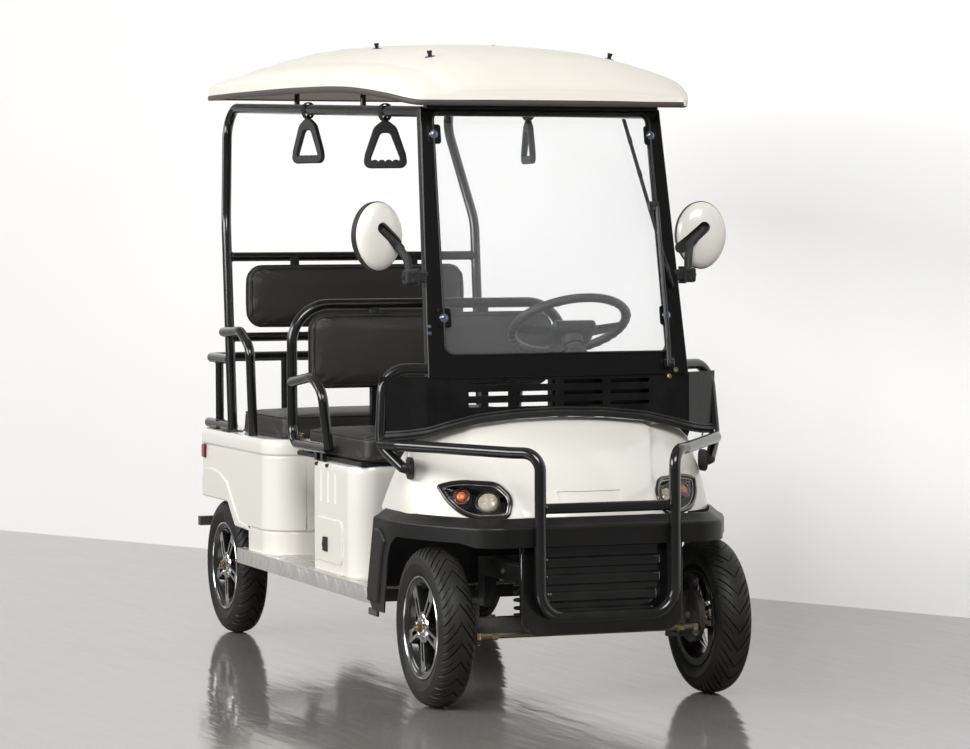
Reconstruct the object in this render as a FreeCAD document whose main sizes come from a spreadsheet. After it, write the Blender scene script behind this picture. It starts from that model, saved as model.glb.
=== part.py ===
import FreeCAD, Part
import Sketcher
import math
import os
import re

# Four-seat electric golf cart. Millimetres. +X is forward, +Y is the vehicle's left, +Z is up.
# The origin is on the ground, midway between the front guard's face and the rear bumper's face.

SIZES = [
    # alias, value, what it is
    ("half_length", 1290, "origin to the front guard's face, and to the rear bumper's face"),
    ("rear_overhang", 345, "rear bumper's face to the rear axle"),
    ("wheelbase", 1960, "rear axle to front axle"),
    ("half_track", 409, "cart's middle to a wheel's middle"),
    # wheels
    ("tyre_radius", 220, "tread radius, which is also the axle height"),
    ("tyre_half_width", 50, "half the tyre's section width"),
    ("rim_half_width", 44, "half the rim's width over its lips"),
    ("rim_lip", 5, "lip thickness"),
    ("rim_lip_radius", 143, "lip radius"),
    ("bead_radius", 127, "bead seat radius"),
    ("rim_wall", 6, "barrel thickness"),
    ("web_back", 12, "back of the spokes from the wheel's middle"),
    ("web_front", 30, "front of the spokes from the wheel's middle"),
    ("hub_radius", 40, "hub radius"),
    ("hub_back", 30, "hub's inner end from the wheel's middle"),
    ("hub_front", 42, "hub's outer end from the wheel's middle"),
    ("cap_radius", 19, "axle cap radius"),
    ("cap_front", 60, "axle cap's end from the wheel's middle"),
    ("spindle_radius", 12, "wheel spindle radius"),
    ("spindle_end", 40, "spindle's end from the wheel's middle"),
    ("running_gap", 0.08, "radial clearance of pins and spindles"),
    ("spoke_windows", 5, "windows between the spoke pairs"),
    ("window_inner", 46, "window's inner radius"),
    ("window_outer", 102, "window's outer radius"),
    ("window_inner_half", 9, "half the window's width at its inner end"),
    ("window_outer_half", 50, "half the window's width at its outer end"),
    ("slot_half", 5, "half the width of the slot that splits a spoke"),
    ("slot_inner", 58, "slot's inner radius"),
    ("slot_outer", 110, "slot's outer radius"),
    # steering and front axle
    ("kingpin_y", 325, "cart's middle to a kingpin"),
    ("kingpin_radius", 17, "knuckle barrel radius"),
    ("kingpin_half", 45, "half the knuckle barrel's height"),
    ("pin_radius", 8, "kingpin bolt radius"),
    ("ear_thickness", 10, "thickness of the axle's forked ends"),
    ("ear_gap", 1, "gap above and below the knuckle barrel"),
    ("steer_arm", 110, "kingpin to tie rod pin"),
    ("steer_arm_drop", 34, "steering arm's middle below the axle"),
    ("steer_arm_half", 14, "half the steering arm's width"),
    ("ear_half", 13, "half the width of the axle's forked ends"),
    ("drum_clear", 5, "front brake drum's clearance from the forked ends on full lock"),
    ("fork_inset", 30, "kingpin to the fork's upright"),
    ("fork_half", 12, "half the width of the fork's upright"),
    ("steer_arm_thickness", 12, "steering arm thickness"),
    ("tie_pin_radius", 6, "tie rod pin radius"),
    ("tie_rod_radius", 9, "tie rod radius"),
    ("open_pin_gap", 1, "radial clearance of the tie rod's right pin"),
    ("axle_beam", 40, "front axle beam's width and height"),
    ("rear_axle_radius", 26, "rear axle tube radius"),
    ("drum_radius", 75, "brake drum radius"),
    ("drum_width", 38, "brake drum width"),
    ("drum_gap", 8, "gap between a brake drum and a hub"),
    ("differential_radius", 72, "differential housing radius"),
    ("wheel_hand", 185, "steering wheel's outer radius"),
    ("hand_rim_radius", 14, "steering wheel rim's section radius"),
    ("hand_x", 445, "steering wheel centre, forward of the origin"),
    ("hand_y", 215, "steering wheel centre, left of the middle"),
    ("hand_z", 1029, "steering wheel centre height"),
    ("column_tilt", 29, "column's lean from upright, in degrees"),
    ("column_radius", 20, "steering column radius"),
    ("column_length", 700, "steering wheel centre to the column's lower end"),
    # floor and chassis
    ("floor_top", 300, "floor height"),
    ("floor_sheet", 4, "floor plate thickness"),
    ("floor_half_width", 480, "half the floor plate's width"),
    ("floor_flange", 48, "height of the turned-down edges"),
    ("floor_rear", -700, "floor plate's rear edge"),
    ("floor_front", 700, "floor plate's front edge"),
    ("rail_y", 150, "cart's middle to a chassis rail's middle"),
    ("rail_half", 20, "half a chassis rail's width"),
    ("low_rail_bottom", 240, "lower rails' underside"),
    ("high_rail_bottom", 330, "raised rails' underside"),
    ("high_rail_top", 380, "raised rails' top"),
    ("rise_rear", -702, "front of the rear rise"),
    ("rise_front", 702, "rear of the front rise"),
    ("rise_width", 50, "length of a rise along the cart"),
    ("rail_front", 1222, "rails' front end, where the louvre panel stands"),
    ("rail_rear", -1220, "rails' rear end"),
    # rear body
    ("body_rear", -1215, "rear body's back"),
    ("body_front", -375, "rear body's front"),
    ("body_half_width", 465, "half the rear body's width"),
    ("body_top", 662, "rear body's deck height"),
    ("body_wall", 5, "moulded panels' thickness"),
    ("body_corner_front", 110, "front corner radius"),
    ("body_corner_rear", 60, "rear corner radius"),
    ("arch_top", 435, "rear wheel arch's height and the body's lower edge behind it"),
    ("arch_step", 360, "lower step of the arch's front"),
    ("arch_reach", 95, "rear axle to the end of the arch's top"),
    ("arch_foot", 185, "rear axle to the foot of the arch's slope"),
    ("arch_end", 320, "rear axle to the end of the arch's step"),
    # front seat box
    ("box_rear", 30, "front seat box's back"),
    ("box_front", 430, "front seat box's front"),
    ("box_half_width", 450, "half the front seat box's width"),
    ("box_top", 625, "front seat box's top"),
    ("box_corner", 80, "front corner radius"),
    ("battery_height", 230, "battery block's height"),
    # cushions and pads
    ("cushion_edge", 22, "cushions' edge radius"),
    ("front_cushion_rear", -150, "front cushion's back"),
    ("front_cushion_front", 440, "front cushion's front"),
    ("cushion_inset", 25, "front seat box's side to the front cushion's side"),
    ("front_cushion_top", 722, "front cushion's top"),
    ("seat_board", 12, "seat board under the front cushion"),
    ("soft_gap", 0.3, "gap between a soft part and its neighbour"),
    ("rear_cushion_rear", -860, "rear cushion's back"),
    ("rear_cushion_front", -385, "rear cushion's front"),
    ("rear_cushion_inset", 41, "rear body's side to the rear cushion's side"),
    ("rear_cushion_top", 745, "rear cushion's top"),
    ("pad_inset", 45, "front seat box's side to the front back pad's side"),
    ("front_pad_bottom", 822, "front back pad's lower edge"),
    ("front_pad_top", 1066, "front back pad's upper edge"),
    ("rear_pad_front", -895, "rear back pad's front"),
    ("rear_pad_inset", 83, "rear body's side to the rear back pad's side"),
    ("rear_pad_bottom", 992, "rear back pad's lower edge"),
    ("rear_pad_top", 1210, "rear back pad's upper edge"),
    ("pad_thickness", 45, "back pads' thickness"),
    ("pad_corner", 55, "back pads' corner radius"),
    # tubes
    ("tube_radius", 16, "radius of the main bent tubes"),
    ("tube_bend", 70, "bend radius of the main tubes"),
    ("post_foot_x", -905, "rear post's foot"),
    ("post_inset", 33, "rear body's side to the middle of a rear post's foot"),
    ("post_knee_x", -965, "rear post's knee"),
    ("post_knee_z", 1345, "rear post's knee height"),
    ("post_head_x", -1130, "rear post's upper bend"),
    ("rail_high_y", 378, "roof rails from the middle at the back"),
    ("rail_high_front_y", 345, "roof rails from the middle at the windscreen"),
    ("rail_high_front_x", 756, "roof rails' front ends"),
    ("rail_high_rear", 1722, "roof rails' height at the back"),
    ("rail_high_front", 1642, "roof rails' height at the windscreen"),
    ("upper_bar_z", 1230, "upper rear crossbar's height"),
    ("lower_bar_z", 968, "lower rear crossbar's height"),
    ("roof_bar_a", -760, "rear roof crossbar"),
    ("roof_bar_b", -120, "middle roof crossbar"),
    ("roof_bar_c", 616, "front roof crossbar"),
    ("seat_frame_x", -195, "front seat back frame"),
    ("seat_frame_inset", 5, "front seat box's side to the middle of the seat back frame's tube"),
    ("seat_frame_top", 1086, "front seat back frame's top"),
    ("seat_frame_foot", 663, "front seat back frame's foot tubes' height"),
    ("upright_half", 12, "half the seat frame uprights' thickness"),
    ("upright_y", 180, "seat frame uprights from the middle"),
    ("tab_width", 30, "rear pad's tabs' width"),
    ("tab_lap", 30, "tabs' lap on the rear pad"),
    ("tab_thickness", 4, "tabs' thickness"),
    ("seat_frame_bend", 120, "front seat back frame's corner radius"),
    ("rack_rear", -1195, "rack's rear crossbar"),
    ("rack_inset", 35, "rear body's side to the middle of the rack's tubes"),
    ("rack_top", 895, "rack's top"),
    ("rack_inner", 165, "rack's inner uprights from the middle"),
    ("rack_side", 130, "rack's rear crossbar to its side uprights"),
    ("rest_stand", 18, "middle of the seat back frame's tube to the middle of an armrest's"),
    ("rear_rest_inset", 2, "rear body's side to the middle of a rear armrest's tube"),
    ("rest_radius", 15, "armrest tube radius"),
    ("rest_lead", 60, "seat back frame to the armrest's first bend"),
    ("rest_slope", 4, "armrest's rise to its first bend"),
    ("rest_crest_x", 75, "front armrests' crest"),
    ("rest_crest", 28, "front armrests' rise to the crest"),
    ("rest_tip_x", 168, "front armrests' front bend"),
    ("rest_tip", 18, "front armrests' fall to the front bend"),
    ("rear_rest_lead", 30, "rear post to the rear armrest's first bend"),
    ("rear_rest_crest_x", -700, "rear armrests' crest"),
    ("rear_rest_crest", 12, "rear armrests' rise to the crest"),
    ("rear_rest_tip_x", -592, "rear armrests' front bend"),
    ("rear_rest_tip", 40, "rear armrests' fall to the front bend"),
    ("rear_rest_foot_x", -625, "rear armrests' feet"),
    ("rear_rest_foot_inset", 20, "rear body's side to the middle of a rear armrest's foot"),
    ("loop_y", 508, "cowl side loops from the middle"),
    ("loop_radius", 15, "cowl side loop's tube radius"),
    ("loop_lap", 8, "windscreen foot's side to the side loop's end"),
    ("guard_y", 197, "front guard's uprights from the middle"),
    ("guard_end_x", 923, "front guard's rear bends"),
    ("guard_end_y", 476, "front guard's rear bends from the middle"),
    ("guard_end_z", 716, "front guard's rear bends' height"),
    ("guard_kink_x", 1211, "front guard's bends before its uprights"),
    ("guard_kink_y", 255, "front guard's bends before its uprights, from the middle"),
    ("guard_shoulder_z", 706, "front guard's top height"),
    ("guard_bar_z", 556, "front guard's crossbar height"),
    ("guard_foot_z", 262, "front guard's lower tube height"),
    ("guard_bar_back", 4, "front guard's crossbar behind the uprights' middle"),
    ("stay_half", 12, "half the guard stays' width and height"),
    ("stay_y", 120.35, "guard stays' middles from the cart's middle"),
    # windscreen
    ("screen_lean", 10.7, "windscreen's backward lean, in degrees"),
    ("screen_foot_x", 924, "windscreen's foot"),
    ("screen_foot_z", 899, "windscreen frame's lower edge height"),
    ("screen_height", 768, "windscreen frame's length up its slope"),
    ("screen_foot_half", 392, "half the frame's width at its foot"),
    ("screen_head_half", 364, "half the frame's width at its head"),
    ("screen_sill", 64, "height of the frame's lower beam"),
    ("screen_head", 18, "height of the frame's upper beam"),
    ("pillar_foot", 76, "pillar width at the foot"),
    ("pillar_head", 66, "pillar width at the head"),
    ("screen_depth", 34, "frame's depth"),
    ("glass_thickness", 5, "windscreen glass thickness"),
    ("clip_half", 24, "half the glass clips' height"),
    ("clip_lap", 8, "glass clips' lap on the glass"),
    ("clip_reach", 44, "glass clips' reach on the frame"),
    ("clip_proud", 3, "glass clips' stand ahead of the frame"),
    ("wiper_turn", 13, "wiper blade's turn about its link, in degrees"),
    ("wiper_link_y", 305, "wiper blade's turning point from the middle"),
    ("wiper_link_z", 480, "wiper blade's turning point up the windscreen"),
    # cowl, bumper and dash
    ("cowl_base", 528, "cowl's lower edge height, on the bumper"),
    ("cowl_gap", 8, "toe board to the cowl's rear edge at its base"),
    ("cowl_lap", 22, "cowl's base edge in from its outer face, where the bumper's ledge ends under it"),
    ("bumper_bottom", 452, "bumper's lower edge height"),
    ("bumper_half_width", 485.3, "half the bumper's width"),
    ("bumper_bend_x", 900, "front end of the bumper's straight sides"),
    ("bumper_corner_x", 1045, "bumper's front corner"),
    ("bumper_corner_y", 449, "bumper's front corner from the middle"),
    ("bumper_nose_y", 362, "half the width of the bumper's front"),
    ("bumper_nose_run", 14, "bumper's front at its middle, ahead of its front's ends"),
    ("bumper_lip", 508, "top of the bumper's upright face, where the ledge starts"),
    ("bumper_ledge", 30, "ledge's run inwards up to the cowl's base"),
    ("bumper_front", 1255, "bumper's front at its middle"),
    ("flare_rear", 650, "rear of the wheel flares"),
    ("flare_foot_rear", 735, "rear of the flares' feet"),
    ("flare_foot", 240, "flares' lower edge height"),
    ("flare_arch_rear", 790, "flare opening's rear edge at its foot"),
    ("flare_knee_x", 835, "flare opening's rear bend"),
    ("flare_knee_z", 400, "height of the flare opening's rear bend"),
    ("flare_arch_top", 462, "flare opening's top"),
    ("flare_top_rear", 120, "front axle to the rear end of the flare opening's top"),
    ("flare_top_front", 150, "front axle to the front end of the flare opening's top"),
    ("flare_end", 200, "front axle to where the bumper's lower edge starts"),
    ("flare_heel_x", 640, "rear of the flares at their lower bend"),
    ("flare_heel_z", 285, "height of the flares' lower bend"),
    ("flare_back_x", 710, "rear of the flares at their upper bend"),
    ("flare_back_z", 500, "height of the flares' upper bend"),
    ("flare_top_x", 740, "rear of the flares at the ledge"),
    ("louvre_half", 238, "half the louvre panel's width"),
    ("louvre_bottom", 208, "louvre panel's lower edge"),
    ("louvre_thickness", 14, "louvre panel's thickness"),
    ("louvre_rib", 18, "louvre ribs' height"),
    ("louvre_rib_half", 178.5, "half the louvre ribs' length"),
    ("louvre_rib_proud", 8.4, "louvre ribs' stand"),
    ("louvre_rib_first", 70, "louvre panel's lower edge to the lowest rib"),
    ("louvre_rib_pitch", 44, "spacing of the louvre ribs"),
    ("spring_radius", 28, "suspension spring radius"),
    ("neck_radius", 44, "differential's neck radius"),
    ("neck_length", 95, "rear axle to the motor's face"),
    ("motor_radius", 70, "drive motor radius"),
    ("motor_length", 140, "drive motor length"),
    ("toe_foot_x", 655, "toe board's foot"),
    ("toe_knee_x", 672, "toe board's lower bend"),
    ("toe_knee_z", 530, "toe board's lower bend height"),
    ("toe_head_x", 845, "toe board's upper edge"),
    ("toe_head_z", 742, "toe board's upper edge height"),
    ("toe_wall", 6, "toe board thickness"),
    ("toe_half", 430, "half the toe board's width"),
    ("shield_wall", 5, "slotted dash shield's thickness"),
    ("shield_x", 918, "dash shield's front at its middle"),
    ("shield_bend_y", 395, "dash shield's flat part, from the middle"),
    ("shield_top", 904, "dash shield's top, trimmed under the windscreen frame"),
    ("shield_wing_foot", 738, "lower edge of the dash shield's wings"),
    ("shield_brow", 800, "dash shield's lower edge at the middle"),
    ("shield_brow_end", 740, "dash shield's lower edge beside the wings"),
    ("shield_brow_end_y", 455, "dash shield's lower edge beside the wings, from the middle"),
    ("shield_brow_y", 250, "dash shield's lower edge, from the middle to its slight bend"),
    ("shield_brow_fall", 16, "fall of the dash shield's lower edge to that bend"),
    ("slot_width", 118, "dash shield slot width"),
    ("slot_height", 11, "dash shield slot height"),
    ("slot_pitch_y", 142, "spacing of the slots across the cart"),
    ("slot_pitch_z", 31, "spacing of the slot rows"),
    ("slot_first_z", 822, "lowest slot row's middle"),
    # roof
    ("roof_wall", 6, "roof shell's thickness"),
    ("roof_rear", -1262, "roof's rear edge"),
    ("roof_front", 878, "roof's front edge"),
    ("roof_half", 462, "half the roof's width"),
    ("roof_rim", 34, "height of the roof's upright rim"),
    # mirrors, straps, lamps, small parts
    ("mirror_x", 790, "mirror head's middle"),
    ("mirror_y", 490, "mirror heads from the middle"),
    ("mirror_z", 1293, "mirror heads' height"),
    ("mirror_half_width", 74, "half the mirror head's width"),
    ("mirror_half_height", 98, "half the mirror head's height"),
    ("mirror_depth", 34, "mirror head's depth"),
    ("mirror_turn", 12, "mirror head's turn, in degrees"),
    ("mirror_arm_radius", 10, "mirror arm radius"),
    ("mirror_arm_back", 8, "arm's end behind the middle of the mirror head"),
    ("mirror_arm_drop", 10, "arm's end below the middle of the mirror head"),
    ("mirror_foot_z", 1180, "mirror clamp height"),
    ("mirror_foot_inset", 6, "windscreen foot's side to the mirror clamp's seat"),
    ("mirror_clamp_radius", 11, "mirror clamp radius"),
    ("mirror_clamp_in", 30, "mirror clamp's reach inwards from its seat"),
    ("mirror_clamp_out", 40, "mirror clamp's reach outwards from its seat"),
    ("mirror_elbow", 32, "mirror clamp's seat to the arm's elbow"),
    ("strap_drop", 28, "roof rail to a hand strap's handle"),
    ("strap_height", 137, "hand strap handle's height"),
    ("strap_half_width", 63, "half the hand strap handle's width"),
    ("strap_bar", 9, "half the handle's thickness"),
    ("strap_web", 24, "hand strap webbing's width"),
    ("strap_web_thickness", 5, "hand strap webbing's thickness"),
    ("strap_front_x", 435, "front hand strap"),
    ("strap_rear_x", -275, "rear hand straps"),
    ("lamp_width", 215, "headlamp housing's length"),
    ("lamp_height", 114, "headlamp housing's height"),
    ("lamp_x", 1056, "headlamp's middle"),
    ("lamp_y", 306, "headlamps from the middle"),
    ("lamp_z", 572, "headlamps' height"),
    ("lamp_rake", 28, "headlamp face's backward lean, in degrees"),
    ("lamp_sweep", 29, "headlamp face's turn outwards, in degrees"),
    ("lamp_back", 40, "headlamp housing's depth behind its middle"),
    ("lamp_front", 30, "headlamp housing's depth ahead of its middle, before the cowl's form trims it"),
    ("lamp_proud", 3, "headlamp cover's stand ahead of the cowl"),
    ("lamp_rise", 1, "headlamp cover's stand above the cowl"),
    ("tail_lamp_top", 90, "rear body's top to the rear lamps"),
    ("tail_lamp_height", 60, "rear lamps' height"),
    ("tail_lamp_inner", 255.75, "rear lamps' inner ends from the middle"),
    ("tail_lamp_outer", 372, "rear lamps' outer ends from the middle"),
    ("marker_x", 64, "rear body's back to the side markers"),
    ("marker_length", 30, "side markers' length"),
    ("marker_top", 55, "rear body's top to the side markers"),
    ("marker_height", 40, "side markers' height"),
    ("bumper_bar", 15, "half the rear bumper bar's height and depth"),
    ("bumper_bar_z", 345, "rear bumper bar's height"),
    ("bumper_bar_half", 455, "half the rear bumper bar's width"),
    ("tongue_reach", 35, "tow tongue's length behind the bumper bar"),
    ("tongue_half", 32, "half the tow tongue's width"),
    ("tongue_thickness", 10, "tow tongue's thickness"),
    ("tow_pin_radius", 8.2, "tow pin hole's radius"),
    ("post_tip", 4, "windscreen posts' lean at their ends"),
    ("post_foot_front_x", 632, "windscreen posts' feet"),
    ("post_knee_front_x", 652, "windscreen posts' knees"),
    ("post_knee_front_z", 540, "windscreen posts' knee height"),
    ("post_head_front_x", 886, "windscreen posts' heads"),
    ("post_front_y", 412, "windscreen posts' feet from the middle"),
    ("post_head_front_y", 372, "windscreen posts' heads from the middle"),
    ("rest_rear_z", 982, "rear armrests' height at the posts"),
    ("rest_foot_x", 172, "front armrests' lower ends"),
    ("rest_front_z", 848, "front armrests' height at the seat frame"),
    ("loop_top", 925, "cowl side loops' top"),
    ("loop_back_x", 830, "back of the cowl side loops"),
    ("loop_foot_z", 652, "cowl side loops' feet"),
    ("stud_radius", 9, "roof stud radius"),
    ("stud_rear_y", 250, "rear roof studs from the middle"),
    ("stud_middle_y", 235, "middle roof studs from the middle"),
    ("stud_front_y", 275, "front roof studs from the middle"),
    ("pedal_back", 40, "pedal pads from the toe board"),
    ("pedal_half", 32, "half a pedal's width"),
    ("pedal_height", 80, "pedal pad's height"),
    ("pedal_z", 350, "pedal pads' lower edge height"),
    ("pedal_thickness", 10, "pedal pads' thickness"),
    ("pedal_stem", 16, "pedal stems' width and height"),
    ("pedal_stem_z", 380, "pedal stems' lower face height"),
    ("pedal_stem_length", 90, "pedal stems' length before the toe board trims them"),
    ("brake_y", 280, "brake pedal, left of the middle"),
    ("throttle_y", 130, "accelerator pedal, left of the middle"),
]

doc = FreeCAD.newDocument("golf_cart")
sheet = doc.addObject("Spreadsheet::Sheet", "Sizes")
for row, (alias, number, note) in enumerate(SIZES, start=1):
    sheet.set(f"A{row}", note)
    sheet.set(f"B{row}", str(number))
    sheet.setAlias(f"B{row}", alias)
doc.recompute()

parts = []
REAR_AXLE = "(rear_overhang - half_length)"
FRONT_AXLE = "(rear_overhang - half_length + wheelbase)"
FRONT_CUSHION_HALF = "(box_half_width - cushion_inset)"
REAR_CUSHION_HALF = "(body_half_width - rear_cushion_inset)"
FRONT_PAD_HALF = "(box_half_width - pad_inset)"
REAR_PAD_HALF = "(body_half_width - rear_pad_inset)"
POST_FOOT_Y = "(body_half_width - post_inset)"
SEAT_FRAME_HALF = "(box_half_width - seat_frame_inset)"
RACK_HALF = "(body_half_width - rack_inset)"
REST_Y = "(box_half_width - seat_frame_inset + rest_stand)"
REAR_REST_Y = "(body_half_width - rear_rest_inset)"


def in_sheet(text):
    """The expression with each size's name pointed at the sheet."""
    return re.sub(r"\b[a-z]\w*\b(?!\()", r"Sizes.\g<0>", text)


def value(text):
    """A size expression's value."""
    return float(sheet.evalExpression(in_sheet(text)))


def point(along, across, up):
    """A place given by three size expressions."""
    return FreeCAD.Vector(value(along), value(across), value(up))


def keep(part, label):
    """Name a finished sub-part and put it on the list of files."""
    part.Label = label
    parts.append(part)
    return part


def solid(label, shape):
    """Sub-part whose shape is worked out with Part's own functions."""
    part = doc.addObject("Part::Feature", "Solid")
    part.Shape = shape
    return keep(part, label)


# ---- primitives ----

def box(low, high):
    """Block between two corners, each an (x, y, z) triple of size expressions."""
    block = doc.addObject("Part::Box", "Block")
    for axis, edge, start, end in zip("xyz", ("Length", "Width", "Height"), low, high):
        block.setExpression(f"Placement.Base.{axis}", in_sheet(start))
        block.setExpression(edge, in_sheet(f"({end}) - ({start})"))
    return block


def rod(axis, start, length, radius):
    """Round bar from a place along a main axis."""
    turns = {"x": (FreeCAD.Vector(0, 1, 0), 90), "y": (FreeCAD.Vector(1, 0, 0), -90),
             "z": (FreeCAD.Vector(0, 0, 1), 0)}
    bar = doc.addObject("Part::Cylinder", "Bar")
    bar.Placement.Rotation = FreeCAD.Rotation(*turns[axis])
    for name, place in zip("xyz", start):
        bar.setExpression(f"Placement.Base.{name}", in_sheet(place))
    bar.setExpression("Height", in_sheet(length))
    bar.setExpression("Radius", in_sheet(radius))
    return bar


def weld(pieces):
    """Pieces joined into one solid."""
    joined = doc.addObject("Part::MultiFuse", "Weld")
    joined.Shapes = pieces
    joined.Refine = True
    return joined


def group(pieces):
    """Like pieces that don't touch, kept as separate solids of one sub-part."""
    pack = doc.addObject("Part::Compound", "Group")
    pack.Links = pieces
    return pack


def cut(base, tools):
    """A piece less one or more tools."""
    trimmed = doc.addObject("Part::Cut", "Trim")
    trimmed.Base = base
    trimmed.Tool = tools[0] if len(tools) == 1 else weld(tools)
    trimmed.Refine = True
    return trimmed


# ---- sketches and bodies ----

def origin_plane(body, role):
    return next(item for item in body.Origin.OriginFeatures if item.Role == role)


def outline(body, plane, corners, start="0"):
    """Closed sketch through corners, each an (across, up) pair, shifted along the plane's main axis."""
    sketch = body.newObject("Sketcher::SketchObject", "Outline")
    sketch.AttachmentSupport = [(origin_plane(body, plane), "")]
    sketch.MapMode = "FlatFace"
    away = f"-({start})" if plane == "XZ_Plane" else start
    sketch.setExpression("AttachmentOffset.Base.z", in_sheet(away))
    places = [FreeCAD.Vector(value(across), value(up), 0) for across, up in corners]
    for index, place in enumerate(places):
        sketch.addGeometry(Part.LineSegment(place, places[(index + 1) % len(places)]))
    for index in range(len(places)):
        sketch.addConstraint(Sketcher.Constraint("Coincident", index, 2, (index + 1) % len(places), 1))
    for index, corner in enumerate(corners):
        for kind, text in zip(("DistanceX", "DistanceY"), corner):
            number = sketch.addConstraint(Sketcher.Constraint(kind, -1, 1, index, 1, value(text)))
            sketch.setExpression(f"Constraints[{number}]", in_sheet(text))
    return sketch


def pad(body, plane, corners, start, length):
    """Extrusion towards the plane's positive axis."""
    sketch = outline(body, plane, corners, start)
    feature = body.newObject("PartDesign::Pad", "Pad")
    feature.Profile = sketch
    feature.setExpression("Length", in_sheet(length))
    feature.Reversed = plane == "XZ_Plane"
    doc.recompute()
    return feature


def pocket(body, plane, corners, start, length):
    """Cut towards the plane's positive axis."""
    before = body.Shape.Volume
    sketch = outline(body, plane, corners, start)
    feature = body.newObject("PartDesign::Pocket", "Pocket")
    feature.Profile = sketch
    feature.setExpression("Length", in_sheet(length))
    feature.Reversed = plane != "XZ_Plane"
    doc.recompute()
    if feature.Shape.Volume >= before:
        raise RuntimeError(f"a pocket in {body.Name} removes nothing")
    return feature


def revolve(body, corners):
    """Ring or disc about the body's Y axis; corners are (radius, along the axis)."""
    sketch = outline(body, "XY_Plane", corners)
    feature = body.newObject("PartDesign::Revolution", "Revolution")
    feature.Profile = sketch
    feature.ReferenceAxis = (sketch, ["V_Axis"])
    feature.Angle = 360
    doc.recompute()
    return feature


def around(body, feature, count):
    """Repeat a feature about the body's Y axis."""
    pattern = body.newObject("PartDesign::PolarPattern", "Around")
    pattern.Originals = [feature]
    axis = next(item for item in body.Origin.OriginFeatures if item.Role == "Y_Axis")
    pattern.Axis = (axis, [""])
    pattern.Angle = 360
    pattern.setExpression("Occurrences", in_sheet(count))
    body.Tip = pattern
    doc.recompute()
    return pattern


def fillet(body, radius, wanted):
    """Round the edges of the body's last feature that the test picks."""
    base = body.Tip
    names = [f"Edge{index}" for index, edge in enumerate(base.Shape.Edges, start=1) if wanted(edge)]
    feature = body.newObject("PartDesign::Fillet", "Fillet")
    feature.Base = (base, names)
    feature.setExpression("Radius", in_sheet(radius))
    doc.recompute()
    return feature


def runs_along(edge, axis):
    """True for a straight edge parallel to a main axis."""
    if edge.Curve.TypeId != "Part::GeomLine":
        return False
    along = edge.Vertexes[-1].Point - edge.Vertexes[0].Point
    return abs(abs(getattr(along.normalize(), axis)) - 1) < 1e-6


def mirror_pairs(half):
    """Right-hand corners followed by their left-hand mirror, as one closed outline."""
    return half + [(f"-({across})", up) for across, up in reversed(half)]


# ---- bent tubes ----

def bent_path(places, bends):
    """Wire through places, straight between them, each corner an arc of its own radius."""
    edges = []
    start = places[0]
    for before, corner, after, bend in zip(places, places[1:], places[2:], bends):
        arrive = (corner - before).normalize()
        leave = (after - corner).normalize()
        half_turn = arrive.getAngle(leave) / 2
        if half_turn < 0.004:
            continue
        reach = bend * math.tan(half_turn)
        bulge = (leave - arrive).normalize()
        centre = corner + bulge * (bend / math.cos(half_turn))
        near = corner - arrive * reach
        far = corner + leave * reach
        edges.append(Part.LineSegment(start, near).toShape())
        edges.append(Part.Arc(near, centre - bulge * bend, far).toShape())
        start = far
    edges.append(Part.LineSegment(start, places[-1]).toShape())
    return Part.Wire(edges)


def tube(places, radius, *bends):
    """Round bar bent along a path of (x, y, z) size expressions; the last bend serves all later corners."""
    spots = [point(*place) for place in places]
    radii = [value(bend) for bend in bends] + [value(bends[-1])] * len(places) if bends else []
    path = bent_path(spots, radii)
    ring = Part.Wire(Part.Circle(spots[0], spots[1] - spots[0], value(radius)).toShape())
    return Part.Solid(path.makePipeShell([ring], True, False))


def joined(shapes):
    """Shapes fused into one."""
    return shapes[0].multiFuse(shapes[1:]).removeSplitter()


def under(level):
    """Everything below a height, to trim a piece's foot flat."""
    reach = value("2 * half_length")
    return Part.makeBox(2 * reach, 2 * reach, value(level), FreeCAD.Vector(-reach, -reach, 0))


def prism(corners, thickness):
    """Solid between a closed outline of vectors and its copy, moved by a vector."""
    return Part.Face(Part.makePolygon(corners + corners[:1])).extrude(thickness)


def largest(shape):
    """The biggest solid of a cut shape."""
    return max(shape.Solids, key=lambda piece: piece.Volume)


def mirrored(shape):
    """The shape's image on the cart's other side."""
    return shape.mirror(FreeCAD.Vector(0, 0, 0), FreeCAD.Vector(0, 1, 0))


def pair(shape):
    """A shape and its mirror image, as two solids."""
    return Part.Compound([shape, mirrored(shape)])


# ---- wheels ----

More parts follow.
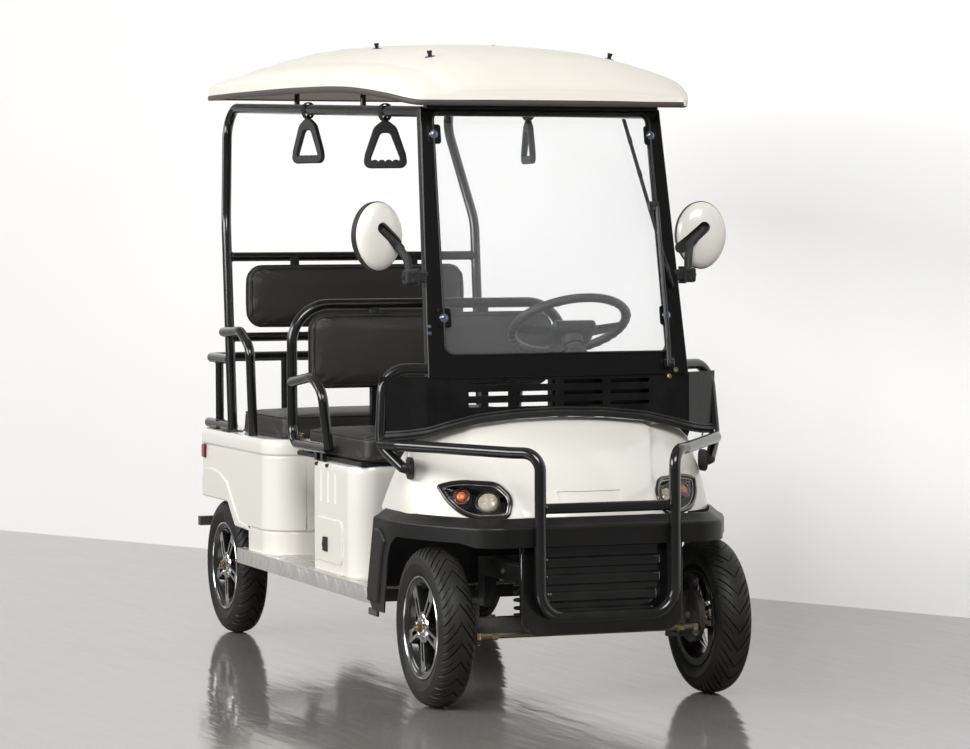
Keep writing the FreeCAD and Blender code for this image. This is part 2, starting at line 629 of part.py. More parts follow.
def rim(label, axle, side):
    """Alloy wheel: barrel, lips, spokes split by slots, hub and axle cap."""
    body = doc.addObject("PartDesign::Body", "Rim")
    inner = "bead_radius - rim_wall"
    bore = "spindle_radius + running_gap"
    revolve(body, [
        (bore, "-hub_back"), ("hub_radius", "-hub_back"), ("hub_radius", "web_back"), (inner, "web_back"),
        (inner, "-rim_half_width"), ("rim_lip_radius", "-rim_half_width"),
        ("rim_lip_radius", "rim_lip - rim_half_width"), ("bead_radius", "rim_lip - rim_half_width"),
        ("bead_radius", "rim_half_width - rim_lip"), ("rim_lip_radius", "rim_half_width - rim_lip"),
        ("rim_lip_radius", "rim_half_width"), (inner, "rim_half_width"), (inner, "web_front"),
        ("hub_radius", "web_front"), ("hub_radius", "hub_front"), ("cap_radius", "hub_front"),
        ("cap_radius", "cap_front"), ("0", "cap_front"), ("0", "spindle_end + ear_gap"),
        (bore, "spindle_end + ear_gap"),
    ])
    window = pocket(body, "XZ_Plane", [
        ("-window_inner_half", "window_inner"), ("window_inner_half", "window_inner"),
        ("window_outer_half", "window_outer"), ("-window_outer_half", "window_outer"),
    ], "0", "rim_half_width")
    around(body, window, "spoke_windows")
    slot = pocket(body, "XZ_Plane", [
        ("-slot_half", "-slot_outer"), ("slot_half", "-slot_outer"),
        ("slot_half", "-slot_inner"), ("-slot_half", "-slot_inner"),
    ], "0", "rim_half_width")
    around(body, slot, "spoke_windows")
    place_wheel(body, axle, side)
    return keep(body, label)


def tyre(label, axle, side):
    """Tyre, closed on the bead seats between the rim's lips."""
    body = doc.addObject("PartDesign::Body", "Tyre")
    half = [
        ("bead_radius + soft_gap", "rim_half_width - rim_lip - soft_gap"),
        ("rim_lip_radius + 3 * soft_gap", "rim_half_width - rim_lip - soft_gap"),
        ("0.5 * rim_lip_radius + 0.5 * tyre_radius", "tyre_half_width"),
        ("tyre_radius - 0.3 * tyre_half_width", "0.86 * tyre_half_width"),
        ("tyre_radius", "0.4 * tyre_half_width"),
    ]
    revolve(body, half + [(radius, f"-({along})") for radius, along in reversed(half)])
    place_wheel(body, axle, side)
    return keep(body, label)


def place_wheel(body, axle, side):
    """Put a wheel part on its axle, its outer face away from the cart."""
    body.Placement.Rotation = FreeCAD.Rotation(FreeCAD.Vector(0, 0, 1), 0 if side > 0 else 180)
    body.setExpression("Placement.Base.x", in_sheet(axle))
    body.setExpression("Placement.Base.y", in_sheet(f"{side} * half_track"))
    body.setExpression("Placement.Base.z", in_sheet("tyre_radius"))


for place, axle in (("front", FRONT_AXLE), ("rear", REAR_AXLE)):
    for hand, side in (("left", 1), ("right", -1)):
        rim(f"rim_{place}_{hand}", axle, side)
        tyre(f"tyre_{place}_{hand}", axle, side)


# ---- steering ----

ARM_TOP = "(tyre_radius - steer_arm_drop + 0.5 * steer_arm_thickness)"
ARM_BOTTOM = "(tyre_radius - steer_arm_drop - 0.5 * steer_arm_thickness)"
TIE_ROD_Z = "(tyre_radius - steer_arm_drop + 0.5 * steer_arm_thickness + ear_gap + tie_rod_radius)"
EAR_INNER = "(kingpin_half + ear_gap)"
EAR_OUTER = "(kingpin_half + ear_gap + ear_thickness)"


def across(side, near, far):
    """The lower and upper Y of a span given from the middle outwards, on one side of the cart."""
    return (near, far) if side > 0 else (f"-({far})", f"-({near})")


def knuckle(label, side, pin_gap):
    """Kingpin barrel and bolt, wheel spindle with its brake drum, and steering arm."""
    barrel = rod("z", (FRONT_AXLE, f"{side} * kingpin_y", "tyre_radius - kingpin_half"), "2 * kingpin_half",
                 "kingpin_radius")
    bolt = rod("z", (FRONT_AXLE, f"{side} * kingpin_y", f"tyre_radius - {EAR_OUTER} - ear_gap"),
               f"2 * ({EAR_OUTER} + ear_gap)", "pin_radius")
    spindle_y = across(side, "kingpin_y", "half_track + spindle_end")[0]
    spindle = rod("y", (FRONT_AXLE, spindle_y, "tyre_radius"), "half_track + spindle_end - kingpin_y",
                  "spindle_radius")
    drum_near = "(kingpin_y + 1.4142 * ear_half + drum_clear)"
    drum_far = "(half_track - hub_back - drum_gap)"
    drum = rod("y", (FRONT_AXLE, across(side, drum_near, drum_far)[0], "tyre_radius"),
               f"{drum_far} - {drum_near}", "drum_radius")
    arm_y = (f"{side} * kingpin_y - steer_arm_half", f"{side} * kingpin_y + steer_arm_half")
    arm = box((FRONT_AXLE, arm_y[0], ARM_BOTTOM), (f"{FRONT_AXLE} + steer_arm", arm_y[1], ARM_TOP))
    eye = rod("z", (f"{FRONT_AXLE} + steer_arm", f"{side} * kingpin_y", ARM_BOTTOM), "steer_arm_thickness",
              "steer_arm_half")
    hole = rod("z", (f"{FRONT_AXLE} + steer_arm", f"{side} * kingpin_y", f"{ARM_BOTTOM} - ear_gap"),
               "steer_arm_thickness + 2 * ear_gap", f"tie_pin_radius + {pin_gap}")
    return keep(cut(weld([barrel, bolt, spindle, drum, arm, eye]), [hole]), label)


knuckle("knuckle_left", 1, "running_gap")
knuckle("knuckle_right", -1, "open_pin_gap")

tie_x = f"{FRONT_AXLE} + steer_arm"
tie_pieces = [rod("y", (tie_x, "-kingpin_y", TIE_ROD_Z), "2 * kingpin_y", "tie_rod_radius")]
for side in (1, -1):
    tie_pieces.append(rod("z", (tie_x, f"{side} * kingpin_y", f"{TIE_ROD_Z} - tie_rod_radius"),
                          "2 * tie_rod_radius", "1.4 * tie_rod_radius"))
    tie_pieces.append(rod("z", (tie_x, f"{side} * kingpin_y", f"{ARM_BOTTOM} - 3 * ear_gap"),
                          f"{TIE_ROD_Z} - {ARM_BOTTOM}", "tie_pin_radius"))
keep(weld(tie_pieces), "tie_rod")

beam_end = "(kingpin_y - fork_inset)"
beam_pieces = [box((f"{FRONT_AXLE} - 0.5 * axle_beam", f"-{beam_end}", "tyre_radius - 0.5 * axle_beam"),
                   (f"{FRONT_AXLE} + 0.5 * axle_beam", beam_end, "tyre_radius + 0.5 * axle_beam"))]
bolt_holes = []
for side in (1, -1):
    upright_y = across(side, f"{beam_end} - fork_half", beam_end)
    beam_pieces.append(box((f"{FRONT_AXLE} - fork_half", upright_y[0], f"tyre_radius - {EAR_OUTER}"),
                           (f"{FRONT_AXLE} + fork_half", upright_y[1], f"tyre_radius + {EAR_OUTER}")))
    ear_y = across(side, f"{beam_end} - fork_half", "kingpin_y + ear_half")
    for low, high in ((f"tyre_radius - {EAR_OUTER}", f"tyre_radius - {EAR_INNER}"),
                      (f"tyre_radius + {EAR_INNER}", f"tyre_radius + {EAR_OUTER}")):
        beam_pieces.append(box((f"{FRONT_AXLE} - ear_half", ear_y[0], low),
                               (f"{FRONT_AXLE} + ear_half", ear_y[1], high)))
    bolt_holes.append(rod("z", (FRONT_AXLE, f"{side} * kingpin_y", f"tyre_radius - {EAR_OUTER} - ear_gap"),
                          f"2 * {EAR_OUTER} + 2 * ear_gap", "pin_radius + running_gap"))
keep(cut(weld(beam_pieces), bolt_holes), "front_axle")

tilt = math.radians(value("column_tilt"))
COLUMN_UP = FreeCAD.Vector(-math.sin(tilt), 0, math.cos(tilt))
hand_centre = point("hand_x", "hand_y", "hand_z")


def steering_wheel():
    """Rim, three spokes, horn pad and shaft, square to the column."""
    radius = value("wheel_hand - hand_rim_radius")
    section = value("hand_rim_radius")
    rim_ring = Part.makeTorus(radius, section)
    sink = value("2 * hand_rim_radius")
    shapes = [rim_ring]
    shapes.append(Part.makeCylinder(value("1.6 * column_radius"), sink, FreeCAD.Vector(0, 0, -1.4 * sink)))
    shapes.append(Part.makeCylinder(value("0.6 * column_radius"), 4 * sink, FreeCAD.Vector(0, 0, -5 * sink)))
    pad_half = 0.32 * radius
    shapes.append(Part.makeBox(1.3 * pad_half, 2 * pad_half, sink,
                               FreeCAD.Vector(-0.75 * pad_half, -pad_half, -sink)))
    for turn in (90, -90, 180):
        spoke = Part.makeBox(radius, section * 1.6, section * 0.8, FreeCAD.Vector(0, -0.8 * section, -section))
        spoke.rotate(FreeCAD.Vector(0, 0, 0), FreeCAD.Vector(0, 0, 1), turn)
        shapes.append(spoke)
    whole = joined(shapes)
    leaned = FreeCAD.Rotation(FreeCAD.Vector(0, 1, 0), -value("column_tilt"))
    whole.Placement = FreeCAD.Placement(hand_centre, leaned)
    return whole


solid("steering_wheel", steering_wheel())

# ---- chassis, axles and floor ----

frame_pieces = []
for side in (1, -1):
    rail_span = across(side, "rail_y - rail_half", "rail_y + rail_half")
    for start, end, low, high in (
        ("rise_rear - rise_width", "rise_front + rise_width", "low_rail_bottom", "floor_top - floor_sheet"),
        ("rail_rear", "rise_rear", "high_rail_bottom", "high_rail_top"),
        ("rise_front", "rail_front", "high_rail_bottom", "high_rail_top"),
        ("rise_rear - rise_width", "rise_rear", "low_rail_bottom", "high_rail_top"),
        ("rise_front", "rise_front + rise_width", "low_rail_bottom", "high_rail_top"),
    ):
        frame_pieces.append(box((start, rail_span[0], low), (end, rail_span[1], high)))
for start, low, high in (
    ("rail_rear", "high_rail_bottom", "high_rail_top"),
    ("rail_front - 2 * rail_half", "high_rail_bottom", "high_rail_top"),
    ("rise_rear - rise_width", "high_rail_bottom", "high_rail_top"),
    ("rise_front", "high_rail_bottom", "high_rail_top"),
    ("0", "low_rail_bottom", "floor_top - floor_sheet"),
):
    frame_pieces.append(box((start, "-rail_y", low), (f"{start} + 2 * rail_half", "rail_y", high)))
for start in ("rise_rear", "0", "rise_front - 2 * rail_half"):
    frame_pieces.append(box((start, "-(floor_half_width - 4 * floor_sheet)", "low_rail_bottom + rail_half"),
                            (f"{start} + 2 * rail_half", "floor_half_width - 4 * floor_sheet",
                             "floor_top - floor_sheet")))
keep(weld(frame_pieces), "chassis_frame")

floor = doc.addObject("PartDesign::Body", "Floor")
pad(floor, "YZ_Plane", mirror_pairs([
    ("-floor_half_width", "floor_top"), ("-floor_half_width", "floor_top - floor_flange"),
    ("-(floor_half_width - floor_sheet)", "floor_top - floor_flange"),
    ("-(floor_half_width - floor_sheet)", "floor_top - floor_sheet"),
]), "floor_rear", "floor_front - floor_rear")
keep(floor, "floor_plate")

drum_inner = "(half_track - hub_back - drum_gap - drum_width)"
axle_pieces = [
    rod("y", (REAR_AXLE, f"-{drum_inner}", "tyre_radius"), f"2 * {drum_inner}", "rear_axle_radius"),
    rod("y", (REAR_AXLE, "-(half_track + spindle_end)", "tyre_radius"), "2 * (half_track + spindle_end)",
        "spindle_radius"),
    rod("y", (REAR_AXLE, "-0.7 * differential_radius", "tyre_radius"), "1.4 * differential_radius",
        "differential_radius"),
    rod("x", (REAR_AXLE, "0", "tyre_radius"), "neck_length", "neck_radius"),
]
for side in (1, -1):
    drum_y = across(side, drum_inner, f"{drum_inner} + drum_width")
    axle_pieces.append(rod("y", (REAR_AXLE, drum_y[0], "tyre_radius"), "drum_width", "drum_radius"))
keep(weld(axle_pieces), "rear_axle")
keep(rod("x", (f"{REAR_AXLE} + neck_length", "0", "tyre_radius"), "motor_length", "motor_radius"),
     "drive_motor")

spring_pieces = []
for side in (1, -1):
    spring_pieces.append(rod("z", (FRONT_AXLE, f"{side} * rail_y", "tyre_radius + 0.5 * axle_beam"),
                             "high_rail_bottom - tyre_radius - 0.5 * axle_beam", "spring_radius"))
    spring_pieces.append(rod("z", (REAR_AXLE, f"{side} * rail_y", "tyre_radius + rear_axle_radius + soft_gap"),
                             "high_rail_bottom - tyre_radius - rear_axle_radius - soft_gap", "spring_radius"))
keep(group(spring_pieces), "suspension_springs")

toe = doc.addObject("PartDesign::Body", "ToeBoard")
pad(toe, "XZ_Plane", [
    ("toe_foot_x", "floor_top"), ("toe_foot_x + toe_wall", "floor_top"),
    ("toe_knee_x + toe_wall", "toe_knee_z"),
    ("toe_head_x + toe_wall", "toe_head_z"), ("toe_head_x", "toe_head_z"), ("toe_knee_x", "toe_knee_z"),
], "-toe_half", "2 * toe_half")
keep(toe, "toe_board")

column_low = hand_centre - COLUMN_UP * value("column_length")
column = Part.makeCylinder(value("column_radius"), value("column_length - 3.4 * column_radius"), column_low,
                           COLUMN_UP)
bore = Part.makeCylinder(value("0.6 * column_radius + running_gap"), value("column_length"),
                         hand_centre - COLUMN_UP * value("12 * hand_rim_radius"), COLUMN_UP)
solid("steering_column", column.cut(bore).cut(toe.Shape).Solids[0])

# ---- moulded body ----

rear_body = doc.addObject("PartDesign::Body", "RearBody")
pad(rear_body, "XY_Plane", [
    ("body_rear", "-body_half_width"), ("body_front", "-body_half_width"),
    ("body_front", "body_half_width"), ("body_rear", "body_half_width"),
], "floor_top + soft_gap", "body_top - floor_top - soft_gap")
fillet(rear_body, "body_corner_front",
       lambda edge: runs_along(edge, "z") and edge.BoundBox.XMin > value("body_rear + body_wall"))
fillet(rear_body, "body_corner_rear",
       lambda edge: runs_along(edge, "z") and edge.BoundBox.XMin < value("body_rear + body_wall"))
hollow = doc.addObject("PartDesign::Body", "RearBodyInside")
pad(hollow, "XY_Plane", [
    ("body_rear + body_wall", "-(body_half_width - body_wall)"),
    ("body_front - body_wall", "-(body_half_width - body_wall)"),
    ("body_front - body_wall", "body_half_width - body_wall"),
    ("body_rear + body_wall", "body_half_width - body_wall"),
], "floor_top - body_wall", "body_top - floor_top")
fillet(hollow, "body_corner_front - body_wall",
       lambda edge: runs_along(edge, "z") and edge.BoundBox.XMin > value("body_rear + 2 * body_wall"))
fillet(hollow, "body_corner_rear - body_wall",
       lambda edge: runs_along(edge, "z") and edge.BoundBox.XMin < value("body_rear + 2 * body_wall"))
arch = doc.addObject("PartDesign::Body", "RearArch")
pad(arch, "XZ_Plane", [
    ("body_rear - body_wall", "floor_top - body_wall"), ("body_rear - body_wall", "arch_top"),
    (f"{REAR_AXLE} + arch_reach", "arch_top"), (f"{REAR_AXLE} + arch_foot", "arch_step"),
    (f"{REAR_AXLE} + arch_end", "arch_step"), (f"{REAR_AXLE} + arch_end", "floor_top - body_wall"),
], "-2 * body_half_width", "4 * body_half_width")
keep(cut(rear_body, [hollow, arch]), "rear_body")

seat_box = doc.addObject("PartDesign::Body", "SeatBox")
pad(seat_box, "XY_Plane", [
    ("box_rear", "-box_half_width"), ("box_front", "-box_half_width"),
    ("box_front", "box_half_width"), ("box_rear", "box_half_width"),
], "floor_top + soft_gap", "box_top - floor_top - soft_gap")
fillet(seat_box, "box_corner",
       lambda edge: runs_along(edge, "z") and edge.BoundBox.XMin > value("box_rear + body_wall"))
box_inside = doc.addObject("PartDesign::Body", "SeatBoxInside")
pad(box_inside, "XY_Plane", [
    ("box_rear + body_wall", "-(box_half_width - body_wall)"),
    ("box_front - body_wall", "-(box_half_width - body_wall)"),
    ("box_front - body_wall", "box_half_width - body_wall"),
    ("box_rear + body_wall", "box_half_width - body_wall"),
], "floor_top - body_wall", "box_top - floor_top")
fillet(box_inside, "box_corner - body_wall",
       lambda edge: runs_along(edge, "z") and edge.BoundBox.XMin > value("box_rear + 2 * body_wall"))
keep(cut(seat_box, [box_inside]), "front_seat_box")
keep(box(("box_rear + 0.5 * box_corner", "-(box_half_width - 1.5 * box_corner)", "floor_top"),
         ("box_front - box_corner", "box_half_width - 1.5 * box_corner", "floor_top + battery_height")),
     "battery_block")

# Cowl: level sections from its base up, each the right-hand half of a plan outline.
# Columns: height, back, half width, start of the front corner, its end and half width there, nose and half
# width, tip
COWL = [
    (528, 0.0, 452, 955, 1045, 360, 1150, 190, 1175),
    (585, 49.5, 446, 925, 1018, 352, 1112, 190, 1140),
    (640, 94.5, 438, 890, 975, 336, 1062, 190, 1088),
    (695, 135.0, 425, 860, 925, 318, 992, 185, 1012),
    (742, 171.0, 385, 865, 885, 290, 915, 180, 928),
    (777, 154.8, 240, 866, 870, 200, 876, 120, 880),
]


def both_sides(right):
    """Right-hand places of a plan, then their left-hand mirror; the last place lies on the middle."""
    return right + [(along, -over) for along, over in reversed(right[:-1])]


def cowl_plan(row, inset):
    """Right-hand half of one level of the cowl, inset from its outer face."""
    height, back, half, corner, side, side_half, nose, nose_half, tip = row
    rear = value("toe_knee_x + toe_wall + cowl_gap") + back
    return [(rear + inset, inset - half), (corner - inset, inset - half), (side - inset, inset - side_half),
            (nose - inset, inset - nose_half), (tip - inset, 0)]


def cowl_solid(inset):
    """Cowl's outer form, or its inside when inset by the wall."""
    wires = []
    for row in COWL:
        level = row[0] - inset
        corners = [FreeCAD.Vector(*spot, level) for spot in both_sides(cowl_plan(row, inset))]
        wires.append(Part.makePolygon(corners + corners[:1]))
    return Part.makeLoft(wires, True, True)


# Headlamp face's outline on the right. Columns: share of its half length, share of its half height
LAMP_FACE = [(-1.0, 0.1), (-0.5, 0.95), (0.55, 0.8), (1.0, -0.25), (0.75, -0.95), (-0.35, -0.85)]


def lamp_block(grow):
    """Headlamp housing on the right: an almond that follows the cowl's raked corner."""
    length = value("lamp_width") / 2 + grow
    height = value("lamp_height") / 2 + grow
    back = value("lamp_back") + grow
    corners = [FreeCAD.Vector(-back, over * length, up * height) for over, up in LAMP_FACE]
    block = prism(corners, FreeCAD.Vector(back + value("lamp_front"), 0, 0))
    block.rotate(FreeCAD.Vector(0, 0, 0), FreeCAD.Vector(0, 1, 0), -value("lamp_rake"))
    block.rotate(FreeCAD.Vector(0, 0, 0), FreeCAD.Vector(0, 0, 1), -value("lamp_sweep"))
    block.translate(point("lamp_x", "-lamp_y", "lamp_z"))
    return block


cowl_outer = cowl_solid(0)
cowl = cowl_outer.cut(cowl_solid(value("body_wall"))).cut(pair(lamp_block(value("soft_gap"))))
solid("front_cowl", largest(cowl))
lamp_form = cowl_outer.translated(point("lamp_proud", "0", "lamp_rise"))
solid("headlamps", pair(largest(lamp_block(0).common(lamp_form).cut(under("cowl_base")))))


def bumper_plan(inset):
    """Bumper's plan outline, right half then left half, inset from its outer face."""
    half = value("bumper_half_width") - inset
    tip = value("bumper_front") - inset
    return both_sides([
        (value("flare_rear") - inset, -half), (value("bumper_bend_x"), -half),
        (value("bumper_corner_x"), inset - value("bumper_corner_y")),
        (tip - value("bumper_nose_run"), inset - value("bumper_nose_y")), (tip, 0),
    ])


def slab(plan, low, high):
    """Upright prism from a plan outline."""
    return prism([FreeCAD.Vector(along, over, low) for along, over in plan], FreeCAD.Vector(0, 0, high - low))


def side_slab(profile):
    """Prism from an outline in side view, given as size expressions, right across the cart."""
    reach = 2 * value("half_track")
    corners = [FreeCAD.Vector(value(along), -reach, value(up)) for along, up in profile]
    return prism(corners, FreeCAD.Vector(0, 2 * reach, 0))


def bumper_block(inset):
    """Bumper's outer form, or its inside when inset by the wall: upright faces, then a leaning ledge."""
    low = value("flare_foot") - inset
    lip = value("bumper_lip") - inset
    ledge = []
    for run, level in ((0, lip), (value("bumper_ledge"), value("cowl_base") - inset)):
        corners = [FreeCAD.Vector(along, over, level) for along, over in bumper_plan(inset + run)]
        ledge.append(Part.makePolygon(corners + corners[:1]))
    return slab(bumper_plan(inset), low, lip).fuse(Part.makeLoft(ledge, True, True))


def front_bumper():
    """Wrap-round bumper with a ledge up to the cowl and a flare behind each front wheel."""
    shell = bumper_block(0).cut(bumper_block(value("body_wall")))
    low = "(flare_foot - body_wall)"
    top = "(cowl_base + body_wall)"
    arch = side_slab([
        ("flare_arch_rear", low), ("flare_knee_x", "flare_knee_z"),
        (f"{FRONT_AXLE} - flare_top_rear", "flare_arch_top"), (f"{FRONT_AXLE} + flare_top_front", "flare_arch_top"),
        (f"{FRONT_AXLE} + flare_end", "bumper_bottom"),
        ("half_length", "bumper_bottom"), ("half_length", low),
    ])
    behind = "(flare_rear - bumper_ledge)"
    back = side_slab([
        (behind, low), ("flare_foot_rear", low), ("flare_heel_x", "flare_heel_z"),
        ("flare_back_x", "flare_back_z"), ("flare_top_x", top), (behind, top),
    ])
    seat = cowl_plan(COWL[0], value("cowl_lap"))
    seat[0] = (value(behind), seat[0][1])
    return largest(shell.cut(arch).cut(back).cut(slab(both_sides(seat), 0, value(top))))


solid("front_bumper", front_bumper())

louvre = [box(("rail_front", "-louvre_half", "louvre_bottom"),
              ("rail_front + louvre_thickness", "louvre_half", "bumper_bottom - ear_gap"))]
for step in range(4):
    rib_low = f"(louvre_bottom + louvre_rib_first + {step} * louvre_rib_pitch)"
    louvre.append(box(("rail_front", "-louvre_rib_half", rib_low),
                      ("rail_front + louvre_thickness + louvre_rib_proud", "louvre_rib_half",
                       f"{rib_low} + louvre_rib")))
keep(weld(louvre), "louvre_panel")


# ---- seats ----

def cushion(label, low, high, edge):
    """Upholstered block with every edge rounded."""
    body = doc.addObject("PartDesign::Body", "Cushion")
    pad(body, "XY_Plane", [(low[0], low[1]), (high[0], low[1]), (high[0], high[1]), (low[0], high[1])],
        low[2], f"({high[2]}) - ({low[2]})")
    fillet(body, edge, lambda item: True)
    return keep(body, label)


cushion("front_cushion", ("front_cushion_rear", f"-{FRONT_CUSHION_HALF}", "box_top + seat_board + soft_gap"),
        ("front_cushion_front", f"{FRONT_CUSHION_HALF}", "front_cushion_top"), "cushion_edge")
keep(box(("seat_frame_x - tube_radius", f"-{FRONT_CUSHION_HALF}", "box_top"),
         ("front_cushion_front - cushion_edge", f"{FRONT_CUSHION_HALF}", "box_top + seat_board")),
     "front_seat_board")
cushion("rear_cushion", ("rear_cushion_rear", f"-{REAR_CUSHION_HALF}", "body_top + soft_gap"),
        ("rear_cushion_front", f"{REAR_CUSHION_HALF}", "rear_cushion_top"), "cushion_edge")


def back_pad(label, front, half, low, high):
    """Back pad with rounded corners, its front face at the given place."""
    body = doc.addObject("PartDesign::Body", "BackPad")
    pad(body, "YZ_Plane", [(f"-{half}", low), (half, low), (half, high), (f"-{half}", high)],
        f"{front} - pad_thickness", "pad_thickness")
    fillet(body, "pad_corner", lambda edge: runs_along(edge, "x"))
    return keep(body, label)


back_pad("front_back_pad", "(seat_frame_x + upright_half + pad_thickness)", f"{FRONT_PAD_HALF}",
         "front_pad_bottom", "front_pad_top")
back_pad("rear_back_pad", "rear_pad_front", f"{REAR_PAD_HALF}", "rear_pad_bottom", "rear_pad_top")

# ---- windscreen ----

screen = doc.addObject("PartDesign::Body", "WindscreenFrame")
pad(screen, "YZ_Plane", [
    ("-screen_foot_half", "0"), ("screen_foot_half", "0"), ("screen_head_half", "screen_height"),
    ("-screen_head_half", "screen_height"),
], "-screen_depth", "screen_depth")
pocket(screen, "YZ_Plane", [
    ("-(screen_foot_half - pillar_foot)", "screen_sill"), ("screen_foot_half - pillar_foot", "screen_sill"),
    ("screen_head_half - pillar_head", "screen_height - screen_head"),
    ("-(screen_head_half - pillar_head)", "screen_height - screen_head"),
], "-2 * screen_depth", "4 * screen_depth")
lean = FreeCAD.Placement(point("screen_foot_x", "0", "screen_foot_z"),
                         FreeCAD.Rotation(FreeCAD.Vector(0, 1, 0), -value("screen_lean")))
screen.Placement = lean
doc.recompute()


def screen_block(back, low, high, front):
    """Block on the windscreen's slope: corners (across, up the slope), depth back from the frame's face."""
    block = Part.makeBox(front - back, high[0] - low[0], high[1] - low[1], FreeCAD.Vector(back, low[0], low[1]))
    block.Placement = lean.multiply(block.Placement)
    return block


glass_front = -value("screen_depth") / 3
glass_back = glass_front - value("glass_thickness")
gap = value("soft_gap")
sill = value("screen_sill") + gap
head = value("screen_height - screen_head") - gap
foot_half = value("screen_foot_half - pillar_foot") - gap
head_half = value("screen_head_half - pillar_head") - gap
pane = [FreeCAD.Vector(glass_back, *spot)
        for spot in ((-foot_half, sill), (foot_half, sill), (head_half, head), (-head_half, head))]
glass = prism(pane, point("glass_thickness", "0", "0"))
glass.Placement = lean
solid("windscreen_glass", glass)

# Share of the frame's length where each pair of glass clips sits
CLIP_LEVELS = (0.22, 0.9)
clips = []
for half, up in zip((foot_half, head_half), CLIP_LEVELS):
    level = up * value("screen_height")
    low, high = level - value("clip_half"), level + value("clip_half")
    for side in (1, -1):
        inner, outer = sorted((side * (half - value("clip_lap")), side * (half + value("clip_reach"))))
        clips.append(screen_block(glass_front + gap, (inner, low), (outer, high), value("clip_proud")))
frame_shape = joined([screen.Shape] + clips)
solid("windscreen_frame", frame_shape)

# Wiper on the windscreen's slope. Columns: back, inner side, lower end, outer side, upper end, front
WIPER = {
    "cover": (0, 314, 16, 342, 44, 30),
    "arm": (14, 319, 30, 333, 480, 22),
    "link": (10, 296, 455, 334, 500, 21),
    "blade": (2, 300, 240, 309, 745, 20),
}
wiper = {name: screen_block(row[0], row[1:3], row[3:5], row[5]) for name, row in WIPER.items()}
link_place = lean.multVec(point("0", "wiper_link_y", "wiper_link_z"))
wiper["blade"].rotate(link_place, lean.Rotation.multVec(FreeCAD.Vector(1, 0, 0)), value("wiper_turn"))
solid("wiper", joined(list(wiper.values())).cut(frame_shape))

# ---- tubes ----

posts = []
for side in ("-1", "1"):
    posts.append(tube([
        ("post_foot_x", f"{side} * {POST_FOOT_Y}", "body_top"),
        ("post_knee_x", f"{side} * {POST_FOOT_Y}", "post_knee_z"),
        ("post_head_x", f"{side} * rail_high_y", "rail_high_rear"),
        ("rail_high_front_x", f"{side} * rail_high_front_y", "rail_high_front"),
    ], "tube_radius", "3 * tube_bend", "tube_bend"))


def on_post(level):
    """X of a rear post's centre at a height between its foot and its knee."""
    return f"(post_foot_x + (post_knee_x - post_foot_x) * ({level} - body_top) / (post_knee_z - body_top))"


bars = []
for level in ("upper_bar_z", "lower_bar_z"):
    ends = [(on_post(level), f"{side} * {POST_FOOT_Y}", level) for side in ("-1", "1")]
    bars.append(tube(ends, "0.94 * tube_radius"))


def rail_at(along):
    """Half spacing and height of the roof rails at a place along the cart."""
    share = f"((({along}) - post_head_x) / (rail_high_front_x - post_head_x))"
    return (f"(rail_high_y + (rail_high_front_y - rail_high_y) * {share})",
            f"(rail_high_rear + (rail_high_front - rail_high_rear) * {share})")


for along in ("roof_bar_a", "roof_bar_b", "roof_bar_c"):
    half, level = rail_at(along)
    bars.append(tube([(along, f"-{half}", level), (along, half, level)], "0.8 * tube_radius"))
pad_back = "rear_pad_front - pad_thickness"
for side in (1, -1):
    for low, high in (("rear_pad_top - tab_lap", "upper_bar_z"), ("lower_bar_z", "rear_pad_bottom + tab_lap")):
        tab_y = across(side, f"0.5 * {REAR_PAD_HALF}", f"0.5 * {REAR_PAD_HALF} + tab_width")
        tab = box((f"{pad_back} - tab_thickness", tab_y[0], low), (pad_back, tab_y[1], high))
        doc.recompute()
        bars.append(tab.Shape)

# Roof shell: cross-sections from back to front.
# Columns: place along the roof (0 back, 1 front), half width as a share, rim's underside, crown's top
ROOF = [
    (0.00, 0.80, 1758, 1800),
    (0.05, 0.94, 1752, 1842),
    (0.30, 1.00, 1742, 1886),
    (0.58, 1.00, 1730, 1870),
    (0.78, 0.99, 1714, 1842),
    (0.93, 0.96, 1684, 1786),
    (1.00, 0.88, 1660, 1728),
]
# Its section from rim to middle. Columns: share of the half width, share of the height from the rim's top to
# the crown
ROOF_SECTION = [(-1.0, 0.0), (-0.86, 0.45), (-0.5, 0.88), (0.0, 1.0)]
ROOF_LEAST_CROWN = 8


def roof_solid(inset):
    """Roof's outer form, or its inside when inset by the wall."""
    wires = []
    for share, width, rim_z, crown in ROOF:
        along = value("roof_rear") + share * value("roof_front - roof_rear")
        along += inset if share == 0 else (-inset if share == 1 else 0)
        half = width * value("roof_half") - inset
        rim_top = min(rim_z + value("roof_rim"), crown - ROOF_LEAST_CROWN) - inset
        rise = crown - inset - rim_top
        right = [(-half, rim_z - inset)] + [(over * half, rim_top + up * rise) for over, up in ROOF_SECTION]
        loop = right + [(-over, up) for over, up in right[-2::-1]]
        corners = [FreeCAD.Vector(along, over, up) for over, up in loop]
        wires.append(Part.makePolygon(corners + corners[:1]))
    return Part.makeLoft(wires, True, True)


roof = largest(roof_solid(0).cut(roof_solid(value("roof_wall"))))
solid("roof", roof)
for along, over in (("roof_bar_a", "stud_rear_y"), ("roof_bar_b", "stud_middle_y"), ("roof_bar_c", "stud_front_y")):
    for side in ("1", "-1"):
        foot = point(along, f"{side} * {over}", rail_at(along)[1])
        stud = Part.makeCylinder(value("stud_radius"), value("roof_half"), foot).cut(roof)
        bars.append(min(stud.Solids, key=lambda piece: piece.BoundBox.ZMin))
roof_frame = joined(posts + bars).cut(frame_shape).cut(under("body_top"))
solid("roof_frame", roof_frame)


# Seat frames, armrests and rack

def loop_tube(right, radius, *bends):
    """Tube through the right-hand places and their mirror images."""
    left = [(along, f"-({over})", up) for along, over, up in reversed(right)]
    return tube(right + left, radius, *bends)


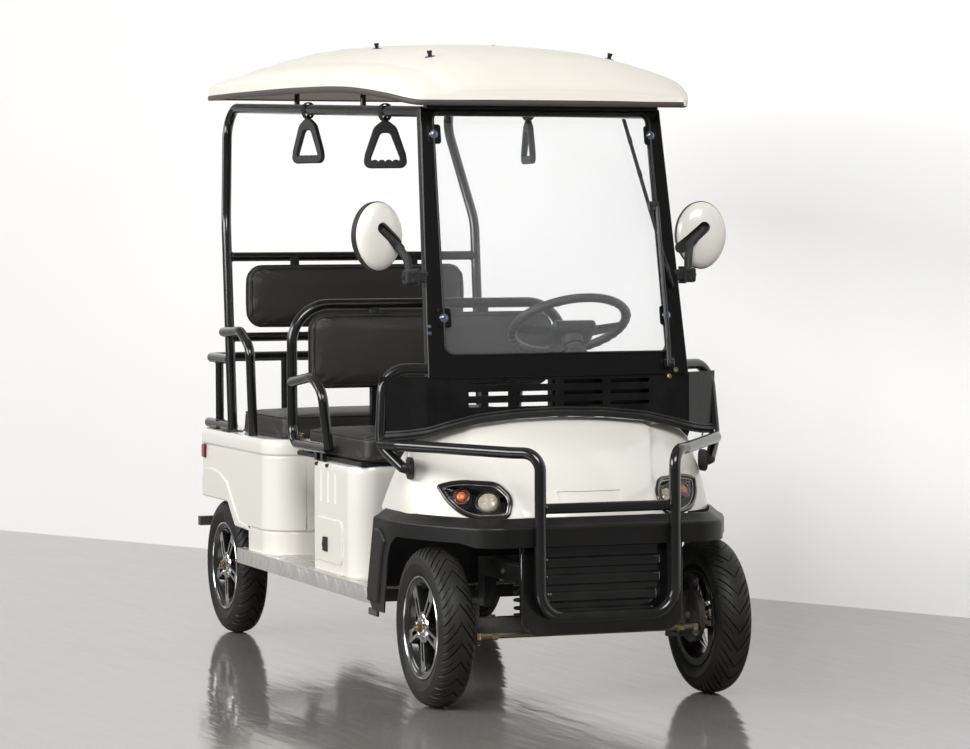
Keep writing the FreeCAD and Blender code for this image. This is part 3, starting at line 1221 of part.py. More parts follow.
seat_frame = loop_tube([
    ("rest_foot_x", f"-{SEAT_FRAME_HALF}", "seat_frame_foot"),
    ("seat_frame_x", f"-{SEAT_FRAME_HALF}", "seat_frame_foot"),
    ("seat_frame_x", f"-{SEAT_FRAME_HALF}", "seat_frame_top"),
], "tube_radius", "0.8 * tube_bend", "seat_frame_bend", "seat_frame_bend", "0.8 * tube_bend")
braces = []
for side in (1, -1):
    brace_y = across(side, "upright_y - upright_half", "upright_y + upright_half")
    braces.append(box(("seat_frame_x - upright_half", brace_y[0], "box_top + seat_board"),
                      ("seat_frame_x + upright_half", brace_y[1], "seat_frame_top")))
    lug_y = across(side, f"{FRONT_CUSHION_HALF} + upright_half", "box_half_width")
    for start in ("box_rear + upright_half", "box_rear + 6 * upright_half"):
        braces.append(box((start, lug_y[0], "box_top"),
                          (f"{start} + 2 * upright_half", lug_y[1], "seat_frame_foot")))
doc.recompute()
seat_frame = joined([seat_frame] + [brace.Shape for brace in braces])
solid("front_seat_frame", seat_frame)

front_rest = tube([
    ("seat_frame_x", f"-{SEAT_FRAME_HALF}", "rest_front_z"),
    ("seat_frame_x + rest_lead", f"-{REST_Y}", "rest_front_z + rest_slope"),
    ("rest_crest_x", f"-{REST_Y}", "rest_front_z + rest_crest"),
    ("rest_tip_x", f"-{REST_Y}", "rest_front_z - rest_tip"),
    ("rest_foot_x", f"-{SEAT_FRAME_HALF}", "seat_frame_foot"),
], "rest_radius", "rest_radius", "2.5 * tube_bend", "0.7 * tube_bend", "tube_bend")
rest_post = on_post("rest_rear_z")
rear_rest = tube([
    (rest_post, f"-{POST_FOOT_Y}", "rest_rear_z"),
    (f"{rest_post} + rear_rest_lead", f"-{REAR_REST_Y}", "rest_rear_z + rest_slope"),
    ("rear_rest_crest_x", f"-{REAR_REST_Y}", "rest_rear_z + rear_rest_crest"),
    ("rear_rest_tip_x", f"-{REAR_REST_Y}", "rest_rear_z - rear_rest_tip"),
    ("rear_rest_foot_x", "-(body_half_width - rear_rest_foot_inset)", "body_top"),
], "rest_radius", "rest_radius", "tube_bend", "0.7 * tube_bend", "tube_bend")
front_rest = largest(front_rest.cut(seat_frame))
rear_rest = largest(rear_rest.cut(posts[0]).cut(under("body_top")))
solid("armrests", Part.Compound([front_rest, mirrored(front_rest), rear_rest, mirrored(rear_rest)]))

deck_tube = "(body_top + tube_radius)"
rack = loop_tube([
    (on_post("rack_top"), f"-{RACK_HALF}", "rack_top"), ("rack_rear", f"-{RACK_HALF}", "rack_top"),
], "tube_radius", "0.6 * tube_bend")
uprights = []
for side in ("-1", "1"):
    uprights.append(tube([("rack_rear", f"{side} * rack_inner", "body_top"),
                          ("rack_rear", f"{side} * rack_inner", "rack_top")], "0.85 * tube_radius"))
    uprights.append(tube([("rack_rear + rack_side", f"{side} * {RACK_HALF}", "body_top"),
                          ("rack_rear + rack_side", f"{side} * {RACK_HALF}", "rack_top")], "0.85 * tube_radius"))
    uprights.append(tube([("rack_rear", f"{side} * {RACK_HALF}", deck_tube),
                          ("post_foot_x", f"{side} * {RACK_HALF}", deck_tube)], "tube_radius"))
solid("rear_rack", largest(joined([rack] + uprights).cut(posts[0]).cut(posts[1]).cut(under("body_top"))))


def loop_bar(radius):
    """Right-hand side loop beside the cowl."""
    return tube([
        ("screen_foot_x - 0.7 * screen_depth", "-(screen_foot_half - loop_lap)", "loop_top"),
        ("loop_back_x", "-(loop_y - loop_radius)", "loop_top"),
        ("loop_back_x + loop_radius", "-loop_y", "loop_foot_z + 4 * loop_radius"),
        ("screen_foot_x - loop_radius", "-(loop_y - 3 * loop_radius)", "loop_foot_z"),
    ], radius, "tube_bend")


side_loop = largest(largest(loop_bar("loop_radius").cut(frame_shape)).cut(cowl_outer))
solid("side_loops", pair(side_loop))
side_loop_space = loop_bar("loop_radius + soft_gap")


def dash_shield():
    """Slotted panel under the windscreen, its wings swept back inside the side loops."""
    wall = value("shield_wall")
    front = value("shield_x")
    right = [(value("loop_back_x + 0.8 * loop_radius"), -value("loop_y")), (front, -value("shield_bend_y"))]
    outer = right + [(along, -over) for along, over in reversed(right)]
    inner = [(along - wall, over) for along, over in reversed(outer)]
    panel = slab(outer + inner, value("shield_wing_foot"), value("shield_top"))
    low = value("flare_back_z")
    wide = value("half_track + slot_width")
    brow_end = value("shield_brow_end")
    brow = both_sides([
        (low, -wide), (brow_end, -wide), (brow_end, -value("shield_brow_end_y")),
        (value("shield_brow - shield_brow_fall"), -value("shield_brow_y")), (value("shield_brow"), 0),
    ])
    corners = [FreeCAD.Vector(0, over, up) for up, over in brow]
    panel = panel.cut(prism(corners, point("half_length", "0", "0")))
    width = value("slot_width")
    height = value("slot_height")
    for row in range(3):
        for column in range(4):
            middle = value("slot_pitch_y") * (column - 1.5)
            low = value("slot_first_z") + row * value("slot_pitch_z") - height / 2
            panel = panel.cut(Part.makeBox(4 * wall, width, height,
                                           FreeCAD.Vector(front - 2 * wall, middle - width / 2, low)))
    for trim in (frame_shape, side_loop_space, mirrored(side_loop_space)):
        panel = panel.cut(trim)
    return largest(panel)


solid("dash_shield", dash_shield())

front_post = tube([
    ("post_foot_front_x", "-post_front_y", "floor_top"),
    ("post_knee_front_x", "-post_front_y", "post_knee_front_z"),
    ("post_head_front_x", "-post_head_front_y", "screen_foot_z - 3 * tube_radius"),
    ("post_head_front_x - post_tip", "-post_head_front_y", "screen_foot_z + tube_radius"),
], "tube_radius", "2 * tube_bend", "tube_bend").cut(frame_shape).cut(side_loop_space).cut(under("floor_top"))
solid("windscreen_posts", pair(largest(front_post)))

guard_x = "(half_length - tube_radius)"
guard = loop_tube([
    ("loop_back_x + loop_radius", "-loop_y", "guard_end_z"), ("guard_end_x", "-guard_end_y", "guard_end_z"),
    ("guard_kink_x", "-guard_kink_y", "guard_shoulder_z"), (guard_x, "-guard_y", "guard_shoulder_z"),
    (guard_x, "-guard_y", "guard_foot_z"),
], "tube_radius", "tube_bend", "tube_bend", "0.7 * tube_bend", "tube_bend", "tube_bend", "0.7 * tube_bend",
    "tube_bend")
guard_bar = tube([(f"{guard_x} - guard_bar_back", "-guard_y", "guard_bar_z"),
                  (f"{guard_x} - guard_bar_back", "guard_y", "guard_bar_z")], "0.9 * tube_radius")
stays = []
for side in (1, -1):
    stay_span = across(side, "stay_y - stay_half", "stay_y + stay_half")
    stays.append(box(("rail_front + louvre_thickness", stay_span[0], "guard_foot_z - stay_half"),
                     (guard_x, stay_span[1], "guard_foot_z + stay_half")))
doc.recompute()
guard = joined([guard, guard_bar] + [stay.Shape for stay in stays])
solid("front_guard", largest(guard.cut(side_loop).cut(mirrored(side_loop)).cut(cowl_outer)))

# ---- mirrors, straps, lamps and small parts ----

def mirror_assembly():
    """Right-hand mirror: clamp on the pillar, bent arm and oval head."""
    head = point("mirror_x", "-mirror_y", "mirror_z")
    oval = Part.Ellipse(FreeCAD.Vector(0, 0, 0), value("mirror_half_height"), value("mirror_half_width"))
    face = Part.Face(Part.Wire(oval.toShape()))
    shell = face.extrude(FreeCAD.Vector(0, 0, value("mirror_depth")))
    shell.rotate(FreeCAD.Vector(0, 0, 0), FreeCAD.Vector(0, 1, 0), -90)
    shell.rotate(FreeCAD.Vector(0, 0, 0), FreeCAD.Vector(0, 0, 1), value("mirror_turn"))
    shell.translate(head)
    foot = point("screen_foot_x - 0.5 * screen_depth", "mirror_foot_inset - screen_foot_half", "mirror_foot_z")
    foot.x -= math.tan(math.radians(value("screen_lean"))) * value("mirror_foot_z - screen_foot_z")
    clamp = Part.makeCylinder(value("mirror_clamp_radius"), value("mirror_clamp_in + mirror_clamp_out"),
                              foot + point("0", "mirror_clamp_in", "0"), FreeCAD.Vector(0, -1, 0))
    elbow = foot - point("0", "mirror_elbow", "0")
    reach = head - point("mirror_arm_back", "0", "mirror_arm_drop") - elbow
    arm_bar = Part.makeCylinder(value("mirror_arm_radius"), reach.Length, elbow, reach)
    return joined([shell, clamp, arm_bar]).cut(frame_shape)


solid("mirrors", pair(largest(mirror_assembly())))


def hand_strap(along, side, turn):
    """Web from the roof rail and a triangular handle with its opening."""
    half, level = (value(text) for text in rail_at(f"{along}"))
    wide = value("strap_half_width")
    tall = value("strap_height")
    bar = value("strap_bar")
    outer = [(-wide, -tall), (wide, -tall), (0.25 * wide, 0), (-0.25 * wide, 0)]
    hole = [(-wide + 2.6 * bar, -tall + 2 * bar), (wide - 2.6 * bar, -tall + 2 * bar), (0, -3.2 * bar)]
    faces = []
    for loop in (outer, hole):
        faces.append(prism([FreeCAD.Vector(-bar, over, up) for over, up in loop], FreeCAD.Vector(2 * bar, 0, 0)))
    drop = value("strap_drop")
    web = Part.makeBox(value("strap_web_thickness"), value("strap_web"), drop)
    web.translate(point("-0.5 * strap_web_thickness", "-0.5 * strap_web", "0"))
    handle = joined([faces[0].cut(faces[1]), web])
    handle.rotate(FreeCAD.Vector(0, 0, 0), FreeCAD.Vector(0, 0, 1), turn)
    handle.translate(FreeCAD.Vector(value(along), side * half, level - drop))
    return handle


# Place along the cart, side, turn in degrees
straps = [hand_strap("strap_front_x", -1, 0), hand_strap("strap_rear_x", -1, 20),
          hand_strap("strap_rear_x", 1, 80)]
solid("hand_straps", Part.Compound([largest(strap.cut(roof_frame)) for strap in straps]))

lamp_pieces = []
for side in (1, -1):
    lamp_y = across(side, "tail_lamp_inner", "tail_lamp_outer")
    lamp_pieces.append(box(("body_rear - 2 * body_wall", lamp_y[0], "body_top - tail_lamp_top - tail_lamp_height"),
                           ("body_rear", lamp_y[1], "body_top - tail_lamp_top")))
    marker_y = across(side, "body_half_width", "body_half_width + body_wall")
    lamp_pieces.append(box(("body_rear + marker_x", marker_y[0], "body_top - marker_top - marker_height"),
                           ("body_rear + marker_x + marker_length", marker_y[1], "body_top - marker_top")))
keep(group(lamp_pieces), "rear_lamps")

bar_x = "(tongue_reach - half_length)"
bumper_pieces = [
    box((bar_x, "-bumper_bar_half", "bumper_bar_z - bumper_bar"),
        (f"{bar_x} + 2 * bumper_bar", "bumper_bar_half", "bumper_bar_z + bumper_bar")),
    box(("-half_length", "-tongue_half", "bumper_bar_z - bumper_bar - tongue_thickness"),
        (f"{bar_x} + 2 * bumper_bar", "tongue_half", "bumper_bar_z - bumper_bar")),
]
for side in (1, -1):
    stay_y = across(side, "rail_y - rail_half", "rail_y + rail_half")
    bumper_pieces.append(box((f"{bar_x} + bumper_bar", stay_y[0], "bumper_bar_z - bumper_bar"),
                             ("rail_rear", stay_y[1], "high_rail_top")))
tow_hole = rod("z", ("-half_length + 0.5 * tongue_reach", "0",
                     "bumper_bar_z - bumper_bar - 2 * tongue_thickness"), "4 * tongue_thickness", "tow_pin_radius")
keep(cut(weld(bumper_pieces), [tow_hole]), "rear_bumper")

pedals = []
pad_face = "(toe_foot_x - pedal_back)"
for middle in ("throttle_y", "brake_y"):
    plate = box((pad_face, f"{middle} - pedal_half", "pedal_z"),
                (f"{pad_face} + pedal_thickness", f"{middle} + pedal_half", "pedal_z + pedal_height"))
    stem = box((pad_face, f"{middle} - 0.5 * pedal_stem", "pedal_stem_z"),
               (f"{pad_face} + pedal_stem_length", f"{middle} + 0.5 * pedal_stem", "pedal_stem_z + pedal_stem"))
    doc.recompute()
    pedal = joined([plate.Shape, stem.Shape]).cut(toe.Shape)
    pedals.append(min(pedal.Solids, key=lambda piece: piece.BoundBox.XMin))
solid("pedals", Part.Compound(pedals))


# ---- check and write ----

doc.recompute()
for item in doc.Objects:
    if {"Invalid", "Error"} & set(item.State):
        raise RuntimeError(f"{item.Name} ({item.Label}) failed: {item.State}")
for part in parts:
    if part.Shape.isNull() or not part.Shape.isValid():
        raise RuntimeError(f"{part.Label} has no valid shape")
os.makedirs("parts", exist_ok=True)
for part in parts:
    part.Shape.exportStep(f"parts/{part.Label}.step")
print(len(parts), "parts")
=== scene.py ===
import bmesh
import bpy
import math
from mathutils import Matrix, Vector
from mathutils.bvhtree import BVHTree
from mathutils.kdtree import KDTree


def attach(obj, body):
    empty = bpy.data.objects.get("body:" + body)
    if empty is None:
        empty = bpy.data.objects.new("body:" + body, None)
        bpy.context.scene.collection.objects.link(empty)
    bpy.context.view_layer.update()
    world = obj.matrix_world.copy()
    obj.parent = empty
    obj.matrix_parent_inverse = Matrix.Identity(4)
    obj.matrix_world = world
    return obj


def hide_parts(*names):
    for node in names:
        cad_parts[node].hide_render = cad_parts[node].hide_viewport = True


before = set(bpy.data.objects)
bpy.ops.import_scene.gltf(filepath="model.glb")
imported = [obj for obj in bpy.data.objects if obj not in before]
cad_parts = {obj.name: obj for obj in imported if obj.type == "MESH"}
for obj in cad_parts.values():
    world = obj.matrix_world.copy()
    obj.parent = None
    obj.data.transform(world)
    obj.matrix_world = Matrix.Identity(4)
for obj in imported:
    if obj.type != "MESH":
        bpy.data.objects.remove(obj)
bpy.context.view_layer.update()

# ---- Camera, floor, wall and light ----
# A still camera with a long lens at eye height. A pale polished floor, a white wall that is seen from its
# front only, soft light from large panels and an even sky.

camera_data = bpy.data.cameras.new("camera")
camera_data.lens = 127.73
camera_data.clip_end = 200
camera = bpy.data.objects.new("camera", camera_data)
camera.location = (9.9072, -3.5234, 1.2827)
camera.rotation_euler = [math.radians(turn) for turn in (87.7551, 0.2637, 69.8325)]
bpy.context.collection.objects.link(camera)
bpy.context.scene.camera = camera
bpy.context.scene.view_settings.view_transform = "Standard"


def link(name, mesh):
    """New object at the origin that holds a mesh."""
    item = bpy.data.objects.new(name, mesh)
    bpy.context.collection.objects.link(item)
    return item


def mesh_of(name, shape):
    """New mesh from a bmesh, which is freed."""
    mesh = bpy.data.meshes.new(name)
    shape.to_mesh(mesh)
    shape.free()
    return mesh


def add(tree, kind, settings=None, **inputs):
    """New shader node. Inputs are values or sockets; i0, i1 and so on name a socket by its number."""
    node = tree.nodes.new("ShaderNode" + kind)
    for name, number in (settings or {}).items():
        setattr(node, name, number)
    for name, source in inputs.items():
        socket = node.inputs[int(name[1:]) if name[1:].isdigit() else name.replace("_", " ")]
        if isinstance(source, bpy.types.NodeSocket):
            tree.links.new(source, socket)
        else:
            socket.default_value = source
    return node


def sums(tree, operation, *values):
    """Math node's result."""
    return add(tree, "Math", {"operation": operation},
               **{f"i{n}": v for n, v in enumerate(values)}).outputs[0]


def blended(tree, share, low, high):
    """Colour between two colours."""
    return add(tree, "Mix", {"data_type": "RGBA"}, i0=share, i6=low, i7=high).outputs[2]


def ranged(tree, source, low, high, to_low=0.0, to_high=1.0):
    """A value moved from one range to another and held inside it."""
    return add(tree, "MapRange", {"interpolation_type": "SMOOTHSTEP"}, Value=source, From_Min=low,
               From_Max=high, To_Min=to_low, To_Max=to_high).outputs[0]


def where_in(tree):
    """Object coordinates, which every texture uses."""
    return add(tree, "TexCoord").outputs["Object"]


def new_material(name):
    """New material, its tree and its main shader."""
    material = bpy.data.materials.new(name)
    material.use_nodes = True
    return material, material.node_tree, material.node_tree.nodes["Principled BSDF"]


FLOOR_TONES = ((0.190, 0.179, 0.168, 1), (0.235, 0.222, 0.209, 1))
FLOOR_LAY = math.radians(-69.8)
shape = bmesh.new()
bmesh.ops.create_grid(shape, x_segments=1, y_segments=1, size=40)
floor_mesh = mesh_of("floor", shape)
link("floor", floor_mesh)
floor_finish, tree, shader = new_material("polished_floor")
where = where_in(tree)
streaks = add(tree, "TexNoise", Vector=add(tree, "Mapping", Vector=where, Scale=(0.8, 2.0, 1)).outputs[0],
              Scale=0.9, Detail=3).outputs[0]
tone = blended(tree, ranged(tree, streaks, 0.3, 0.7), *FLOOR_TONES)
tree.links.new(tone, shader.inputs["Base Color"])
tree.links.new(ranged(tree, streaks, 0.3, 0.7, 0.07, 0.13), shader.inputs["Roughness"])
shader.inputs["Specular IOR Level"].default_value = 0.9
across = add(tree, "Mapping", Vector=where, Rotation=(0, 0, FLOOR_LAY), Scale=(1.6, 9.0, 1)).outputs[0]
ripples = add(tree, "TexNoise", Vector=across, Scale=1.6, Detail=5).outputs[0]
relief = add(tree, "Bump", Height=ripples, Strength=0.16, Distance=0.010)
tree.links.new(relief.outputs[0], shader.inputs["Normal"])
floor_mesh.materials.append(floor_finish)

WALL_FOOT = Vector((-3.976, 0.291, 0))
WALL_RUN = Vector((0.9036, 0.4283, 0))
WALL_REACH = 18
WALL_SPLIT = 4.9
WALL_TOP = Vector((0, 0, 5))
# The second stretch of wall is a backdrop only: it throws no light on the cart.
for name, start, end, whole in (("white_wall", -WALL_REACH, WALL_SPLIT, True),
                                ("wall_end", WALL_SPLIT, WALL_REACH, False)):
    shape = bmesh.new()
    bmesh.ops.create_grid(shape, x_segments=1, y_segments=1, size=1)
    for vert in shape.verts:
        upper = vert.co.y > 0
        vert.co = WALL_FOOT + WALL_RUN * (end if vert.co.x > 0 else start)
        if upper:
            vert.co += WALL_TOP
    wall_mesh = mesh_of(name, shape)
    link(name, wall_mesh)
    wall_finish, tree, shader = new_material(name)
    shader.inputs["Base Color"].default_value = (0.80, 0.795, 0.785, 1)
    shader.inputs["Roughness"].default_value = 0.9
    shader.inputs["Emission Color"].default_value = (1, 1, 1, 1)
    cloudy = add(tree, "TexNoise", Vector=where_in(tree), Scale=0.35, Detail=2).outputs[0]
    rays = add(tree, "LightPath")
    seen = sums(tree, "MAXIMUM", rays.outputs["Is Camera Ray"], rays.outputs["Is Glossy Ray"])
    seen = sums(tree, "MAXIMUM", seen, rays.outputs["Is Transmission Ray"])
    glow = sums(tree, "MULTIPLY", seen, ranged(tree, cloudy, 0.3, 0.7, 0.165, 0.215))
    tree.links.new(glow, shader.inputs["Emission Strength"])
    cover = sums(tree, "SUBTRACT", 1.0, add(tree, "NewGeometry").outputs["Backfacing"])
    if not whole:
        cover = sums(tree, "MULTIPLY", cover, seen)
    tree.links.new(cover, shader.inputs["Alpha"])
    wall_mesh.materials.append(wall_finish)

world = bpy.data.worlds.new("world")
world.use_nodes = True
bpy.context.scene.world = world
sky = world.node_tree
rays = add(sky, "LightPath")
seen = sums(sky, "MAXIMUM", rays.outputs["Is Camera Ray"], rays.outputs["Is Transmission Ray"])
glossy = sums(sky, "MULTIPLY", rays.outputs["Is Glossy Ray"], 0.20)
diffuse = sums(sky, "MULTIPLY", rays.outputs["Is Diffuse Ray"], 0.38)
strength = sums(sky, "MAXIMUM", sums(sky, "MAXIMUM", seen, glossy), diffuse)
sky.links.new(strength, sky.nodes["Background"].inputs["Strength"])
sky.nodes["Background"].inputs["Color"].default_value = (1, 1, 1, 1)

for name, place, aim, size, power in (
    ("front_panel", (6.2, -1.6, 5.0), (0.3, 0, 0.7), (3.6, 2.2), 320),
    ("side_panel", (1.0, -7.0, 3.2), (0, 0, 0.8), (5.5, 2.6), 425),
    ("top_panel", (0.4, -0.8, 5.6), (0, 0, 0), (4.5, 3.0), 6),
    ("far_panel", (-5.0, -6.0, 3.5), (-0.5, 0, 0.8), (3.0, 2.0), 90),
):
    panel = bpy.data.lights.new(name, "AREA")
    panel.shape = "RECTANGLE"
    panel.size, panel.size_y = size
    panel.energy = power
    lamp = bpy.data.objects.new(name, panel)
    lamp.location = place
    lamp.rotation_euler = (Vector(aim) - Vector(place)).to_track_quat("-Z", "Y").to_euler()
    bpy.context.collection.objects.link(lamp)

# ---- Chassis frame ----
# Two box rails with raised ends, cross members and outriggers, welded from square steel tube and painted
# satin black. Bolt heads show from below.


def node_group(name, inputs, outputs):
    """Empty shader group with named inputs and outputs."""
    tree = bpy.data.node_groups.new(name, "ShaderNodeTree")
    for label, start in inputs:
        kind = "NodeSocketColor" if isinstance(start, tuple) else "NodeSocketFloat"
        tree.interface.new_socket(label, in_out="INPUT", socket_type=kind).default_value = start
    for label, kind in outputs:
        tree.interface.new_socket(label, in_out="OUTPUT", socket_type="NodeSocket" + kind)
    return tree, tree.nodes.new("NodeGroupInput").outputs, tree.nodes.new("NodeGroupOutput").inputs


# Every surface's life: slow mottling, dust on upward faces and low down, fine grain, rubbed edges.
used_surface, given, out = node_group("used_surface", [
    ("Colour", (0.5, 0.5, 0.5, 1)), ("Roughness", 0.4), ("Mottle", 0.05), ("Mottle Scale", 3.0),
    ("Dust", 0.1), ("Dust Colour", (0.42, 0.39, 0.35, 1)), ("Grain", 0.1), ("Grain Scale", 400.0),
    ("Wear", 0.1), ("Wear Colour", (0.5, 0.5, 0.5, 1)), ("Roughness Spread", 0.08),
], [("Colour", "Color"), ("Roughness", "Float"), ("Height", "Float")])
where = where_in(used_surface)
slow = add(used_surface, "TexNoise", Vector=where, Scale=given["Mottle Scale"], Detail=4).outputs[0]
fine = add(used_surface, "TexNoise", Vector=where, Scale=given["Grain Scale"], Detail=2).outputs[0]
patchy = add(used_surface, "TexNoise", Vector=where, Scale=11.0, Detail=5).outputs[0]
shade = sums(used_surface, "MULTIPLY_ADD", sums(used_surface, "SUBTRACT", slow, 0.5),
             sums(used_surface, "MULTIPLY", given["Mottle"], 2.0), 1.0)
tinted = add(used_surface, "VectorMath", {"operation": "SCALE"}, Vector=given["Colour"],
             Scale=shade).outputs[0]
upward = add(used_surface, "SeparateXYZ",
             Vector=add(used_surface, "NewGeometry").outputs["Normal"]).outputs[2]
low_down = ranged(used_surface, add(used_surface, "SeparateXYZ", Vector=where).outputs[2], 0.55, 0.0)
settled = sums(used_surface, "MAXIMUM", ranged(used_surface, upward, 0.2, 1.0), low_down)
speckled = sums(used_surface, "MULTIPLY", settled, ranged(used_surface, patchy, 0.3, 0.75))
dust = sums(used_surface, "MULTIPLY", speckled, given["Dust"])
edges = ranged(used_surface, add(used_surface, "NewGeometry").outputs["Pointiness"], 0.53, 0.62)
chipped = sums(used_surface, "MULTIPLY", edges, ranged(used_surface, patchy, 0.35, 0.6))
worn = blended(used_surface, sums(used_surface, "MULTIPLY", chipped, given["Wear"]), tinted,
               given["Wear Colour"])
used_surface.links.new(blended(used_surface, dust, worn, given["Dust Colour"]), out["Colour"])
spread = sums(used_surface, "MULTIPLY_ADD", sums(used_surface, "SUBTRACT", patchy, 0.5),
              given["Roughness Spread"], given["Roughness"])
used_surface.links.new(sums(used_surface, "MULTIPLY_ADD", dust, 0.4, spread), out["Roughness"])
used_surface.links.new(sums(used_surface, "MULTIPLY", fine, given["Grain"]), out["Height"])


def finish(name, colour, roughness, metallic=0.0, coat=0.0, specular=0.5, bump=0.0006, **amounts):
    """Material from the shared group. Amounts are the group's inputs; returns material, tree and shader."""
    material, tree, shader = new_material(name)
    life = add(tree, "Group", {"node_tree": used_surface}, Colour=(*colour, 1), Roughness=roughness,
               **amounts)
    tree.links.new(life.outputs["Colour"], shader.inputs["Base Color"])
    tree.links.new(life.outputs["Roughness"], shader.inputs["Roughness"])
    shader.inputs["Metallic"].default_value = metallic
    shader.inputs["Coat Weight"].default_value = coat
    shader.inputs["Coat Roughness"].default_value = 0.05
    shader.inputs["Specular IOR Level"].default_value = specular
    relief = add(tree, "Bump", Height=life.outputs["Height"], Strength=0.6, Distance=bump)
    tree.links.new(relief.outputs[0], shader.inputs["Normal"])
    return material, tree, shader


def settle(name, shape, materials, body="cart_body", smooth=35, stands_for=(), merge=2e-6):
    """Turn a bmesh into a piece: merged, faces outwards, smooth up to an angle, riding on its body."""
    bmesh.ops.remove_doubles(shape, verts=shape.verts, dist=merge)
    bmesh.ops.recalc_face_normals(shape, faces=shape.faces)
    mesh = mesh_of(name, shape)
    mesh.shade_smooth()
    mesh.set_sharp_from_angle(angle=math.radians(smooth))
    for material in materials if isinstance(materials, tuple) else (materials,):
        mesh.materials.append(material)
    item = link(name, mesh)
    item.modifiers.new("even", "WEIGHTED_NORMAL").keep_sharp = True
    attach(item, body)
    if stands_for:
        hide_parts(*stands_for)
    return item


def ease(shape, width, angle=30, segments=2, edges=None):
    """Round the given edges, or else those that are sharper than an angle."""
    if edges is None:
        edges = [edge for edge in shape.edges
                 if len(edge.link_faces) == 2 and edge.calc_face_angle() > math.radians(angle)]
    return bmesh.ops.bevel(shape, geom=edges, offset=width, offset_type="OFFSET", segments=segments,
                           profile=0.5, affect="EDGES", clamp_overlap=True, material=-1)


def copy_of(node, width=0.0015, angle=30, segments=2):
    """Bmesh of a CAD node, merged, its flat faces whole and its edges eased."""
    shape = bmesh.new()
    shape.from_mesh(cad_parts[node].data)
    bmesh.ops.remove_doubles(shape, verts=shape.verts, dist=1e-5)
    bmesh.ops.dissolve_limit(shape, angle_limit=math.radians(0.8), verts=shape.verts, edges=shape.edges)
    if width:
        ease(shape, width, angle, segments)
    return shape


def rod(shape, start, end, radius, sides=16, head=None):
    """Round bar between two points, or a cone when the far end has a radius of its own."""
    start, end = Vector(start), Vector(end)
    place = Matrix.Translation((start + end) / 2) @ (end - start).to_track_quat("Z", "Y").to_matrix().to_4x4()
    return bmesh.ops.create_cone(shape, cap_ends=True, segments=sides, radius1=radius,
                                 radius2=radius if head is None else head, depth=(end - start).length,
                                 matrix=place)["verts"]


def bolt(shape, place, facing, radius=0.007, height=0.005, washer=1.5):
    """Hexagon head on a washer, seen along its facing direction."""
    facing = Vector(facing).normalized()
    place = Vector(place)
    rod(shape, place - facing * 0.001, place + facing * 0.0014, radius * washer, 20)
    rod(shape, place + facing * 0.0014, place + facing * (height + 0.0004), radius, 6)
    rod(shape, place + facing * (height + 0.0004), place + facing * (height + 0.0014), radius, 6,
        radius * 0.86)


satin_black, *_ = finish("satin_chassis_paint", (0.014, 0.014, 0.015), 0.42, specular=0.4, Mottle=0.12,
                         Dust=0.28, Wear=0.35, Wear_Colour=(0.12, 0.11, 0.10, 1), Grain=0.4,
                         Grain_Scale=320.0)
zinc, *_ = finish("zinc_plate", (0.62, 0.62, 0.60), 0.3, metallic=1.0, Mottle=0.08, Dust=0.06, Wear=0.1)
chassis = copy_of("chassis_frame", 0.004)
settle("chassis_rails", chassis, satin_black, stands_for=("chassis_frame",))
shape = bmesh.new()
for along in (-1.0, -0.55, -0.2, 0.3, 0.55, 0.85, 1.1):
    low = 0.24 if abs(along) < 0.7 else 0.33
    for side in (1, -1):
        bolt(shape, (along, side * 0.15, low), (0, 0, -1), 0.008, 0.006)
        bolt(shape, (along + 0.06, side * 0.17, low + 0.026), (0, side, 0), 0.006, 0.004)
settle("chassis_bolts", shape, zinc)

# ---- Rear axle, motor, batteries and springs ----
# A live axle with drum brakes and a finned electric motor on its nose, cast in iron and painted black, on
# coil springs of round wire. The battery pack is a plain case between the rails.


AXES = {"X": (1, 0, 0), "Y": (0, 1, 0), "Z": (0, 0, 1)}


def edges_of(verts):
    """All edges that meet at some points."""
    return list({edge for vert in verts for edge in vert.link_edges})


def angles(count, start=0.0):
    """Evenly spaced angles of one full turn, the first a number of steps round."""
    return [math.tau * (step + start) / count for step in range(count)]


def turned(shape, profile, centre=(0, 0, 0), axis="Y", steps=64):
    """Spin a profile of (radius, along) about a main axis through a centre."""
    outward, onward = {"X": (2, 0), "Y": (0, 1), "Z": (0, 2)}[axis]
    verts = []
    for radius, along in profile:
        spot = [0, 0, 0]
        spot[outward] = radius
        spot[onward] = along
        verts.append(shape.verts.new(spot))
    edges = [shape.edges.new(two) for two in zip(verts, verts[1:])]
    before = set(shape.verts) - set(verts)
    bmesh.ops.spin(shape, geom=verts + edges, cent=(0, 0, 0), axis=AXES[axis], angle=math.tau, steps=steps,
                   use_merge=True)
    made = [vert for vert in shape.verts if vert not in before]
    bmesh.ops.remove_doubles(shape, verts=made, dist=1e-6)
    made = [vert for vert in shape.verts if vert not in before]
    bmesh.ops.translate(shape, vec=centre, verts=made)
    return made


def ribbed(low, high, root, crest, count, duty=0.5):
    """Profile points of square ribs between two places along an axis."""
    points = []
    pitch = (high - low) / count
    for step in range(count):
        start = low + step * pitch
        points += [(root, start), (crest, start + 0.08 * pitch), (crest, start + duty * pitch),
                   (root, start + (duty + 0.08) * pitch)]
    return points + [(root, high)]


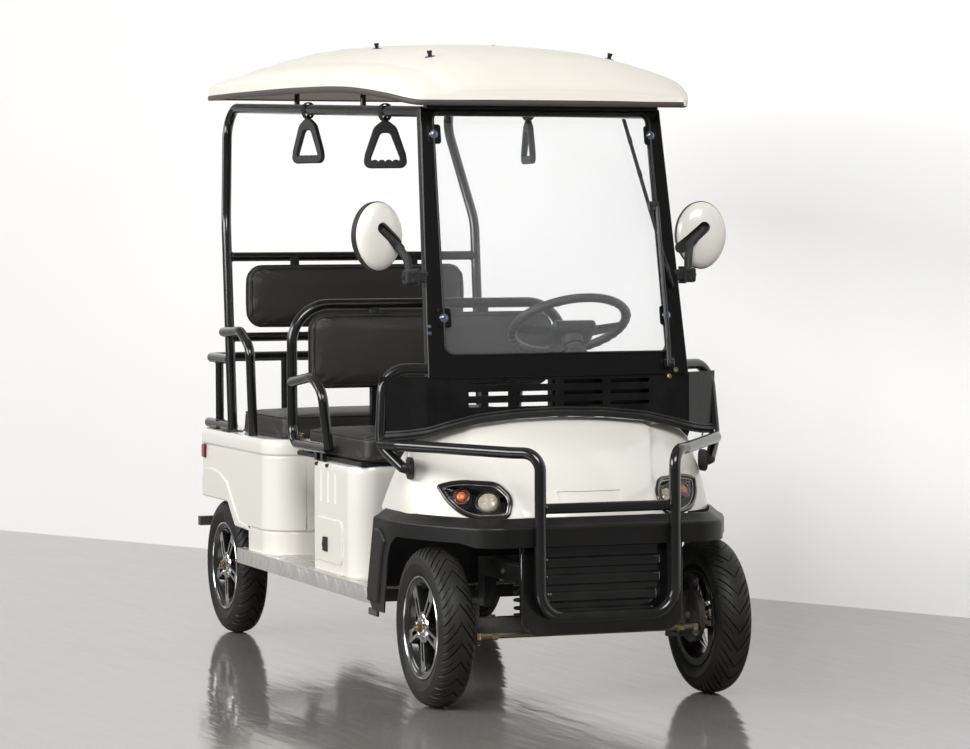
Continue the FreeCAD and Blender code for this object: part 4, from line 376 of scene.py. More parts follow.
def coil(shape, centre, low, high, radius, wire, turns):
    """Spring of round wire."""
    before = set(shape.verts)
    ring = bmesh.ops.create_circle(shape, segments=10, radius=wire, matrix=Matrix.Translation((radius, 0, 0))
                                   @ Matrix.Rotation(math.pi / 2, 4, "X"))["verts"]
    steps = int(turns * 26)
    bmesh.ops.spin(shape, geom=ring + edges_of(ring), cent=(0, 0, 0), axis=(0, 0, 1),
                   dvec=(0, 0, (high - low) / steps), angle=turns * math.tau, steps=steps, use_merge=False)
    made = [vert for vert in shape.verts if vert not in before]
    bmesh.ops.holes_fill(shape, edges=[edge for edge in edges_of(made) if edge.is_boundary])
    bmesh.ops.translate(shape, vec=(centre[0], centre[1], low), verts=made)


REAR_X = -0.945
FRONT_X = 1.015
AXLE_Z = 0.22
SPRING_Y = 0.150
cast_black, *_ = finish("cast_iron_black", (0.018, 0.018, 0.018), 0.55, specular=0.35, Mottle=0.15, Dust=0.3,
                        Grain=1.0, Grain_Scale=260.0, Wear=0.3, Wear_Colour=(0.14, 0.12, 0.10, 1))
shape = bmesh.new()
turned(shape, [(0, -0.449), (0.012, -0.448), (0.012, -0.372), (0.0255, -0.371), (0.026, -0.333)]
       + [(0.026, -0.06), (0.058, -0.056), (0.070, -0.036), (0.072, -0.012), (0.076, -0.010), (0.076, 0.010),
          (0.072, 0.012), (0.070, 0.036), (0.058, 0.056), (0.026, 0.06)]
       + [(0.026, 0.333), (0.0255, 0.371), (0.012, 0.372), (0.012, 0.448), (0, 0.449)], (REAR_X, 0, AXLE_Z))
for side in (1, -1):
    drum = [(0.026, 0.333), (0.070, 0.3335), (0.075, 0.337)] + ribbed(0.338, 0.366, 0.0725, 0.0752, 3) + [
        (0.073, 0.369), (0.060, 0.3705), (0.026, 0.371)]
    turned(shape, [(radius, side * along) for radius, along in drum], (REAR_X, 0, AXLE_Z))
turned(shape, [(0, 0), (0.044, 0.02), (0.044, 0.075), (0.056, 0.080), (0.056, 0.094), (0, 0.095)],
       (REAR_X, 0, AXLE_Z), "X", 48)
for angle in angles(10):
    bolt(shape, (REAR_X + math.cos(angle) * 0.066, -0.037, AXLE_Z + math.sin(angle) * 0.066), (0, -1, 0),
         0.005, 0.004)
settle("rear_axle_casting", shape, cast_black, stands_for=("rear_axle",))
shape = bmesh.new()
motor = ([(0, 0.0), (0.066, 0.0005), (0.070, 0.004), (0.070, 0.018)]
         + ribbed(0.020, 0.118, 0.0655, 0.0698, 12, 0.4)
         + [(0.070, 0.122), (0.070, 0.134), (0.064, 0.1395), (0.020, 0.14), (0, 0.14)])
turned(shape, motor, (REAR_X + 0.095, 0, AXLE_Z), "X", 64)
for angle in angles(4, 0.5):
    bolt(shape, (REAR_X + 0.2335, math.cos(angle) * 0.055, AXLE_Z + math.sin(angle) * 0.055), (1, 0, 0),
         0.005, 0.0012)
motor_grey, *_ = finish("motor_casting", (0.05, 0.05, 0.052), 0.42, metallic=0.6, Mottle=0.1, Dust=0.25,
                        Grain=0.6)
settle("finned_motor", shape, motor_grey, stands_for=("drive_motor",))

shape = bmesh.new()
for along, low in ((FRONT_X, 0.246), (REAR_X, 0.254)):
    for side in (1, -1):
        over = side * SPRING_Y
        coil(shape, (along, over), low, 0.322, 0.0225, 0.0048, 3.4)
        rod(shape, (along, over, low - 0.005), (along, over, low - 0.001), 0.0275, 28)
        rod(shape, (along, over, 0.324), (along, over, 0.3295), 0.0275, 28)
        rod(shape, (along, over, low - 0.002), (along, over, 0.326), 0.010, 20)
spring_paint, *_ = finish("spring_enamel", (0.03, 0.03, 0.032), 0.3, Dust=0.2, Wear=0.3)
settle("coil_springs", shape, spring_paint, stands_for=("suspension_springs",))

battery_case, *_ = finish("battery_case", (0.045, 0.045, 0.048), 0.5, Dust=0.4, Grain=0.8, Mottle=0.1)
shape = copy_of("battery_block", 0.006, segments=3)
settle("battery_pack", shape, battery_case, stands_for=("battery_block",))

# ---- Wheels ----
# Black rubber tyres with a V-shaped block tread and ribbed sidewalls, on alloy rims painted black, whose lips
# and twin spokes are turned bright. Each hub is chromed, with five bolts and a brass axle nut.

WHEEL_Y = 0.409
SPOKES = 5
TREAD_PITCHES = 26
TREAD_TURN = math.tau / TREAD_PITCHES
# share of one pitch, depth of the V groove there, depth of the shoulder's short cut there
TREAD_COLUMNS = (
    (0.0, 0, 0), (0.02, 1, 0), (0.13, 1, 0), (0.15, 0, 0), (0.22, 0, 0), (0.32, 0, 0), (0.42, 0, 0),
    (0.50, 0, 0), (0.52, 0, 1), (0.59, 0, 1), (0.61, 0, 0), (0.70, 0, 0), (0.80, 0, 0), (0.90, 0, 0),
    (1.0, 0, 0),
)
# radius, distance from the middle, share of the V groove, share of the shoulder's cut
TYRE_SECTION = (
    (0.2200, 0.0000, 0.55, 0), (0.2199, 0.0060, 0.75, 0), (0.2192, 0.0130, 1, 0), (0.2182, 0.0185, 1, 0),
    (0.2176, 0.0200, 1, 1), (0.2150, 0.0275, 1, 1), (0.2110, 0.0345, 1, 1), (0.2060, 0.0400, 0.9, 0.9),
    (0.1990, 0.0445, 0.6, 0.5), (0.1940, 0.0468, 0, 0), (0.1860, 0.0490, 0, 0), (0.1780, 0.0499, 0, 0),
    (0.1760, 0.0510, 0, 0), (0.1735, 0.0510, 0, 0), (0.1715, 0.0499, 0, 0), (0.1630, 0.0488, 0, 0),
    (0.1540, 0.0460, 0, 0), (0.1480, 0.0425, 0, 0), (0.1455, 0.0415, 0, 0), (0.1440, 0.0395, 0, 0),
    (0.1380, 0.0386, 0, 0), (0.1280, 0.0384, 0, 0),
)
GROOVE = 0.0064
V_SWEEP = 1.15
TYRE_ROWS = len(TYRE_SECTION) - 1

tyre_rubber, *_ = finish("tyre_rubber", (0.0105, 0.0098, 0.0092), 0.50, specular=0.34, Mottle=0.12,
                         Mottle_Scale=9.0, Dust=0.20, Dust_Colour=(0.085, 0.078, 0.07, 1), Grain=1.0,
                         Grain_Scale=700.0, Wear=0.15, Wear_Colour=(0.045, 0.042, 0.04, 1), bump=0.0004)
rim_black, *_ = finish("rim_black", (0.006, 0.006, 0.006), 0.22, coat=0.4, Dust=0.08,
                       Dust_Colour=(0.12, 0.11, 0.10, 1), Wear=0.1, Wear_Colour=(0.05, 0.05, 0.05, 1))
turned_alloy, *_ = finish("turned_alloy", (0.74, 0.74, 0.75), 0.16, metallic=1.0, Mottle=0.04, Dust=0.05,
                          Wear=0.0, Roughness_Spread=0.12)
chrome, *_ = finish("hub_chrome", (0.80, 0.80, 0.81), 0.08, metallic=1.0, Mottle=0.02, Dust=0.04, Wear=0.0)
brass, *_ = finish("brass_nut", (0.52, 0.40, 0.22), 0.24, metallic=1.0, Mottle=0.15, Dust=0.08, Wear=0.0)


def swing(degrees, axis):
    """Turn about a main axis."""
    return Matrix.Rotation(math.radians(degrees), 4, axis)


def tyre_shape():
    """Tread and sidewalls of one pitch, repeated about the Y axis."""
    shape = bmesh.new()
    bmesh.ops.create_grid(shape, x_segments=len(TREAD_COLUMNS) - 1, y_segments=2 * TYRE_ROWS, size=0.5)
    for vert in shape.verts:
        column = round((vert.co.x + 0.5) * (len(TREAD_COLUMNS) - 1))
        row = round(vert.co.y * 2 * TYRE_ROWS)
        share, groove, cut = TREAD_COLUMNS[column]
        radius, across, has_groove, has_cut = TYRE_SECTION[abs(row)]
        radius -= GROOVE * max(groove * has_groove, 0.6 * cut * has_cut)
        turn = share * TREAD_TURN - V_SWEEP * TREAD_TURN * min(across, 0.045) / 0.045
        side = 1 if row > 0 else -1
        vert.co = Vector((math.sin(turn) * radius, side * across if row else 0.0, math.cos(turn) * radius))
    bmesh.ops.spin(shape, geom=shape.verts[:] + shape.edges[:] + shape.faces[:], cent=(0, 0, 0),
                   axis=(0, 1, 0), angle=TREAD_TURN * (TREAD_PITCHES - 1), steps=TREAD_PITCHES - 1,
                   use_duplicate=True)
    bmesh.ops.remove_doubles(shape, verts=shape.verts, dist=1e-5)
    bmesh.ops.bridge_loops(shape, edges=[edge for edge in shape.edges if edge.is_boundary])
    return shape


def tint(shape, before, slot):
    """Move the faces that weren't there before to a material slot; returns the faces there are now."""
    for face in shape.faces:
        if face not in before:
            face.material_index = slot
    return set(shape.faces)


def rim_shape():
    """Barrel, twin spokes, hub, bolts and axle nut, in four slots: black, bright, chrome and brass."""
    shape = bmesh.new()
    turned(shape, [
        (0.121, -0.043), (0.1225, -0.044), (0.1415, -0.044), (0.1430, -0.0425), (0.1430, -0.0400),
        (0.1275, -0.0385), (0.1270, -0.0370), (0.1130, -0.030), (0.1130, 0.020), (0.1270, 0.0370),
        (0.1275, 0.0385), (0.1430, 0.0400), (0.1430, 0.0425), (0.1415, 0.0440), (0.1385, 0.0445),
        (0.1370, 0.0430), (0.1340, 0.0400), (0.1290, 0.0385), (0.1225, 0.0350), (0.1200, 0.030),
        (0.1080, 0.018), (0.1080, -0.028), (0.1190, -0.038), (0.121, -0.043),
    ], steps=96)
    for face in shape.faces:
        middle = face.calc_center_median()
        if middle.y > 0.0430 and math.hypot(middle.x, middle.z) > 0.1352:
            face.material_index = 1
    before = set(shape.faces)
    for turn in angles(SPOKES, 0.5):
        for lean in (1, -1):
            made = bmesh.ops.create_cube(shape, size=1)["verts"]
            for vert in made:
                outer = vert.co.z > 0
                front = vert.co.y > 0
                half = 0.0066 if outer else 0.0056
                middle = lean * (0.0125 if outer else 0.0095)
                level = (0.0345 if outer else 0.0385) if front else (0.010 if outer else 0.004)
                vert.co = Vector((middle + math.copysign(half * (1.0 if front else 1.25), vert.co.x), level,
                                  0.1185 if outer else 0.030))
            eased = ease(shape, 0.0022, edges=edges_of(made))["verts"]
            bmesh.ops.rotate(shape, cent=(0, 0, 0), matrix=Matrix.Rotation(turn, 3, "Y"), verts=eased)
    for face in shape.faces:
        if face not in before and face.normal.y > 0.93:
            face.material_index = 1
    before = set(shape.faces)
    for turn in angles(SPOKES, 0.5):
        place = Matrix.Rotation(turn, 3, "Y") @ Vector((0, 0, 0.112))
        rod(shape, (place.x, 0.012, place.z), (place.x, 0.0352, place.z), 0.0185, 24)
    before = tint(shape, before, 1)
    turned(shape, [(0.0122, -0.030), (0.040, -0.030), (0.040, 0.012), (0.044, 0.014), (0.044, 0.034),
                   (0.0405, 0.0385), (0.033, 0.0415), (0.0245, 0.042), (0.0235, 0.0445), (0.0225, 0.0445),
                   (0.022, 0.042), (0.0122, 0.042), (0.0122, -0.030)], steps=48)
    for turn in angles(SPOKES):
        bolt(shape, (math.sin(turn) * 0.031, 0.0405, math.cos(turn) * 0.031), (0, 1, 0), 0.0052, 0.005, 1.35)
    before = tint(shape, before, 2)
    rod(shape, (0, 0.041, 0), (0, 0.0445, 0), 0.0165, 28)
    rod(shape, (0, 0.0445, 0), (0, 0.0530, 0), 0.0118, 6)
    rod(shape, (0, 0.0530, 0), (0, 0.0540, 0), 0.0118, 6, 0.0106)
    rod(shape, (0, 0.0540, 0), (0, 0.0598, 0), 0.0068, 20)
    turned(shape, [(0.108, 0.004), (0.1085, 0.006), (0.1085, 0.008), (0.108, 0.010)], steps=8)
    tint(shape, before, 3)
    return shape


for place, along in (("front", FRONT_X), ("rear", REAR_X)):
    for hand, side in (("left", 1), ("right", -1)):
        hub = Matrix.Translation((along, side * WHEEL_Y, AXLE_Z)) @ swing(0 if side > 0 else 180, "Z")
        body = f"wheel_{place}_{hand}"
        shape = tyre_shape()
        shape.transform(hub)
        settle(f"treaded_tyre_{place}_{hand}", shape, tyre_rubber, body, 38,
               (f"tyre_{place}_{hand}",))
        shape = rim_shape()
        shape.transform(hub)
        settle(f"alloy_rim_{place}_{hand}", shape, (rim_black, turned_alloy, chrome, brass), body, 35,
               (f"rim_{place}_{hand}",))

# ---- Front axle and steering links ----
# A square beam with forked ends carries cast knuckles on kingpins, with finned brake drums. A tie rod with
# brass joints couples the two steering arms.

KINGPIN_Y = 0.325
ARM_X = FRONT_X + 0.110
shape = copy_of("front_axle", 0.0035, segments=3)
for side in (1, -1):
    bolt(shape, (FRONT_X, side * 0.240, AXLE_Z + 0.02), (0, 0, 1), 0.008, 0.006)
    for along in (FRONT_X - 0.0144, FRONT_X + 0.0144):
        rod(shape, (along, side * SPRING_Y, AXLE_Z - 0.026),
            (along, side * SPRING_Y, AXLE_Z - 0.0199), 0.006, 6)
settle("front_axle_beam", shape, satin_black, stands_for=("front_axle",))
for hand, side in (("left", 1), ("right", -1)):
    shape = bmesh.new()
    kingpin = Vector((FRONT_X, side * KINGPIN_Y, AXLE_Z))
    turned(shape, [(0, -0.0449), (0.0155, -0.0449), (0.017, -0.043), (0.017, -0.030), (0.0155, -0.028),
                   (0.0155, 0.028), (0.017, 0.030), (0.017, 0.043), (0.0155, 0.0449), (0, 0.0449)],
           kingpin, "Z", 32)
    turned(shape, [(0, 0.0), (0.0115, 0.0), (0.0115, side * 0.123), (0, side * 0.124)], kingpin, "Y", 24)
    drum = [(0.012, 0.0236), (0.069, 0.0238), (0.0735, 0.026)] + ribbed(0.027, 0.043, 0.0722, 0.0748, 2) + [
        (0.0735, 0.0445), (0.060, 0.0458), (0.012, 0.0459)]
    turned(shape, [(radius, side * reach) for radius, reach in drum], kingpin, "Y", 64)
    arm = bmesh.ops.create_cube(shape, size=1, matrix=Matrix.Translation((FRONT_X + 0.055, kingpin.y, 0.186))
                                @ Matrix.Diagonal((0.110, 0.024, 0.0115, 1)))["verts"]
    ease(shape, 0.003, edges=edges_of(arm))
    rod(shape, (ARM_X, kingpin.y, 0.1801), (ARM_X, kingpin.y, 0.1919), 0.0138, 32)
    before = set(shape.faces)
    rod(shape, kingpin + Vector((0, 0, -0.0563)), kingpin + Vector((0, 0, -0.0566)), 0.009, 20)
    rod(shape, kingpin + Vector((0, 0, 0.0455)), kingpin + Vector((0, 0, 0.0568)), 0.0078, 20)
    rod(shape, kingpin + Vector((0, 0, -0.0568)), kingpin + Vector((0, 0, -0.0455)), 0.0078, 20)
    tint(shape, before, 1)
    settle(f"cast_knuckle_{hand}", shape, (cast_black, brass), f"knuckle_{hand}",
           stands_for=(f"knuckle_{hand}",))
shape = copy_of("tie_rod", 0.0008)
for side in (1, -1):
    rod(shape, (ARM_X, side * 0.285, 0.2), (ARM_X, side * 0.267, 0.2), 0.0112, 6)
for face in shape.faces:
    if abs(abs(face.calc_center_median().y) - KINGPIN_Y) < 0.06:
        face.material_index = 1
link_bronze, *_ = finish("passivated_link", (0.26, 0.20, 0.13), 0.36, metallic=0.9, Mottle=0.2, Dust=0.2,
                         Wear=0.2, Wear_Colour=(0.4, 0.36, 0.28, 1))
settle("tie_rod_and_joints", shape, (link_bronze, brass), "tie_rod", stands_for=("tie_rod",))

# ---- Floor plate ----
# Aluminium chequer plate folded down at both sides and screwed to the outriggers. Its raised lozenges stand
# in alternating directions on the top and on the folded edges.


def lozenge(shape, place, foot, top, height):
    """Four-sided raised mark with sloping flanks."""
    bmesh.ops.create_cone(shape, cap_ends=True, segments=4, radius1=foot, radius2=top, depth=height,
                          matrix=place)


plate_metal, *_ = finish("chequer_aluminium", (0.70, 0.685, 0.655), 0.36, metallic=0.70, Mottle=0.10,
                         Mottle_Scale=7.0, Dust=0.22, Dust_Colour=(0.50, 0.48, 0.45, 1), Wear=0.3,
                         Wear_Colour=(0.85, 0.85, 0.85, 1), Grain=0.5, Grain_Scale=600.0,
                         Roughness_Spread=0.25)
LOZENGE_PITCH = 0.030
FLANGE_PITCH = 0.0465
FLANGE_LEAN = 40
settle("floor_sheet", copy_of("floor_plate", 0.0018), plate_metal, stands_for=("floor_plate",))
shape = bmesh.new()
for row in range(46):
    along = -0.675 + row * LOZENGE_PITCH
    for column in range(31):
        across = (column - 15) * LOZENGE_PITCH
        inside_rear = along < -0.357 and abs(across) < 0.480
        inside_box = 0.012 < along < 0.448 and abs(across) < 0.468
        if inside_rear or inside_box or along > 0.64 and abs(across) > 0.40:
            continue
        lean = 45 if (row + column) % 2 else -45
        place = (Matrix.Translation((along, across, 0.30045)) @ swing(lean, "Z")
                 @ Matrix.Diagonal((1.0, 0.30, 1, 1)))
        lozenge(shape, place, 0.0150, 0.0112, 0.0015)
for bar in range(28):
    for side in (1, -1):
        lean = FLANGE_LEAN if bar % 2 else -FLANGE_LEAN
        place = (Matrix.Translation((-0.635 + bar * FLANGE_PITCH, side * 0.48045, 0.2755))
                 @ swing(90, "X") @ swing(lean, "Z") @ Matrix.Diagonal((0.66, 1.0, -side, 1)))
        lozenge(shape, place, 0.0290, 0.0215, 0.0026)
for along in (-0.68, -0.36, 0.02, 0.34, 0.665):
    for side in (1, -1):
        rod(shape, (along, side * 0.455, 0.3), (along, side * 0.455, 0.3018), 0.0075, 20, 0.006)
settle("floor_lozenges", shape, plate_metal)

# ---- Toe board, pedals and steering column ----
# Ribbed black moulding that slopes up behind the cowl, two hanging pedals with grooved rubber pads, and a
# painted column tube with a clamp, a rubber boot and a key switch.


def block(shape, low, high, width=0.0, segments=2):
    """Box between two corners, its edges eased."""
    size = Vector(high) - Vector(low)
    place = Matrix.Translation((Vector(high) + Vector(low)) / 2) @ Matrix.Diagonal((*size, 1))
    made = bmesh.ops.create_cube(shape, size=1, matrix=place)["verts"]
    if width:
        made = ease(shape, width, segments=segments, edges=edges_of(made))["verts"]
    return made


grained_black, *_ = finish("grained_black_plastic", (0.020, 0.020, 0.021), 0.5, specular=0.35, Mottle=0.08,
                           Dust=0.18, Grain=1.0, Grain_Scale=520.0, Wear=0.1,
                           Wear_Colour=(0.06, 0.06, 0.06, 1), bump=0.0005)
shape = copy_of("toe_board", 0.0015)
TOE_FOOT = Vector((0.672, 0, 0.530))
TOE_HEAD = Vector((0.845, 0, 0.742))
RIB_PITCH = 0.095
slope = (TOE_HEAD - TOE_FOOT).normalized()
back = Vector((-slope.z, 0, slope.x))
lean = Matrix.Rotation(-math.atan2(slope.z, slope.x), 4, "Y")
for rib in range(-4, 5):
    foot = TOE_FOOT + Vector((0, rib * RIB_PITCH, 0)) + slope * 0.03 + back * 0.0005
    made = block(shape, (0, -0.012, 0), (0.205, 0.012, 0.004), 0.0015)
    bmesh.ops.transform(shape, matrix=Matrix.Translation(foot) @ lean, verts=made)
settle("toe_moulding", shape, grained_black, stands_for=("toe_board",))

pedal_rubber, *_ = finish("pedal_rubber", (0.02, 0.02, 0.02), 0.7, Dust=0.3, Wear=0.3, Grain=0.8)
shape = bmesh.new()
for middle in (0.130, 0.280):
    block(shape, (0.617, middle - 0.031, 0.352), (0.624, middle + 0.031, 0.429), 0.0025)
    for groove in range(6):
        low = 0.358 + groove * 0.0118
        block(shape, (0.6152, middle - 0.027, low), (0.6175, middle + 0.027, low + 0.007), 0.0009, 1)
    block(shape, (0.623, middle - 0.0075, 0.3805), (0.660, middle + 0.0075, 0.3955), 0.002)
settle("grooved_pedals", shape, pedal_rubber, stands_for=("pedals",))

HAND = Matrix.Translation((0.445, 0.215, 1.029)) @ swing(-29, "Y")
shape = bmesh.new()
turned(shape, [(0, -0.70), (0.019, -0.70), (0.020, -0.699), (0.020, -0.075), (0.0235, -0.074),
               (0.0235, -0.0695), (0.0145, -0.0685), (0.0145, -0.068), (0, -0.068)], (0, 0, 0), "Z", 40)
block(shape, (-0.034, -0.030, -0.15), (0.030, 0.030, -0.085), 0.009, 4)
block(shape, (-0.012, -0.046, -0.128), (0.012, 0.046, -0.104), 0.004)
rod(shape, (-0.005, 0.044, -0.116), (-0.012, 0.135, -0.098), 0.0042, 12, 0.0036)
rod(shape, (-0.012, 0.133, -0.0985), (-0.0135, 0.155, -0.094), 0.0085, 20, 0.0075)
boot = [(0.020, -0.475), (0.034, -0.477)] + ribbed(-0.475, -0.425, 0.026, 0.033, 5) + [(0.0202, -0.420)]
turned(shape, boot, (0, 0, 0), "Z", 40)
shape.transform(HAND)
settle("column_and_stalk", shape, satin_black, stands_for=("steering_column",))

# ---- Steering wheel ----
# Foam-skinned steel rim with thumb grips, three flat spokes and a padded horn button, all in black soft-touch
# moulding, pressed on a splined shaft.

wheel_skin, *_ = finish("soft_touch_black", (0.012, 0.012, 0.012), 0.42, specular=0.4, Grain=1.2,
                        Grain_Scale=900.0, Dust=0.08, Mottle=0.05)
STEERING_RADIUS = 0.171
GRIP_RADIUS = 0.0138
shape = bmesh.new()
ring = bmesh.ops.create_circle(shape, segments=20, radius=GRIP_RADIUS,
                               matrix=Matrix.Translation((STEERING_RADIUS, 0, 0)) @ swing(90, "X"))["verts"]
bmesh.ops.spin(shape, geom=ring + edges_of(ring), cent=(0, 0, 0), axis=(0, 0, 1), angle=math.tau, steps=144,
               use_merge=True)
bmesh.ops.remove_doubles(shape, verts=shape.verts, dist=1e-6)
for vert in shape.verts:
    turn = math.atan2(vert.co.y, vert.co.x)
    middle = Vector((math.cos(turn), math.sin(turn), 0)) * STEERING_RADIUS
    away = vert.co - middle
    waved = away.z < 0.004 and abs(math.sin(turn)) > 0.45
    waves = 0.0010 * math.cos(turn * 36) if waved else 0
    swell = 1 + 0.10 * math.exp(-((abs(turn) - 1.15) / 0.16) ** 2)
    vert.co = middle + away * (swell * 0.96) + away.normalized() * waves
for turn in (math.pi / 2, -math.pi / 2, math.pi):
    made = bmesh.ops.create_cube(shape, size=1)["verts"]
    fresh = ease(shape, 0.16, segments=3, edges=edges_of(made))["verts"]
    for vert in fresh:
        share = vert.co.x + 0.5
        half = 0.031 - 0.011 * share if turn < 3 else 0.027 - 0.009 * share
        level = -0.026 + 0.022 * share ** 1.6
        vert.co = Vector((0.020 + 0.142 * share, vert.co.y * 2 * half, level + vert.co.z * 0.011))
    bmesh.ops.rotate(shape, cent=(0, 0, 0), matrix=Matrix.Rotation(turn, 3, "Z"), verts=fresh)
made = block(shape, (-0.060, -0.078, -0.040), (0.052, 0.078, -0.006), 0.014, 4)
for vert in made:
    if vert.co.x > 0:
        vert.co.y *= 0.86
    vert.co.z += 0.004 * math.cos(vert.co.x * 28) * math.cos(vert.co.y * 24) if vert.co.z > -0.02 else 0
turned(shape, [(0, -0.139), (0.0118, -0.139), (0.0118, -0.068), (0.030, -0.064), (0.033, -0.052),
               (0.031, -0.034), (0, -0.030)], (0, 0, 0), "Z", 40)
shape.transform(HAND)
settle("steering_wheel_moulding", shape, wheel_skin, "steering_wheel", 50, ("steering_wheel",))

# ---- Rear body and front seat box ----
# Two glossy white mouldings with rounded upright corners. Panel seams are open grooves; the wheel arch has a
# raised brow, and the seat box a battery door, three flutes and a charging socket.


def verts_in(geometry):
    """The points among an operator's results."""
    return [item for item in geometry if isinstance(item, bmesh.types.BMVert)]


def round_corner(shape, vert, radius, segments):
    """Turn one corner of a flat outline into an arc."""
    bmesh.ops.bevel(shape, geom=[vert], offset=radius, offset_type="OFFSET", segments=segments, profile=0.5,
                    affect="VERTICES", clamp_overlap=True, material=-1)


def tower(shape, plan, levels):
    """Upright shell over a plan of (x, y, corner radius), raised through levels of (height, inset)."""
    verts = [shape.verts.new((x, y, levels[0][0])) for x, y, radius in plan]
    base = shape.faces.new(verts)
    for vert, (x, y, radius) in zip(verts, plan):
        if radius:
            round_corner(shape, vert, radius, 12)
    base = next(face for face in shape.faces if abs(face.calc_center_median().z - levels[0][0]) < 1e-6)
    if base.normal.z < 0:
        base.normal_flip()
    ring = list(base.verts)
    edges = list(base.edges)
    outward = {}
    for before, vert, after in zip(ring[-1:] + ring[:-1], ring, ring[1:] + ring[:1]):
        one = (vert.co - before.co).normalized()
        two = (after.co - vert.co).normalized()
        side = Vector((one.y, -one.x, 0))
        normal = (side + Vector((two.y, -two.x, 0))).normalized()
        outward[vert] = (vert.co.copy(), normal / max(0.3, normal.dot(side)))
    bmesh.ops.delete(shape, geom=[base], context="FACES_ONLY")
    for level, inset in levels:
        fresh = bmesh.ops.extrude_edge_only(shape, edges=edges)["geom"]
        edges = [item for item in fresh if isinstance(item, bmesh.types.BMEdge)
                 and all(vert not in outward for vert in item.verts)]
        moved = {}
        for vert in verts_in(fresh):
            neighbours = [edge.other_vert(vert) for edge in vert.link_edges]
            moved[vert] = outward[next(other for other in neighbours if other in outward)]
        for vert, (spot, normal) in moved.items():
            vert.co = spot - normal * inset
            vert.co.z = level
        outward = moved
    bmesh.ops.contextual_create(shape, geom=edges)


def raise_faces(shape, faces, move):
    """Extrude faces by a move and keep the first ones; returns the new points."""
    top = verts_in(bmesh.ops.extrude_face_region(shape, geom=faces, use_keep_orig=True)["geom"])
    bmesh.ops.translate(shape, vec=move, verts=top)
    return top


def prism(shape, outline, low, high, axis="Y"):
    """Prism from an outline, raised along a main axis; on Y the outline is (x, z), on X (y, z)."""
    spots = [(a, low, b) if axis == "Y" else (low, a, b) for a, b in outline]
    face = shape.faces.new([shape.verts.new(spot) for spot in spots])
    return list(face.verts) + raise_faces(shape, [face], Vector(AXES[axis]) * (high - low))


def carved(name, shape, tools=None, wall=0.0, subdivide=0, operation="DIFFERENCE"):
    """Bmesh of a shape after its own subdivision, wall thickness and cuts are made."""
    bmesh.ops.remove_doubles(shape, verts=shape.verts, dist=1e-6)
    bmesh.ops.recalc_face_normals(shape, faces=shape.faces)
    rough = link(name + "_rough", mesh_of(name, shape))
    if subdivide:
        rough.modifiers.new("smooth", "SUBSURF").levels = subdivide
    if wall:
        thick = rough.modifiers.new("wall", "SOLIDIFY")
        thick.thickness = wall
        thick.offset = -1
    if tools:
        bmesh.ops.recalc_face_normals(tools, faces=tools.faces)
        tool = link(name + "_tool", mesh_of(name + "_tool", tools))
        cutting = rough.modifiers.new("cut", "BOOLEAN")
        cutting.object = tool
        cutting.solver = "EXACT"
        cutting.operation = operation
    bpy.context.view_layer.update()
    done = bmesh.new()
    final = rough.evaluated_get(bpy.context.evaluated_depsgraph_get())
    done.from_mesh(final.to_mesh())
    final.to_mesh_clear()
    bpy.data.objects.remove(rough)
    if tools:
        bpy.data.objects.remove(tool)
    return done


def mirrored(shape):
    """Add the mirror image on the cart's other side."""
    bmesh.ops.mirror(shape, geom=shape.verts[:] + shape.edges[:] + shape.faces[:], matrix=Matrix.Identity(4),
                     merge_dist=-1, axis="Y")


gloss_white, *_ = finish("glossy_white_moulding", (0.80, 0.78, 0.71), 0.22, coat=0.45, Mottle=0.012,
                         Mottle_Scale=2.0, Dust=0.05, Dust_Colour=(0.62, 0.58, 0.50, 1), Grain=0.25,
                         Grain_Scale=90.0, Wear=0.12, Wear_Colour=(0.88, 0.87, 0.84, 1),
                         Roughness_Spread=0.06, bump=0.0004)
BODY_WALL = 0.0042
# x, y, corner radius
REAR_PLAN = [(-1.215, -0.465, 0.060), (-0.375, -0.465, 0.110), (-0.375, 0.465, 0.110), (-1.215, 0.465, 0.060)]
# height, inset; the two dips are the open seams
REAR_LEVELS = [
    (0.3005, 0.004), (0.364, 0.0035), (0.3665, 0.0048), (0.3685, 0.0085), (0.3725, 0.0085), (0.3745, 0.0020),
    (0.3775, 0.0), (0.480, 0.0012), (0.600, 0.0035), (0.6035, 0.0050), (0.6085, 0.0050), (0.6135, 0.0005),
    (0.618, -0.0008), (0.640, 0.0), (0.652, 0.003), (0.659, 0.009), (0.6618, 0.018),
]
shape = bmesh.new()
tower(shape, REAR_PLAN, REAR_LEVELS)
cuts = bmesh.new()
arch = [(-1.30, 0.25), (-1.30, 0.436), (-0.852, 0.436), (-0.764, 0.362), (-0.627, 0.360), (-0.627, 0.25)]
prism(cuts, arch, -0.6, 0.6)
for side in (1, -1):
    block(cuts, (-0.3795, side * 0.345 - 0.0015, 0.372), (-0.360, side * 0.345 + 0.0015, 0.600))
rear = carved("rear_body_shell", shape, cuts, wall=BODY_WALL)
ease(rear, 0.0014, 50)
settle("rear_body_shell", rear, gloss_white, smooth=32, stands_for=("rear_body",))
shape = bmesh.new()
brow = [(-1.154, 0.438), (-0.852, 0.438), (-0.764, 0.364), (-0.629, 0.362), (-0.629, 0.376), (-0.722, 0.384),
        (-0.782, 0.432), (-0.862, 0.500), (-0.960, 0.528), (-1.050, 0.536), (-1.120, 0.530), (-1.154, 0.505)]
prism(shape, brow, 0.4600, 0.4684)
top_edges = [edge for edge in shape.edges if all(vert.co.y > 0.468 for vert in edge.verts)]
ease(shape, 0.0050, edges=top_edges, segments=4)
mirrored(shape)
settle("wheel_arch_brows", shape, gloss_white, smooth=40)

